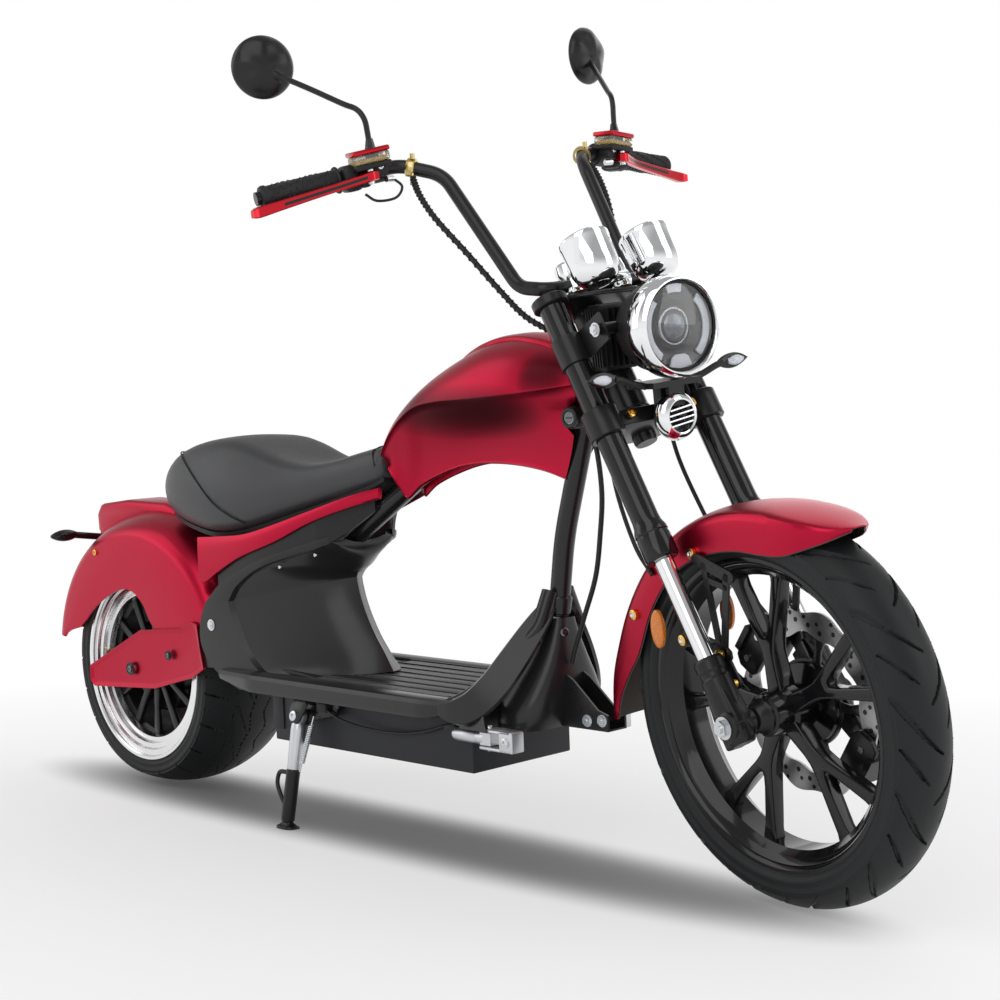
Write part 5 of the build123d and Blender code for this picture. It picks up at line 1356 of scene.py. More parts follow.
@dataclass
class Bodywork:
    """Painted and moulded covers round the rear wheel and under the seat."""

    arch: tuple[tuple[float, float], ...] = ((24, 112), (40, 110), (60, 114), (75, 135), (93, 155), (120, 162),
                                             (145, 180), (160, 203), (166, 240), (173, 274))

    def build(self, shop: Workshop) -> None:
        """Build the rear fender, its lamp, the covers and the fairing."""
        self.fender(shop)
        self.lamp(shop)
        self.side_covers(shop)
        self.arm_covers(shop)
        self.belly(shop)

    def fender(self, shop: Workshop) -> None:
        """Red fender over the rear wheel, turned about the axle."""
        edge = Track(self.arch)
        sections = []
        for n in range(66):
            angle = 24 + (170.0 - 24) * n / 65
            turn = math.radians(angle)
            inner = min(edge.at(angle), 256.0)
            half = [(114.5, inner - 0.5), (117.8, inner), (118.0, inner + 4), (118.2, (inner + 262) / 2), (118, 262),
                    (116.6, 270), (112, 278), (104, 284.5), (96, 289), (89, 293.4), (80, 297.2), (60, 303.5),
                    (38, 308), (16, 310.7)]
            outline = [(-y, r) for y, r in half] + [(0, 311.5)] + [(y, r) for y, r in reversed(half)]
            sections.append([Vector((r * math.cos(turn), y, REAR_AXLE[2] + r * math.sin(turn))) for y, r in outline])
        form = Form().loft(sections, closed=False)
        form.hollow(3.2)
        shop.piece("fender_shell", form, "candy red", "chassis", stands_for=("rear_fender",), sharp=36)
        bolts = Form()
        bolts.bolt((-121, -118.4, 465), RIGHT, 6.0, Bolt.SOCKET, 3.4)
        bolts.mirrored()
        shop.piece("fender_bolts", bolts, "gold zinc", "chassis")

    def lamp(self, shop: Workshop) -> None:
        """Red tail lamp housing with its lens."""
        form = Form()
        outline = [(-216, 486), (-222, 538), (-206, 556), (-112, 566), (20, 562), (62, 548), (60, 532), (-40, 538),
                   (-130, 512), (-178, 470)]
        form.plate(outline, (0, -46, 0), FORWARD, UP, -92)
        form.bevel(9.0, 4, 30)
        shop.piece("tail_housing", form, "candy red", "chassis", stands_for=("tail_lamp",), sharp=40)
        lens = Form().plate([(-216, 496), (-222, 536), (-228, 534), (-226, 500)], (0, -40, 0), FORWARD, UP, -80)
        lens.bevel(2.0, 3, 30)
        shop.piece("tail_lens_body", lens, "red plastic", "chassis", stands_for=("tail_lens",))

    def side_covers(self, shop: Workshop) -> None:
        """Red strips under the seat, following it forward to the tank."""
        upper = Track([(244, 509), (300, 512), (382, 519), (460, 538), (545, 564), (640, 593), (747, 618)])
        lower = Track([(244, 424), (262, 426), (300, 446), (364, 475), (460, 507), (544, 543), (640, 573), (735, 598)])
        out = Track([(244, 128), (420, 122), (560, 97), (660, 70), (710, 46), (735, 34)])
        sections = []
        for n in range(40):
            x = 244 + (686 - 244) * n / 39
            top, low, y = upper.at(x), lower.at(x), out.at(x)
            tall = top - low
            sections.append([Vector((x, -y + 5, top)), Vector((x, -y + 1.0, top + 0.5)), Vector((x, -y, top - 2)),
                             Vector((x, -y - 1.0, top - 0.35 * tall)), Vector((x, -y - 0.5, low + 0.2 * tall)),
                             Vector((x, -y + 1.5, low + 1)), Vector((x, -y + 6, low)), Vector((x, -y + 8, low + 4)),
                             Vector((x, -y + 8, top - 3))])
        form = Form().loft(sections).mirrored()
        shop.piece("seat_strips", form, "candy red", "chassis", stands_for=("side_covers",), sharp=40)
        inner = []
        for n in range(30):
            x = 290 + (640 - 290) * n / 29
            tuck = max(0.0, (x - 560) / 80)
            y, top = (out.at(x) - 9) * (1 - tuck) + 28 * tuck, lower.at(x) + 12
            low = Track([(290, 400), (380, 440), (466, 470), (560, 500), (580, 512), (640, 562)]).at(x)
            corners = ((-y, top), (-y, low), (-y + 6, low), (-y + 6, top))
            inner.append([Vector((x, across, z)) for across, z in corners])
        shop.piece("seat_side_panels", Form().loft(inner).mirrored(), "satin black", "chassis", sharp=30)

    def arm_covers(self, shop: Workshop) -> None:
        """Faceted red covers over the swing arms, with their two bolt wells, black with dark bolts as painted shade
        inside the holes.
        """
        outline = [(-152, 234), (34, 319), (170, 331), (205, 347), (224, 343), (231, 300), (240, 258), (200, 238),
                   (76, 207), (-138, 193), (-152, 205)]
        form = Form()
        form.plate(outline, (0, -120, 0), FORWARD, UP, 6)
        front = min(form.bm.faces, key=lambda f: f.calc_center_median().y)
        bmesh.ops.inset_region(form.bm, faces=[front], thickness=9.0, depth=3.6, use_even_offset=True)
        form.bevel(1.0, 2, 14)
        form.mirrored()
        shop.piece("arm_cover_plates", form, "candy red", "chassis", stands_for=("arm_covers",), sharp=20)
        # painted shade: the wells are black cups and the bolts a dark finish, standing in for the shade inside the
        # bolt holes
        wells, bolts = Form(), Form()
        for x, z, r in ((0, 240, 13.0), (132, 277, 9.5)):
            wells.spin([(8.6, r), (10.4, r), (10.8, r - 1.0), (10.4, r - 1.8), (10.4, 0.5), (8.6, 0.5)], (x, -120, z),
                       RIGHT, steps=40, closed=False)
            bolts.bolt((x, -130.6, z), RIGHT, r * 0.5, Bolt.SOCKET, 1.4)
        wells.mirrored()
        bolts.mirrored()
        shop.piece("arm_cover_wells_painted_shade", wells, "satin black", "chassis")
        shop.piece("arm_cover_bolts", bolts, "dark chrome", "chassis")

    def waist(self, x: float) -> float:
        """Share of the belly fairing's width that is left at a place along the machine."""
        return 1.0 - 0.45 * held((x - 420) / 220)

    def belly(self, shop: Workshop) -> None:
        """Black fairing: side bands that turn in to a narrow bow at the front."""
        rows = [((577, 521), (577, 511), (571, 502)), ((571, 518), (573, 508), (573, 495)),
                ((560, 514), (562, 501), (580, 480)), ((466, 487), (480, 478), (566, 458)),
                ((380, 456), (405, 453), (555, 447)), ((312, 427), (350, 422), (551, 440)),
                ((262, 388), (323, 392), (550, 437)), ((243, 353), (330, 368), (552, 425)),
                ((240, 315), (345, 338), (560, 398)), ((255, 286), (364, 306), (575, 366)),
                ((283, 262), (388, 282), (596, 332)), ((320, 243), (420, 264), (618, 304)),
                ((358, 231), (470, 262), (640, 272))]
        plan = [(0.0, 0.0), (0.06, 0.03), (0.15, 0.22), (0.35, 0.52), (0.55, 0.76), (0.78, 0.93), (1.0, 1.0)]
        flat = [[v for pair in row for v in pair] for row in rows]
        dense = flow(flat[:7], 25) + flow(flat[6:], 25)[1:]
        sections = []
        for ox, oz, ix, iz, qx, qz in dense:
            narrow = self.waist(ox) * (1.0 - 0.42 * held((oz - 513) / 8) ** 2)
            side = [Vector((ox, -129 * narrow, oz)), Vector(((ox + ix) / 2, -127.5 * narrow, (oz + iz) / 2)),
                    Vector((ix, -122 * narrow, iz))]
            for f, g in plan[1:]:
                side.append(Vector((ix + (qx - ix) * g, -120 * narrow * (1 - f), iz + (qz - iz) * g)))
            sections.append(side + mirror_image(side[:-1]))
        form = Form().loft(sections, closed=False)
        form.hollow(3.0)
        shop.piece("belly_shell", form, "deck trim", "chassis", stands_for=("belly_fairing",), sharp=30)
        screws = Form()
        for x, z in ((547, 489), (470, 466)):
            screws.bolt((x, -129 * self.waist(x) + 4, z - 4), RIGHT, 3.4, Bolt.BUTTON)
        screws.bolt((276, -128.5, 346), RIGHT, 8.0, Bolt.HEX, 3.5)
        shop.piece("belly_screws", screws, "zinc steel", "chassis")


@dataclass
class Studio:
    """Camera, lamps, floor and the pale surroundings."""

    eye: tuple[float, float, float] = (2.4262, -2.2130, 0.6714)
    right: tuple[float, float, float] = (0.70319, 0.71100, 0.00070)
    up: tuple[float, float, float] = (-0.020356, 0.019148, 0.99961)
    back: tuple[float, float, float] = (0.71071, -0.70293, 0.02794)
    lens: float = 68.335
    fill: float = 0.42
    sensor: float = 36.0
    floor_radius: float = 9.0
    lamps: tuple[tuple[float, ...], ...] = ((1.6, -3.2, 3.4, 2.4, 62.0), (3.4, 1.4, 2.6, 1.8, 34.0),
                                            (-2.6, -2.2, 2.4, 2.0, 30.0), (-0.6, 2.6, 2.8, 2.2, 26.0))

    def build(self) -> None:
        """Place the camera, the lamps and the floor."""
        scene = bpy.context.scene
        camera = bpy.data.cameras.new("camera")
        camera.lens = self.lens
        camera.sensor_width = self.sensor
        camera.sensor_fit = "HORIZONTAL"
        holder = bpy.data.objects.new("camera", camera)
        turn = Matrix((self.right, self.up, self.back)).transposed().to_4x4()
        holder.matrix_world = Matrix.Translation(self.eye) @ turn
        scene.collection.objects.link(holder)
        scene.camera = holder
        scene.view_settings.view_transform = "Standard"
        for k, (x, y, z, size, power) in enumerate(self.lamps):
            lamp = bpy.data.lights.new(f"softbox_{k}", "AREA")
            lamp.shape = "RECTANGLE"
            lamp.size, lamp.size_y = size * 1.1, size * 2.0
            lamp.energy = power
            stand = bpy.data.objects.new(f"softbox_{k}", lamp)
            aim = Vector((0.0, 0.0, 0.5)) - Vector((x, y, z))
            stand.matrix_world = Matrix.Translation((x, y, z)) @ aim.to_track_quat("-Z", "Y").to_matrix().to_4x4()
            scene.collection.objects.link(stand)
        self.world()
        self.floor()

    def world(self) -> None:
        """White to the eye and in reflections, softer as a light."""
        world = bpy.data.worlds.new("studio")
        bpy.context.scene.world = world
        world.use_nodes = True
        tree = world.node_tree
        tree.nodes.clear()
        path = tree.nodes.new("ShaderNodeLightPath")
        seen = tree.nodes.new("ShaderNodeMath")
        seen.operation = "MAXIMUM"
        tree.links.new(path.outputs["Is Camera Ray"], seen.inputs[0])
        tree.links.new(path.outputs["Is Transmission Ray"], seen.inputs[1])
        shine = tree.nodes.new("ShaderNodeMath")
        shine.operation = "MULTIPLY_ADD"
        tree.links.new(path.outputs["Is Glossy Ray"], shine.inputs[0])
        way = tree.nodes.new("ShaderNodeTexCoord")
        split = tree.nodes.new("ShaderNodeSeparateXYZ")
        tree.links.new(way.outputs["Generated"], split.inputs[0])
        rise = tree.nodes.new("ShaderNodeMapRange")
        tree.links.new(split.outputs[2], rise.inputs["Value"])
        for key, value in (("From Min", 0.05), ("From Max", 0.75), ("To Min", 0.95), ("To Max", 0.16)):
            rise.inputs[key].default_value = value
        tree.links.new(rise.outputs[0], shine.inputs[1])
        tree.links.new(seen.outputs[0], shine.inputs[2])
        level = tree.nodes.new("ShaderNodeMath")
        level.operation = "MAXIMUM"
        tree.links.new(shine.outputs[0], level.inputs[0])
        level.inputs[1].default_value = self.fill
        light = tree.nodes.new("ShaderNodeBackground")
        light.inputs["Color"].default_value = (1.0, 1.0, 1.0, 1.0)
        tree.links.new(level.outputs[0], light.inputs["Strength"])
        out = tree.nodes.new("ShaderNodeOutputWorld")
        tree.links.new(light.outputs[0], out.inputs["Surface"])

    def floor(self) -> None:
        """Pale floor that fades into the surroundings, with a painted shadow darkening it under the machine."""
        shader = Shader("studio_floor")
        place = shader.place()
        split = [shader.node("ShaderNodeSeparateXYZ", {}, {0: place}, axis) for axis in (0, 1)]
        # painted shadow: an oval pool under the machine turns the floor's colour near black and dims its glow
        along, across = (split[0] + 0.08) / 1.12, (split[1] + 0.02) / 0.20
        painted_shadow = (1.0 - (along * along * along * along + across * across)).clamped()
        cloud = painted_shadow * painted_shadow * (3.0 - painted_shadow * 2.0) * 0.9
        shader.set("Base Color", shader.blend(cloud, (0.88, 0.88, 0.88), (0.05, 0.05, 0.052)))
        shader.set("Roughness", 0.6)
        spot = shader.node("ShaderNodeVectorMath", {"operation": "LENGTH"},
                           {0: shader.node("ShaderNodeNewGeometry", {}, {}, "Position")}, "Value")
        glow = shader.node("ShaderNodeEmission", {}, {"Color": (1.0, 1.0, 1.0, 1.0), "Strength": 1.0})
        # the glow is held back where the painted shadow lies
        fade = (spot.above(1.5, 1.8) * 0.5 + 0.5) * (1.0 - cloud)
        mix = shader.tree.nodes.new("ShaderNodeMixShader")
        shader.tree.links.new(fade.socket, mix.inputs[0])
        shader.tree.links.new(shader.surface.outputs[0], mix.inputs[1])
        shader.tree.links.new(glow.socket, mix.inputs[2])
        shader.tree.links.new(mix.outputs[0], shader.tree.nodes["Material Output"].inputs["Surface"])
        mesh = bpy.data.meshes.new("studio_floor")
        bm = bmesh.new()
        bmesh.ops.create_circle(bm, cap_ends=True, segments=96, radius=self.floor_radius)
        bm.to_mesh(mesh)
        bm.free()
        mesh.materials.append(shader.material)
        ground = bpy.data.objects.new("studio_floor", mesh)
        bpy.context.scene.collection.objects.link(ground)


@dataclass
class ForkLegs:
    """Fork legs, yokes, axle ends and what is bolted to them."""

    half: float = 98.0

    def leg_line(self, side: int) -> tuple[Vector, Vector]:
        """Foot of one leg's centre line, and its direction."""
        return STANCE.on_fork(0.0, side * self.half), STANCE.fork_up

    def build(self, shop: Workshop) -> None:
        """Build both legs and their fittings."""
        tubes, chrome, sliders, collars = Form(), Form(), Form(), Form()
        for side in SIDES:
            foot, up = self.leg_line(side)
            tubes.spin([(262, 15), (262, 23), (264, 25.2), (268, 26), (298, 26), (303, 25), (305, 26), (311, 25.6),
                        (319, 22.4), (328, 21.2), (340, 21), (706, 21), (708.5, 19.5), (708.5, 15)], foot, up,
                       out=LEFT, steps=72)
            chrome.spin([(100, 0.5), (100, 14.4), (263, 14.4), (263, 0.5)], foot, up, steps=64, closed=False)
            sliders.spin([(-30, 0.5), (-30, 17), (-24, 21.5), (-14, 22.8), (70, 22.8), (74, 20.6), (80, 20.6),
                          (84, 22.8), (98, 22.8), (102.5, 20.5), (103, 14.6), (100, 14.4), (100, 0.5)], foot, up,
                         steps=64, closed=False)
            collars.spin([(708.5, 14.5), (711, 14), (712.5, 12), (712.5, 6.2), (709, 6), (709, 0.5), (700, 0.5),
                          (700, 14.5)], foot, up, steps=6, closed=False)
        shop.piece("fork_upper", tubes, "gloss black", "steering", ("fork_tubes",), sharp=24)
        shop.piece("fork_chrome", chrome, "chrome", "steering", ("fork_stanchions",), sharp=30)
        shop.piece("fork_lower", sliders, "satin black", "steering", ("fork_sliders",), sharp=24)
        shop.piece("fork_caps", collars, "zinc steel", "steering", sharp=30)
        self.lugs(shop)
        self.yokes(shop)
        self.axle(shop)

    def lugs(self, shop: Workshop) -> None:
        """Cast lugs at the foot of each leg."""
        lugs = Form()
        for side in SIDES:
            foot, up = self.leg_line(side)
            ahead = STANCE.fork_fwd
            lugs.spin([(-22.5, 8), (-22.5, 20), (-20, 23), (20, 23), (22.5, 20), (22.5, 8)], foot, LEFT, steps=48)
            outline = [(-27, -30), (-27, 20), (-20, 56), (-12, 72), (12, 72), (20, 50), (24, 12), (22, -12), (10, -30)]
            block = Form()
            block.plate(outline, foot + Vector((0, 15, 0)), ahead, up, 30)
            block.bevel(4.0, 3, 30)
            lugs.add(block)
        shop.piece("fork_lugs", lugs, "satin black", "steering", sharp=40)

    def yokes(self, shop: Workshop) -> None:
        """Clamping yokes: a plate with a split boss round each leg."""
        for name, node, station, tall in (("lower", "lower_yoke", 466.0, 45.0), ("upper", "top_yoke", 693.0, 15.0)):
            ahead, up = STANCE.fork_fwd, STANCE.fork_up
            spot = STANCE.on_fork(station)
            plate = Form()
            outline = [(-66, 34), (-40, 58), (-18, 90), (12, 92), (18, 60), (20, 0), (18, -60), (12, -92), (-18, -90),
                       (-40, -58), (-66, -34)]
            plate.plate(outline, spot + up * (0.22 * tall), ahead, LEFT, 0.56 * tall)
            plate.bevel(3.0, 3, 30)
            for side in SIDES:
                foot, _ = self.leg_line(side)
                plate.spin([(station, 21.3), (station, 27), (station + 1.5, 28.6), (station + tall - 1.5, 28.6),
                            (station + tall, 27), (station + tall, 21.3)], foot, up, steps=64)
            shop.piece(f"{name}_yoke_casting", plate, "satin black", "steering", (node,), sharp=34)
        stem = Form().spin([(462, 0.5), (462, 17), (466, 19), (511, 19), (511.5, 27.6), (516, 28.8), (520, 27.4),
                            (520, 0.5)], STANCE.on_fork(0.0, 0.0, -40), STANCE.fork_up, steps=48, closed=False)
        stem.spin([(687, 0.5), (687, 27.4), (691, 28.4), (692.5, 26), (708, 26), (708, 17), (722, 17), (724, 14),
                   (724, 0.5)], STANCE.on_fork(0.0, 0.0, -40), STANCE.fork_up, steps=6, closed=False)
        shop.piece("steering_nuts", stem, "satin black", "steering", sharp=30)
        gold = Form()
        for side in SIDES:
            gold.bolt(STANCE.on_fork(490, side * 60, 21), STANCE.fork_fwd, 7.0, Bolt.SOCKET, 7.0)
            gold.bolt(STANCE.on_fork(708, side * 45, 14), STANCE.fork_up, 6.0, Bolt.SOCKET, 5.0)
        shop.piece("yoke_bolts", gold, "gold zinc", "steering")

    def axle(self, shop: Workshop) -> None:
        """Axle bar, its spacers and the hexagonal ends."""
        centre = STANCE.front_axle
        bar = Form().spin([(-128, 0.5), (-128, 7.4), (128, 7.4), (128, 0.5)], centre, LEFT, steps=32,
                          closed=False)
        caps = Form().spin([(-44, 8), (-44, 27), (-50, 27), (-54, 24), (-62, 21), (-66, 17), (-66, 8)],
                           centre, LEFT, steps=56)
        shop.piece("axle_dust_cap", caps, "satin black", "steering", sharp=30)
        bar.spin([(46.5, 7.5), (46.5, 13), (70, 13), (74.5, 11), (74.5, 7.5)], centre, LEFT, steps=40)
        for side in SIDES:
            bar.bolt(Vector(centre) + Vector((0, side * 121.5, 0)), (0, side, 0), 12.5, Bolt.HEX, 9.0)
        shop.piece("front_axle_bar", bar, "zinc steel", "steering", ("front_axle",), sharp=28)


@dataclass
class FrontFender:
    """Front fender with its lining, stays, bolts and side reflectors."""

    stations: tuple[tuple[float, ...], ...] = (
        (188, 345, 336, 323, 62), (181, 337, 328, 305, 63), (175, 330, 321, 285, 64), (164, 318, 308, 258, 64),
        (146, 310, 298, 252, 64), (127, 307, 294, 251, 64), (106, 307, 295, 246, 64), (92, 308, 298, 245, 64),
        (80, 312, 302, 246, 63), (71, 317, 308, 257, 61), (65, 322, 314, 278, 54), (60, 328, 321, 304, 38),
        (57.4, 333, 331, 326, 14))
    centre: tuple[float, float, float] = FRONT_AXLE

    def sections(self, inward: float) -> list[list[Vector]]:
        """Sections of the shell, moved inward by a distance."""
        tracks = columns(self.stations)
        rows = []
        for n in range(72):
            angle = 57.4 + (188 - 57.4) * n / 71
            top, shoulder, edge, half = (t.at(angle) for t in tracks)
            turn = math.radians(angle)
            half -= inward
            shape = [(1.0, edge), (1.012, edge + 0.4 * (shoulder - edge)), (1.0, edge + 0.8 * (shoulder - edge)),
                     (0.965, shoulder - 1.0), (0.90, shoulder + 0.22 * (top - shoulder)),
                     (0.78, shoulder + 0.46 * (top - shoulder)), (0.60, shoulder + 0.70 * (top - shoulder)),
                     (0.40, shoulder + 0.87 * (top - shoulder)), (0.20, shoulder + 0.97 * (top - shoulder))]
            line = [(-w * half, r) for w, r in shape] + [(0.0, top)] + [(w * half, r) for w, r in reversed(shape)]
            cx, cy, cz = self.centre
            rows.append([Vector((cx + (r - inward) * math.cos(turn), cy + y, cz + (r - inward) * math.sin(turn)))
                         for y, r in line])
        return rows

    def build(self, shop: Workshop) -> None:
        """Build the shell and all that it carries."""
        shell = Form().loft(self.sections(0.0), closed=False).hollow(1.8)
        shop.piece("front_fender_shell", shell, "candy red", "steering", ("front_fender",), sharp=40)
        lining = Form().loft(self.sections(2.1), closed=False).hollow(0.6)
        shop.piece("front_fender_lining", lining, "bare lining", "steering", sharp=40)
        stays = Form()
        bars = [((1383, 398), (1402, 401), 11), ((1402, 401), (1452, 390), 13), ((1465, 385), (1489, 345), 9),
                ((1460, 388), (1440, 514), 5.5), ((1468, 386), (1487, 500), 6), ((1448, 492), (1484, 484), 4.5),
                ((1425, 522), (1494, 500), 9), ((1452, 390), (1472, 384), 12)]
        for side in SIDES:
            for (x0, z0), (x1, z1), half in bars:
                run = Vector((x1 - x0, 0, z1 - z0)).normalized()
                up = Vector(LEFT).cross(run) * -1
                length = math.hypot(x1 - x0, z1 - z0)
                start = Vector((x0, side * 70.0 + 2.0, z0))
                part = [(-half * 0.7, -half * 0.7), (0, -half), (length, -half), (length + half * 0.7, -half * 0.7),
                        (length + half, 0), (length + half * 0.7, half * 0.7), (length, half), (0, half),
                        (-half * 0.7, half * 0.7), (-half, 0)]
                stays.plate(part, start, run, up, 4.0)
        shop.piece("fender_brackets", stays, "satin black", "steering", ("fender_stays",), sharp=30)
        gold, studs = Form(), Form()
        for side in SIDES:
            for x, z, y in ((1412, 529, 65.5), (1264, 424, 65.5), (1383, 398, 73), (1465, 385, 75), (1489, 345, 75)):
                gold.bolt((x, side * y, z), (0, side, 0), 8.2, Bolt.SOCKET, 6.0)
                studs.spin([(-2, 0.4), (-2, 4.4), (1.2, 4.4), (1.8, 3.4), (0.4, 2.0), (0.4, 0.4)],
                           (x, side * (y + 5), z), (0, side, 0), steps=20, closed=False)
        shop.piece("fender_gold_bolts", gold, "gold zinc", "steering")
        shop.piece("fender_bolt_cores", studs, "zinc steel", "steering")
        amber = Form()
        for side in SIDES:
            rim = [Vector((1322 + 14.5 * math.cos(a), 0, 408 + 29.5 * math.sin(a)))
                   for a in (math.tau * k / 48 for k in range(48))]
            levels = [(67.5, 1.0), (72.0, 1.0), (73.6, 0.93), (74.2, 0.80), (74.4, 0.45)]
            rows = []
            for y, scale in levels:
                rows.append([Vector((1322 + (p.x - 1322) * scale, side * y, 408 + (p.z - 408) * scale)) for p in rim])
            amber.loft(rows)
        shop.piece("amber_reflectors", amber, "amber plastic", "steering", ("side_reflectors",),
                   sharp=50)


@dataclass
class BrakeCaliper:
    """Twin calipers on the disc side, their bracket and the bleed nipple."""

    centre: tuple[float, float, float] = FRONT_AXLE
    radius: float = 122.0
    angles: tuple[float, float] = (142.0, -35.0)
    halves: tuple[tuple[float, float], ...] = ((74, 18), (33, 11))

    def axes(self, angle: float) -> tuple[Vector, Vector]:
        """Directions round the wheel and outward at one caliper."""
        turn = math.radians(angle)
        return Vector((-math.sin(turn), 0, math.cos(turn))), Vector((math.cos(turn), 0, math.sin(turn)))

    def spot(self, angle: float, across: float) -> Vector:
        """Middle of one caliper, at a distance across the machine."""
        turn = math.radians(angle)
        x, _, z = self.centre
        return Vector((x + self.radius * math.cos(turn), across, z + self.radius * math.sin(turn)))

    def build(self, shop: Workshop) -> None:
        """Build the two calipers and their bracket."""
        body, pins = Form(), Form()
        outline = [(-42, -20), (-30, -27), (30, -27), (42, -20), (44, 8), (34, 22), (14, 25), (-14, 25), (-34, 22),
                   (-44, 8)]
        for angle in self.angles:
            across, out = self.axes(angle)
            for y, depth in self.halves:
                part = Form().plate(outline, self.spot(angle, y), across, out, depth)
                part.bevel(3.0, 2, 30)
                body.add(part)
            bridge, reach = self.spot(angle, 50) + out * 22, Vector((22, 22, 5))
            body.box(bridge - reach, bridge + reach, Matrix((across, Vector(LEFT), out)).transposed())
            for shift in (-22, 22):
                spot = self.spot(angle, 56) + across * shift
                pins.rod(spot, spot + Vector((0, -26, 0)), 5.0, sides=20)
        shop.piece("caliper_bodies", body, "satin black", "steering", ("front_caliper",), sharp=40)
        shop.piece("caliper_pins", pins, "zinc steel", "steering")
        nipple = Form().rod((1610, 70, 232), (1632, 74, 240), 3.6, 2.4, 12)
        nipple.rod((1606, 70, 231), (1612, 70, 233), 5.4, sides=6)
        shop.piece("bleed_nipple", nipple, "brass", "steering")
        bracket = Form().plate([(1450, 352), (1478, 380), (1500, 360), (1530, 330), (1590, 250), (1570, 226),
                                (1520, 268), (1470, 320)], (0, 84, 0), FORWARD, UP, 7)
        bracket.bevel(1.5, 2, 30)
        shop.piece("caliper_bracket", bracket, "frame black", "steering")


@dataclass
class Headlamp:
    """Round headlamp with its halo, and the horn and indicators under it."""

    centre: tuple[float, float, float] = (1352.0, 0.0, 857.0)
    horn_at: tuple[float, float, float] = (1322, 0, 722)

    def build(self, shop: Workshop) -> None:
        """Build the lamp from its bucket out to its lens."""
        bucket = Form().spin([(-98, 0.5), (-98, 26), (-92, 42), (-78, 56), (-58, 66), (-34, 71.5), (-24, 72.5),
                              (-20, 70), (-20, 66), (-60, 58), (-80, 40), (-88, 0.5)], self.centre, FORWARD, steps=96,
                             closed=False)
        shop.piece("lamp_bucket", bucket, "moulded black", "steering", ("headlamp_bucket",), sharp=30)
        ring = Form().spin([(-28, 71), (-27, 75), (-22, 77.2), (-6, 78), (2, 77.4), (8, 75), (11.5, 71.5),
                            (11.5, 69.5), (8, 67.5), (4, 66.8), (-2, 66.6), (-20, 70)], self.centre, FORWARD,
                           steps=120)
        shop.piece("lamp_ring", ring, "chrome", "steering", ("headlamp_ring",), sharp=40)
        gasket = Form().spin([(-3, 66.5), (6.0, 66.9), (7.0, 66.0), (6.0, 64.6), (-3, 64.4)], self.centre, FORWARD,
                             steps=96)
        shop.piece("lamp_gasket", gasket, "moulded black", "steering", sharp=40)
        bowl = Form().spin([(-3, 64.4), (-4, 62.6), (-6, 61), (-8, 46), (-14, 38), (-26, 30), (-34, 22), (-36, 0.5),
                            (-40, 0.5), (-40, 64.4)], self.centre, FORWARD, steps=96, closed=False)
        shop.piece("lamp_bowl", bowl, "gloss black", "steering", sharp=30)
        guides = Form()
        x = self.centre[0]
        for first, last, inner, outer in ((-52, 46, 50, 62), (134, 232, 50, 62), (76, 104, 50, 62.5)):
            outline = [(r * math.cos(math.radians(a)), r * math.sin(math.radians(a)))
                       for r, angles in ((outer, range(first, last + 1, 4)), (inner, range(last, first - 1, -4)))
                       for a in angles]
            guides.plate(outline, (x - 4.5, 0, self.centre[2]), RIGHT, UP, -3.0)
        wedge = [(62 * math.cos(math.radians(a)), 62 * math.sin(math.radians(a))) for a in range(250, 291, 4)]
        wedge += [(16, -46), (9, -42), (-9, -42), (-16, -46)]
        guides.plate(wedge, (x - 4.5, 0, self.centre[2]), RIGHT, UP, -3.0)
        guides.bevel(0.7, 2, 40)
        shop.piece("lamp_guides", guides, "light guide", "steering", sharp=40)
        collar = Form().spin([(-20, 33), (-13, 31), (-10, 28), (-10, 25.5), (-30, 25)], self.centre, FORWARD, steps=72)
        shop.piece("projector_collar", collar, "dark chrome", "steering", sharp=30)
        ball = Form().spin([(-24, 25.5), (-13, 25), (-6, 21.5), (-1, 15), (1.6, 7), (2.2, 0.4), (-24, 0.4)],
                           self.centre, FORWARD, steps=72, closed=False)
        shop.piece("projector_lens", ball, "projector glass", "steering", sharp=60)
        lens = Form().spin([(3, 66.4), (6.4, 62), (9.4, 48), (11.6, 30), (12.6, 12), (12.8, 0.4), (10.6, 0.4),
                            (10.4, 12), (9.4, 30), (7.2, 47), (4.2, 60), (1, 65.6)], self.centre, FORWARD, steps=96,
                           closed=False)
        shop.piece("lamp_lens", lens, "clear plastic", "steering", ("headlamp_lens",), sharp=60)
        self.horn(shop)
        self.flashers(shop)
        self.brackets(shop)

    def horn(self, shop: Workshop) -> None:
        """Chrome bell with a dark grille and slanted bars."""
        centre = x, _, z = self.horn_at
        bell = Form().spin([(-16, 0.5), (-16, 17), (-12, 28), (-5, 35), (3, 37.4), (9, 37.2), (14, 35), (18, 31),
                            (20.5, 27), (19.5, 24.6), (15, 23.5), (4, 23), (4, 0.5)], centre, FORWARD, steps=80,
                           closed=False)
        shop.piece("horn_bell", bell, "chrome", "steering", ("horn",), sharp=30)
        core = Form().spin([(3.8, 0.5), (10, 4), (10, 8), (6, 11), (10, 15), (6, 22.8), (3.8, 23)], centre, FORWARD,
                           steps=48, closed=False)
        shop.piece("horn_core", core, "gloss black", "steering")
        bars = Form()
        for level in (-12.0, -4.0, 4.0, 12.0):
            width = math.sqrt(24.5 ** 2 - level ** 2)
            bars.rod((x + 18.4, width, z + level + 2.6), (x + 18.4, -width, z + level - 2.6), 1.6, sides=12)
        shop.piece("horn_bars", bars, "chrome", "steering")
        stud = Form().rod((x, 0, 757), (x, 0, 772), 4.0, sides=6)
        stud.bolt((x, 0, 760), UP, 6.0, Bolt.HEX, 4.0)
        shop.piece("horn_stud", stud, "zinc steel", "steering")

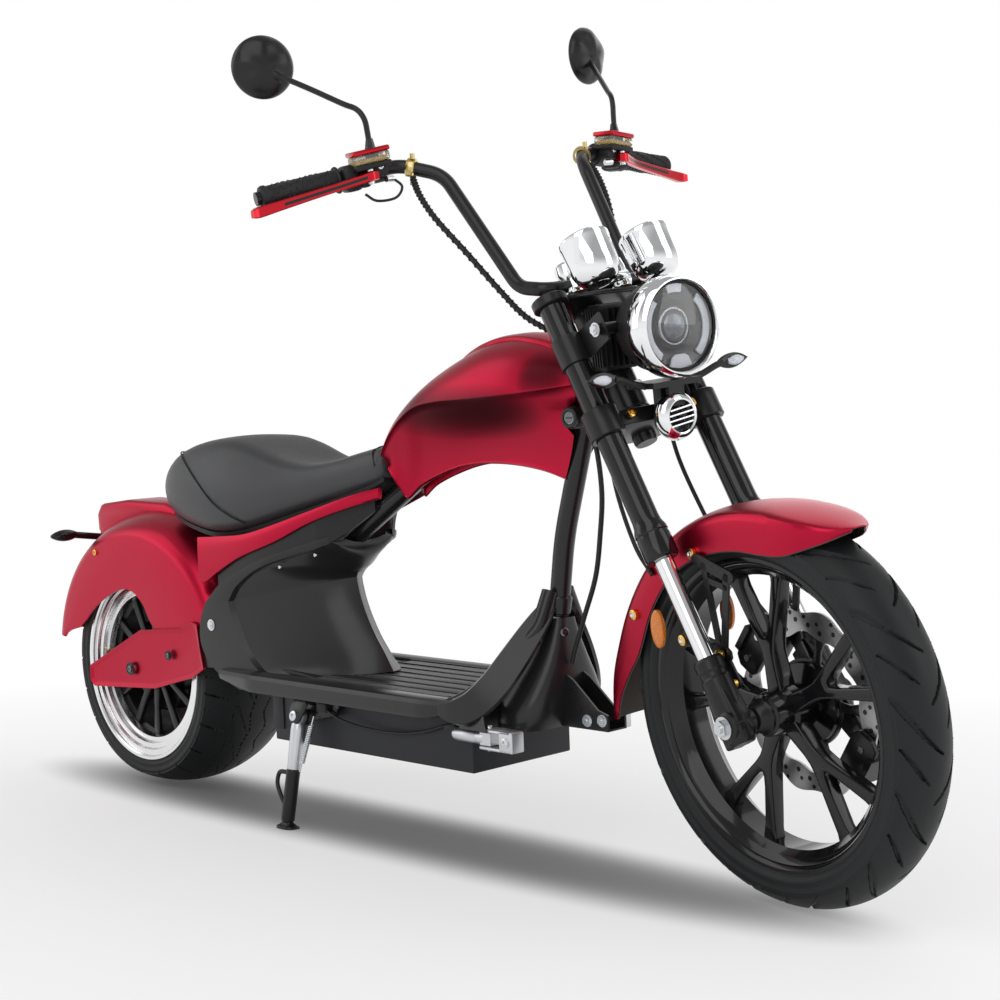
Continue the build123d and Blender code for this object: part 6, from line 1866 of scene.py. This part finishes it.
    def flashers(self, shop: Workshop) -> None:
        """Leaf-shaped indicators on short stalks."""
        backs, fronts, inners, stalks = Form(), Form(), Form(), Form()
        arc = [math.pi * k / 12 for k in range(13)]
        for side in SIDES:
            rows_back, rows_front, rows_inner = [], [], []
            for n in range(17):
                t = n / 16
                y = side * (102 + 56 * t)
                tall = 11.5 * math.sin(math.pi * min(1.0, 0.12 + 0.88 * t)) ** 0.75 + 0.3
                deep = tall * 1.25
                mid = 790 + 3 * t
                inside = max(0.0, math.sin(math.pi * held((t - 0.14) / 0.80))) ** 0.6
                rows_back.append(bow((1322, y, mid), -deep, tall, arc) + bow((1322, y, mid), 3.0, tall, arc[-2:0:-1]))
                rows_front.append(bow((1322.3, y, mid), (2.4 + deep * 0.6) * inside, tall * 0.74 * inside, arc))
                rows_inner.append(bow((1325.2, y, mid), deep * 0.22 * inside, tall * 0.5 * inside, arc))
            backs.loft(rows_back)
            fronts.loft(rows_front[3:-1])
            inners.loft(rows_inner[4:-3])
            stalks.pipe([(1318, side * 46, 772), (1320, side * 70, 779), (1322, side * 92, 787),
                         (1322, side * 106, 790)], 5.2, 16)
        shop.piece("flasher_backs", backs, "gloss black", "steering", ("front_indicators",), sharp=60)
        shop.piece("flasher_lenses", fronts, "clear plastic", "steering", sharp=60)
        shop.piece("flasher_inners", inners, "light guide", "steering", sharp=60)
        shop.piece("flasher_stalks", stalks, "moulded black", "steering", sharp=60)

    def brackets(self, shop: Workshop) -> None:
        """Finned box behind the lamp and small fixings."""
        box = Form().box((1192, -44, 796), (1228, 20, 898))
        box.bevel(4.0, 2, 30)
        for k in range(6):
            box.box((1228, -40 + 11 * k, 802), (1238, -37 + 11 * k, 892))
            box.box((1195 + 6 * k, -50, 802), (1197.5 + 6 * k, -44, 892))
        shop.piece("regulator_box", box, "moulded black", "steering", sharp=40)
        zinc = Form()
        for side in SIDES:
            zinc.bolt((1277, side * 97, 864), (0, side, 0), 8.0, Bolt.HEX, 5.0)
            zinc.bolt((1300, side * 44, 778), UP, 6.0, Bolt.HEX, 4.0)
        shop.piece("lamp_fixings", zinc, "zinc steel", "steering")


@dataclass
class Dials:
    """Two tall cups with their dials."""

    half: float = 59.0
    base: float = 680.0
    ahead: float = 84.0

    def build(self, shop: Workshop) -> None:
        """Build both cups, their faces and marks."""
        cups, faces, glass, marks = Form(), Form(), Form(), Form()
        up = STANCE.fork_up
        for side in SIDES:
            foot = STANCE.on_fork(self.base, side * self.half, self.ahead)
            cups.spin([(0, 0.5), (0, 10), (1.2, 18), (4, 25), (9, 31), (16, 35.5), (25, 38), (36, 39), (68, 39.6),
                       (70, 40.6), (76, 40.6), (78, 39.2), (78, 37), (70, 36), (66, 36), (66, 0.5)], foot, up,
                      steps=96, closed=False)
            faces.spin([(66.2, 0.5), (66.2, 35.8), (67.4, 35.8), (67.4, 0.5)], foot, up, steps=64, closed=False)
            glass.spin([(72, 0.5), (72, 36), (73.4, 36), (74.4, 20), (74.6, 0.5)], foot, up, steps=64, closed=False)
            for k in range(21):
                turn = math.radians(-135 + 270 * k / 20)
                way = STANCE.fork_fwd * math.cos(turn) + Vector(LEFT) * math.sin(turn)
                reach = 24 if k % 5 == 0 else 28
                marks.rod(foot + up * 67.6 + way * reach, foot + up * 67.6 + way * 32, 0.7, sides=6)
            marks.rod(foot + up * 68.4, foot + up * 68.4 - STANCE.fork_fwd * 22 + Vector((0, side * 12, 0)), 0.8,
                      0.4, 8)
            marks.rod(foot + up * 67.6, foot + up * 69.4, 3.0, sides=16)
        shop.piece("dial_cup_shells", cups, "chrome", "steering", ("dial_cups",), sharp=30)
        shop.piece("dial_plates", faces, "gloss black", "steering", ("dial_faces",))
        shop.piece("dial_marks", marks, "light guide", "steering")
        shop.piece("dial_glass", glass, "clear plastic", "steering")


@dataclass
class BarEnd:
    """Grip, switches, lever, reservoir and mirror of one side of the handlebar."""

    side: int
    turn: tuple[float, float, float] = (930.0, -185.0, 1147.0)
    run: tuple[float, float, float] = (-0.25, -1.0, -0.14)

    def flip(self, x: float, y: float, z: float) -> Vector:
        """Point given for the right side, on this side."""
        return Vector((x, -self.side * y, z))

    def spot(self, reach: float) -> Vector:
        """Point of the bar's axis at a distance out from the middle."""
        run = Vector(self.run).normalized()
        along = (reach + self.turn[1]) / -run.y
        point = Vector(self.turn) + run * along
        return self.flip(*point)

    def axis(self) -> Vector:
        """Direction outward along the bar's end."""
        return self.flip(*Vector(self.run).normalized())

    def axes(self) -> Matrix:
        """Outward, upward and forward directions at the grip, as columns."""
        out = self.axis()
        ahead = Vector(FORWARD)
        ahead = (ahead - out * ahead.dot(out)).normalized()
        up = ahead.cross(out) * (1 if self.side < 0 else -1)
        if up.z < 0:
            up = -up
        return Matrix((out, up, ahead)).transposed()

    def at(self, reach: float, up: float, ahead: float) -> Vector:
        """Point near the bar, by distance out, up and ahead."""
        axes = self.axes()
        return self.spot(reach) + axes.col[1] * up + axes.col[2] * ahead

    def block(self, form: Form, reach: float, up: float, ahead: float, size: Point, round_by: float) -> None:
        """Add a rounded block near the bar to a form."""
        part = Form()
        middle = self.at(reach, up, ahead)
        half = Vector(size) / 2
        part.box(middle - half, middle + half, self.axes())
        part.bevel(round_by, 3, 30)
        form.add(part)

    def grip(self, form: Form) -> None:
        """Grip sleeve with a flange, rings and swept tread bars."""
        out = self.axis()
        start, axes = self.spot(286), self.axes()
        form.spin([(0, 11.2), (0, 20.5), (2, 21.5), (5, 20.5), (6.5, 17.2), (118, 17.0), (120, 18.6), (125, 18.8),
                   (129, 17.0), (130, 11.2)], start, out, steps=64)
        for k in range(9):
            for lane in range(6):
                a0 = math.tau * lane / 6 + 0.25 * k
                points = []
                for n in range(7):
                    t = n / 6
                    a = a0 + 0.75 * t
                    along = 14 + 11.5 * k + 9.5 * t * t
                    way = axes.col[1] * math.cos(a) + axes.col[2] * math.sin(a)
                    points.append(start + out * along + way * 17.2)
                form.pipe(points, 1.1, 6, smooth=False)

    def controls(self, shop: Workshop, name: str) -> None:
        """Switch housing, clamp, perch and reservoir."""
        body = Form()
        self.block(body, 268, -2, 2, (30, 42, 44), 9.0)
        self.block(body, 250, -8, 10, (16, 26, 30), 5.0)
        body.spin([(-13, 11.1), (-13, 17), (-11, 19), (11, 19), (13, 17), (13, 11.1)], self.spot(226), self.axis(),
                  steps=40)
        self.block(body, 226, 2, 20, (26, 22, 26), 3.0)
        self.block(body, 238, 10, 24, (60, 9, 42), 3.0)
        shop.piece(f"controls_{name}", body, "moulded black", "steering",
                   ("bar_controls",) if self.side < 0 else (), sharp=40)
        glass, gold, cap = Form(), Form(), Form()
        self.block(glass, 238, 22, 24, (60, 15, 42), 5.0)
        self.block(gold, 238, 19, 24, (50, 7, 34), 2.0)
        self.block(cap, 238, 33, 24, (62, 8, 44), 3.0)
        shop.piece(f"reservoir_{name}", glass, "smoked plastic", "steering", sharp=50)
        shop.piece(f"reservoir_float_{name}", gold, "yellow plastic", "steering", sharp=50)
        shop.piece(f"reservoir_cap_{name}", cap, "red anodised", "steering", sharp=40)
        clamp = Form().spin([(-7, 11.2), (-7, 14.5), (-5.5, 15.2), (5.5, 15.2), (7, 14.5), (7, 11.2)],
                            self.flip(944, -172, 1141), self.flip(-0.72, -0.63, 0.26), steps=40)
        screw = self.flip(952, -174, 1154)
        clamp.rod(screw, screw + self.flip(0.6, 0, 9), 4.0, sides=14)
        clamp.rod(self.flip(952, -176, 1134), self.flip(958, -184, 1114), 3.4, 2.8, 10)
        shop.piece(f"hose_clip_{name}", clamp, "brass", "steering", sharp=30)
        knobs = Form()
        knobs.bolt(self.at(246, 34, 12), self.axes().col[1], 3.4, Bolt.BUTTON)
        knobs.bolt(self.at(226, 34, 38), self.axes().col[1], 3.4, Bolt.BUTTON)
        knobs.bolt(self.at(226, 6, 33), self.axes().col[2], 4.4, Bolt.SOCKET)
        shop.piece(f"perch_screws_{name}", knobs, "zinc steel", "steering")

    def lever(self, shop: Workshop, name: str) -> None:
        """Red lever with a dark recess along it and a hooked tip."""
        route = [(950, -243, 1133), (952, -256, 1132), (946, -268, 1129), (930, -300, 1121), (914, -350, 1110),
                 (900, -400, 1099), (893, -428, 1093), (897, -440, 1091)]
        widths = [9, 10, 9, 7.5, 7, 7, 8, 5]
        talls = [7, 8, 7.5, 6.5, 7, 8, 8.6, 6]
        shape = [(-1, -0.8), (-0.7, -1), (0.7, -1), (1, -0.8), (1, 0.8), (0.7, 1), (-0.7, 1), (-1, 0.8)]
        bar = Form()
        rows = []
        dense = flow([(*p, w, h) for p, w, h in zip(route, widths, talls)], 29)
        for x, y, z, w, h in dense:
            spot = self.flip(x, y, z)
            rows.append([spot + Vector((a * w, 0, u * h)) for a, u in shape])
        bar.loft(rows)
        shop.piece(f"lever_{name}", bar, "red anodised", "steering",
                   ("brake_levers",) if self.side < 0 else (), sharp=30)
        recess = Form()
        rows = []
        for x, y, z, w, h in dense[7:20]:
            spot = self.flip(x, y, z)
            rows.append([spot + Vector((w - 1.5, 0, -2.4)), spot + Vector((w + 0.25, 0, -2.4)),
                         spot + Vector((w + 0.25, 0, 2.4)), spot + Vector((w - 1.5, 0, 2.4))])
        recess.loft(rows)
        shop.piece(f"lever_recess_{name}", recess, "frame black", "steering")
        adjuster = Form()
        adjuster.rod(self.flip(952, -214, 1126), self.flip(954, -228, 1126), 5.0, sides=16)
        adjuster.rod(self.flip(951, -254, 1143), self.flip(951, -254, 1120), 5.5, sides=20)
        shop.piece(f"lever_pivot_{name}", adjuster, "zinc steel", "steering")

    def mirror(self, shop: Workshop, name: str) -> None:
        """Round mirror with a faceted back on its bent stem."""
        stem = Form().pipe([self.flip(*p) for p in ((946, -246, 1160), (945.6, -247.5, 1200), (944, -250, 1222),
                                                    (934, -256, 1238), (912, -267, 1250), (860, -293, 1281),
                                                    (806, -321, 1312))], 4.6, 20, steps=8)
        base = self.flip(946, -246, 1160)
        stem.spin([(0, 4.6), (0, 10.5), (12, 10.5), (15, 8.6), (30, 5.6), (31, 4.6)], base, UP, steps=6)
        shop.piece(f"mirror_stem_{name}", stem, "satin black", "steering",
                   ("mirrors",) if self.side < 0 else (), sharp=40)
        toe = math.radians(18.0)
        facing = Vector((math.cos(toe), self.side * math.sin(toe), 0))
        centre = self.flip(786, -330, 1326)
        back = Form().spin([(-5, 46.5), (-5.5, 49.4), (-2, 50.6), (2, 49.6), (8, 46), (14, 38), (18.6, 26), (20.6, 12),
                            (21, 0.4), (-2, 0.4), (-2, 46.5)], centre, facing, steps=64, closed=False)
        tall = Vector(UP)
        wide = facing.cross(tall)
        for vert in back.bm.verts:
            away = vert.co - centre
            reach = math.hypot(away.dot(tall), away.dot(wide))
            rise = away.dot(facing)
            if rise > 1 and reach > 18:
                turn = math.atan2(away.dot(tall), away.dot(wide))
                lobe = math.cos(5 * turn / 2 + 0.6) ** 2
                vert.co -= facing * (3.2 * lobe * min(1.0, (reach - 18) / 12) * min(1.0, (rise - 1) / 6))
        shop.piece(f"mirror_back_{name}", back, "satin black", "steering", sharp=50)
        glass = Form().spin([(-5.2, 0.4), (-5.2, 46.2), (-3, 46.2), (-3, 0.4)], centre, facing, steps=64, closed=False)
        shop.piece(f"mirror_glass_{name}", glass, "mirror glass", "steering")
        joint = Form().spin([(0, 0.4), (0, 7), (9, 6.4), (13, 4.8), (13, 0.4)], self.flip(802, -322, 1313),
                            self.flip(0.86, 0.44, -0.5), steps=24, closed=False)
        joint.bolt(centre + facing * 18.4 + wide * (self.side * 13) + tall * -3, facing, 3.4, Bolt.BUTTON)
        shop.piece(f"mirror_joint_{name}", joint, "moulded black", "steering")


@dataclass
class Handlebar:
    """Bar with everything mounted on it."""

    hose_steps: int = 421
    per_coil: int = 10

    def build(self, shop: Workshop) -> None:
        """Build the risers, both bar ends and the hoses."""
        risers = Form()
        mid = Vector((1166, 0, 929))
        ahead = (mid - Vector(STANCE.front_axle)).dot(STANCE.fork_fwd)
        for side in SIDES:
            foot = STANCE.on_fork(0.0, side * 45, ahead)
            risers.spin([(708, 0.5), (708, 17), (711, 18.4), (716, 18.4), (719, 15.4), (729, 15), (736, 18.6),
                         (744, 19.4), (756, 18.2), (761, 14), (762, 0.5)], foot, STANCE.fork_up, steps=48,
                        closed=False)
            risers.spin([(-14, 11.3), (-14, 17), (-12, 19), (12, 19), (14, 17), (14, 11.3)],
                        (mid.x, side * 45, mid.z), LEFT, steps=48)
        shop.piece("bar_risers", risers, "chrome", "steering", ("bar_clamps",), sharp=30)
        grips = Form()
        for side, name in SIDE_NAMES.items():
            end = BarEnd(side)
            end.grip(grips)
            end.controls(shop, name)
            end.lever(shop, name)
            end.mirror(shop, name)
        shop.piece("grip_sleeves", grips, "grip rubber", "steering", ("grips",), sharp=40)
        self.hoses(shop)

    def hoses(self, shop: Workshop) -> None:
        """Spiral-wrapped hoses from the bar down into the yokes, and thin cables."""
        route = [(956, -180, 1126), (974, -182, 1096), (1000, -174, 1056), (1040, -150, 998), (1080, -122, 934),
                 (1112, -101, 890), (1160, -80, 858), (1204, -64, 826)]
        core, wrap = Form(), Form()
        for side in SIDES:
            points = [(x, -side * y, z) for x, y, z in route]
            core.pipe(points, 4.4, 14)
            line = flow(points, self.hose_steps)
            coil = []
            for i, spot in enumerate(line):
                run = heading(line, i)
                first = Vector(LEFT).cross(run).normalized()
                second = run.cross(first)
                turn = math.tau * i / self.per_coil
                coil.append(spot + (first * math.cos(turn) + second * math.sin(turn)) * 4.8)
            wrap.pipe(coil, 1.3, 5, smooth=False)
        shop.piece("hose_cores", core, "hose rubber", "steering", ("brake_hoses",), sharp=60)
        shop.piece("hose_wraps", wrap, "hose rubber", "steering", sharp=60)
        thin = Form()
        thin.pipe([(1236, -60, 704), (1240, -64, 660), (1254, -66, 600), (1284, -67, 530), (1318, -68, 490)], 3.4, 12)
        thin.pipe([(1236, 60, 704), (1244, 70, 640), (1276, 80, 560), (1330, 84, 470), (1400, 86, 400),
                   (1450, 84, 366)], 3.4, 12)
        thin.pipe([(953, -214, 1126), (960, -204, 1112), (954, -214, 1096), (940, -240, 1094), (932, -256, 1106)],
                  2.2, 10)
        shop.piece("thin_cables", thin, "hose rubber", "steering", sharp=60)


@dataclass
class Deck:
    """Footboard, its edges, the nose under the down tube and the battery box."""

    edge: float = 166.0

    def build(self, shop: Workshop) -> None:
        """Build the deck and what hangs under it."""
        self.board(shop)
        self.skirts(shop)
        self.nose(shop)
        self.battery(shop)
        self.pegs(shop)

    def board(self, shop: Workshop) -> None:
        """Ribbed board with its raised step at the back."""
        board = Form().box((336, -130, 250), (990, 130, 266.5))
        board.bevel(2.0, 2, 30)
        shop.piece("deck_board", board, "deck grey", "chassis", stands_for=("footboard",), sharp=30)
        step = Form()
        step.plate([(338, 266), (338, 275), (470, 275), (486, 273), (540, 268), (556, 266)], (0, -104, 0), FORWARD,
                   UP, -208)
        step.bevel(3.0, 3, 20)
        shop.piece("deck_step", step, "deck grey", "chassis", sharp=30)
        smooth_ribs, knurled = Form(), Form()
        for k in range(7):
            y = -105 + 35 * k
            rib = Form().plate([(y - 13, 266), (y - 12, 269.6), (y + 12, 269.6), (y + 13, 266)], (560, 0, 0),
                               LEFT, UP, 395)
            (knurled if k % 2 == 0 else smooth_ribs).add(rib)
        for k in range(8):
            y = -122.5 + 35 * k
            smooth_ribs.box((548, y - 2.4, 265), (962, y + 2.4, 271.0))
        knurled.bevel(1.0, 2, 30)
        smooth_ribs.bevel(1.2, 2, 30)
        # the knurled ribs are lighter than the rest partly by painted sheen
        shop.piece("deck_ribs_knurled", knurled, "deck rubber and painted sheen", "chassis", sharp=40)
        shop.piece("deck_ribs_smooth", smooth_ribs, "deck grey", "chassis", sharp=40)
        latch = Form()
        latch.spin([(0, 6), (0, 9), (1.6, 9.6), (3, 8.8), (3, 6)], (470, -18, 275), UP, steps=36)
        latch.spin([(0, 0.4), (2, 0.4), (2.4, 4.6), (1.2, 5.8), (0, 5.8)], (470, -18, 275), UP, steps=30,
                   closed=False)
        shop.piece("deck_latch", latch, "dark chrome", "chassis", sharp=30)

    def skirts(self, shop: Workshop) -> None:
        """Rolled edges along the deck that follow the rails up to the down tube."""
        skirts = Form()
        rows = []
        for n in range(46):
            x = 316 + (955 - 316) * n / 45
            back = held((x - 316) / 110)
            taper = held((x - 880) / 105) ** 1.4
            out = self.edge - 22 * taper - 20 * (1 - back)
            low = 238 + 20 * taper + 12 * (1 - back)
            lift = 5 * max(0.0, (x - 915) / 40) ** 2 if x > 915 else 0.0
            top = 272 + lift - 3 * (1 - back)
            rows.append([Vector((x, -y, z)) for y, z in
                         ((124, top - 6), (127, top - 2), (132, top), (out - 12, top), (out - 4, top - 2.5),
                          (out, top - 9), (out, low + 8 + lift), (out - 3, low + 1 + lift), (out - 8, low + lift),
                          (out - 14, low + 4 + lift), (out - 16, top - 12), (124, top - 12))])
        skirts.loft(rows).mirrored()
        shop.piece("deck_skirts", skirts, "deck trim", "chassis", sharp=30)
        strip = Form()
        spine = flow([(930, -160, 256), (958, -156, 259), (986, -143, 274), (1008, -120, 304), (1024, -94, 340),
                      (1037, -68, 374), (1047, -46, 400), (1053, -29, 416), (1057, -15, 424)], 40)
        bands = []
        facing = Vector((0.45, -0.88, 0.15)).normalized()
        for n, spot in enumerate(spine):
            run = heading(spine, n)
            wide = facing.cross(run).normalized()
            deep = run.cross(wide).normalized()
            half = (17.0 - 6.0 * (n / 39) ** 2) * min(1.0, 0.5 + n / 12) * min(1.0, (43 - n) / 9)
            skirt = 1.0 + 1.3 * math.sin(math.pi * (n / 39) ** 0.85)
            bands.append([spot + wide * (a * half * (skirt if a < 0 else 1.0)) + deep * d for a, d in
                          ((-1, -2), (-0.93, -6), (-0.6, -9.0), (0.1, -8.5), (0.5, -6.5), (0.86, -7), (1, -3),
                           (0.8, 5), (-0.9, 4))])
        strip.loft(bands).mirrored()
        shop.piece("deck_sweeps", strip, "deck trim", "chassis", sharp=50)
        lips = Form()
        lips.pipe([(930, -133, 268), (960, -132, 274), (986, -124, 291), (1006, -104, 318), (1022, -82, 344),
                   (1036, -62, 370), (1047, -44, 392), (1053, -27, 408), (1057, -12, 416)], 8.0, 18, steps=8)
        lips.mirrored()
        shop.piece("deck_lips", lips, "deck trim", "chassis", sharp=50)

    def nose(self, shop: Workshop) -> None:
        """Moulded hump that the down tube stands on."""
        rings = ((222, 1022, 48, 95), (236, 1025, 52, 96), (262, 1030, 52, 90), (292, 1037, 48, 74),
                 (322, 1043, 41, 56), (352, 1048, 33, 40), (380, 1051, 26, 28), (398, 1053, 22, 22))
        rows = [squared_ring((x, 0.0, z), (half_x, half_y), 0.62, 48) for z, x, half_x, half_y in flow(rings, 29)]
        shop.piece("nose_shell", Form().loft(rows), "deck trim", "chassis", stands_for=("nose_cover",), sharp=60)
        plates = Form()
        for y in (-18, 22):
            plates.plate([(1068, 224), (1172, 224), (1172, 250), (1150, 257), (1100, 300), (1068, 318)], (0, y, 0),
                         FORWARD, UP, 4.0)
        plates.box((1120, -18, 224), (1172, 18, 227))
        shop.piece("nose_plates", plates, "frame black", "chassis", stands_for=("nose_bracket",), sharp=30)
        gussets = Form().plate([(0, 0), (62, 0), (56, 12), (34, 62), (28, 62), (0, 22)], (960, -141, 226), FORWARD,
                               (0, 0.25, 1), 4.0)
        gussets.mirrored()
        shop.piece("deck_gussets", gussets, "frame black", "chassis", sharp=30)
        knob = Form().bolt((1078, -16, 376), (0.9, -0.42, 0.1), 7.0, Bolt.SOCKET, 3.0)
        shop.piece("nose_screw", knob, "dark chrome", "chassis")
        bolts = Form()
        bolts.bolt((1128, -22, 238), RIGHT, 7.4, Bolt.HEX, 5.0)
        bolts.bolt((1160, -22, 241), RIGHT, 7.4, Bolt.HEX, 5.0)
        shop.piece("nose_bolts", bolts, "zinc steel", "chassis")

    def battery(self, shop: Workshop) -> None:
        """Folded sheet box with its flanges."""
        box = Form().box((440, -115, 147), (959, 115, 250))
        box.bevel(3.0, 3, 30)
        shop.piece("battery_case", box, "battery grey", "chassis", stands_for=("battery_box",), sharp=30)
        plates = Form().box((439, -117.5, 168), (468, -114, 236))
        plates.box((470, -116.6, 238), (950, -114, 250))
        plates.bevel(1.0, 2, 30)
        plates.mirrored()
        shop.piece("battery_flanges", plates, "battery grey", "chassis", sharp=30)

    def pegs(self, shop: Workshop) -> None:
        """Folding pegs, folded back along the deck, and their forked mounts."""
        forks = Form()
        for side in SIDES:
            y = side * 128
            for z in (197, 225.5):
                forks.plate([(-14, -11), (-8, -14), (60, -14), (60, 14), (-8, 14), (-14, 11)], (1012, y, z), FORWARD,
                            LEFT, 5.5)
            forks.box((1046, y - 14, 197), (1076, y + 14, 231))
        forks.bevel(2.2, 3, 30)
        shop.piece("peg_forks", forks, "cast alloy", "chassis", stands_for=("peg_clevises",), sharp=30)
        bolts = Form()
        for side in SIDES:
            bolts.bolt((1062, side * 142, 214), (0, side, 0), 7.5, Bolt.SOCKET, 4.0)
            bolts.rod((1012, side * 128, 194), (1012, side * 128, 234), 4.0, sides=20)
            bolts.bolt((1012, side * 128, 231), UP, 7.0, Bolt.BUTTON, 4.0)
        shop.piece("peg_bolts", bolts, "zinc steel", "chassis")
        for side, name in SIDE_NAMES.items():
            peg = Form()
            y = side * 128
            peg.spin([(0, 0.5), (-2, 5), (2, 9.6), (8, 11.3), (52, 11.6), (54, 10.6), (57, 10.6), (59, 11.8),
                      (72, 11.8), (76, 9.0), (86, 8.6), (86, 0.5)], (932, y, 214), FORWARD, steps=48, closed=False)
            peg.box((1000, y - 10, 204), (1024, y + 10, 224))
            node = f"foot_peg_{name}"
            shop.piece(f"peg_{name}", peg, "cast alloy", node, stands_for=(node,), sharp=30)


@dataclass
class SideStand:
    """Side stand with its spring, switch lead and bracket."""

    pivot: tuple[float, float, float] = (543.0, -140.0, 203.0)
    splay: float = 11.5
    coils: int = 22
    per_coil: int = 12

    def down(self, length: float, x: float = 0.0, out: float = 0.0) -> Vector:
        """Point down the leg, moved ahead and outward."""
        turn = math.radians(self.splay)
        along = Vector((0, -math.sin(turn), -math.cos(turn)))
        outward = Vector((0, -math.cos(turn), math.sin(turn)))
        return Vector(self.pivot) + along * length + outward * out + Vector((x, 0, 0))

    def build(self, shop: Workshop) -> None:
        """Build the leg, its sleeve, foot, spring and fixings."""
        upper = Form().spin([(8, 0.5), (8, 10), (14, 12.8), (24, 13.4), (60, 12.2), (92, 11.4), (98, 10.0),
                             (98, 0.5)], self.pivot, self.down(1) - self.down(0), steps=48, closed=False)
        eye = Form().spin([(-6, 6.2), (-6, 15), (6, 15), (6, 6.2)], self.pivot, self.down(0, 0, 1) - self.down(0),
                          steps=40)
        eye.bevel(1.0, 2, 30)
        upper.add(eye)
        shop.piece("stand_upper", upper, "cast alloy", "side_stand", stands_for=("stand_leg",), sharp=40)
        lower = Form().spin([(94, 9.2), (94, 12), (97, 13), (100, 12.4), (182, 12), (186, 10), (186, 9.2)], self.pivot,
                            self.down(1) - self.down(0), steps=48)
        lower.pipe([self.down(101, -8), self.down(101, -30), self.down(104, -38), self.down(114, -41),
                    self.down(128, -38), self.down(150, -20), self.down(158, -8)], 4.0, 14, steps=8)
        shop.piece("stand_sleeve", lower, "satin black", "side_stand", sharp=40)
        foot_at = self.down(189)
        foot = Form()
        rows = []
        for z, grow in ((0.4, 1.0), (3.0, 1.0), (5.2, 0.94), (6.0, 0.8), (12.0, 0.46), (20.0, 0.36)):
            rows.append(squared_ring((foot_at.x, foot_at.y + 1, z), (22 * grow, 16 * grow), 0.7, 40))
        foot.loft(rows)
        across, upright = STANCE.across, STANCE.upright
        for vert in foot.bm.verts:
            vert.co.z -= (STANCE.home[2] + vert.co.y * across[2]) / upright[2]
        shop.piece("stand_foot", foot, "satin black", "side_stand", sharp=40)
        top, end = Vector(self.pivot) + Vector((40, 0, 4)), self.down(96, 17.5)
        run = end - top
        coil = []
        first = Vector(LEFT).cross(run).normalized()
        second = run.normalized().cross(first)
        for k in range(self.coils * self.per_coil + 1):
            t = k / (self.coils * self.per_coil)
            turn = math.tau * k / self.per_coil
            coil.append(top + run * (0.16 + 0.68 * t) + (first * math.cos(turn) + second * math.sin(turn)) * 4.2)
        spring = Form().pipe(coil, 1.3, 6, smooth=False)
        for ends in ((top, top + run * 0.17), (end, end - run * 0.17)):
            spring.rod(ends[0], ends[1], 1.4, sides=8)
        shop.piece("stand_coil", spring, "zinc steel", "side_stand", stands_for=("stand_spring",), sharp=60)
        self.bracket(shop)

    def bracket(self, shop: Workshop) -> None:
        """Bracket plates, pivot bolt, hook and the switch with its lead."""
        plate = Form()
        for out, depth in ((-15, 7), (8, 4)):
            outline = [(-17, -8), (-10, -15), (8, -15), (20, -6), (88, 10), (92, 34), (-4, 36), (-17, 14)]
            if out > 0:
                outline = [(-15, -6), (-8, -14), (8, -14), (15, -6), (30, 20), (26, 34), (-6, 34), (-15, 12)]
            part = Form().plate(outline, self.down(0, 0, out), FORWARD, self.down(-1) - self.down(0), depth)
            part.bevel(1.6, 2, 30)
            plate.add(part)
        plate.box((528, -130, 224), (640, -112, 240))
        shop.piece("stand_mount", plate, "frame black", "chassis", stands_for=("stand_bracket",), sharp=40)
        bolt = Form()
        bolt.bolt(self.down(0, 0, 12), self.down(0, 0, 1) - self.down(0), 9.0, Bolt.SOCKET, 5.0)
        shop.piece("stand_bolt", bolt, "zinc steel", "chassis")
        lead = Form()
        lead.pipe([(604, -134, 226), (626, -136, 216), (660, -134, 205), (720, -128, 197), (790, -124, 197),
                   (850, -122, 206), (900, -122, 221), (926, -121, 226)], 2.6, 12)
        lead.pipe([(560, -134, 236), (584, -138, 238), (604, -136, 226)], 3.4, 12)
        shop.piece("stand_lead", lead, "hose rubber", "chassis", sharp=60)
        clip = Form().box((900, -124, 214), (934, -114, 224))
        clip.box((590, -140, 216), (616, -124, 232))
        clip.bevel(2.0, 2, 30)
        shop.piece("stand_switch", clip, "moulded black", "chassis", sharp=40)


@dataclass
class FrameTubes:
    """Collar at the foot of the down tube, and the lead in front of it."""

    bend: tuple[float, float, float] = (1071.0, 0.0, 528.0)
    foot: tuple[float, float, float] = (1052.0, 0.0, 400.0)

    def build(self, shop: Workshop) -> None:
        """Build the fittings of the frame."""
        run = (Vector(self.foot) - Vector(self.bend)).normalized()
        collar = Form().spin([(0, 16.8), (2, 19.6), (26, 20.4), (30, 18.6), (30, 16.8)], (1052.6, 0, 404), -run,
                             steps=40)
        shop.piece("down_tube_collar", collar, "frame black", "chassis", sharp=30)
        lead = Form()
        lead.pipe([(1150, -14, 704), (1166, -18, 660), (1172, -18, 600), (1166, -18, 540), (1152, -17, 470),
                   (1122, -16, 400), (1100, -14, 350), (1090, -12, 326)], 4.2, 14)
        shop.piece("frame_lead", lead, "hose rubber", "chassis", stands_for=("frame_cable",), sharp=60)


PLAIN_NODES = {
    "zinc steel": ("rear_axle",),
    "satin black": ("handlebar", "lamp_bracket", "head_tube"),
    "frame black": ("backbone_tube", "down_tube", "deck_rails", "swing_arms"),
    "gloss black": ("rear_indicators",),
}


def main() -> None:
    """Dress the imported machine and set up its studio."""
    logging.basicConfig(level=logging.INFO, format="%(message)s")
    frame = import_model()
    global STANCE
    STANCE = Stance.from_record(frame["record"])
    shop = Workshop()
    for finish, nodes in PLAIN_NODES.items():
        shop.dress(frame, finish, *nodes)
    Studio().build()
    for assembly in (FrontWheel(), RearWheel(), Tank(), Seat(), Bodywork(), ForkLegs(), FrontFender(), BrakeCaliper(),
                     Headlamp(), Dials(), Handlebar(), Deck(), SideStand(), FrameTubes()):
        LOG.info("building %s", type(assembly).__name__)
        assembly.build(shop)


if __name__ == "__main__":
    main()
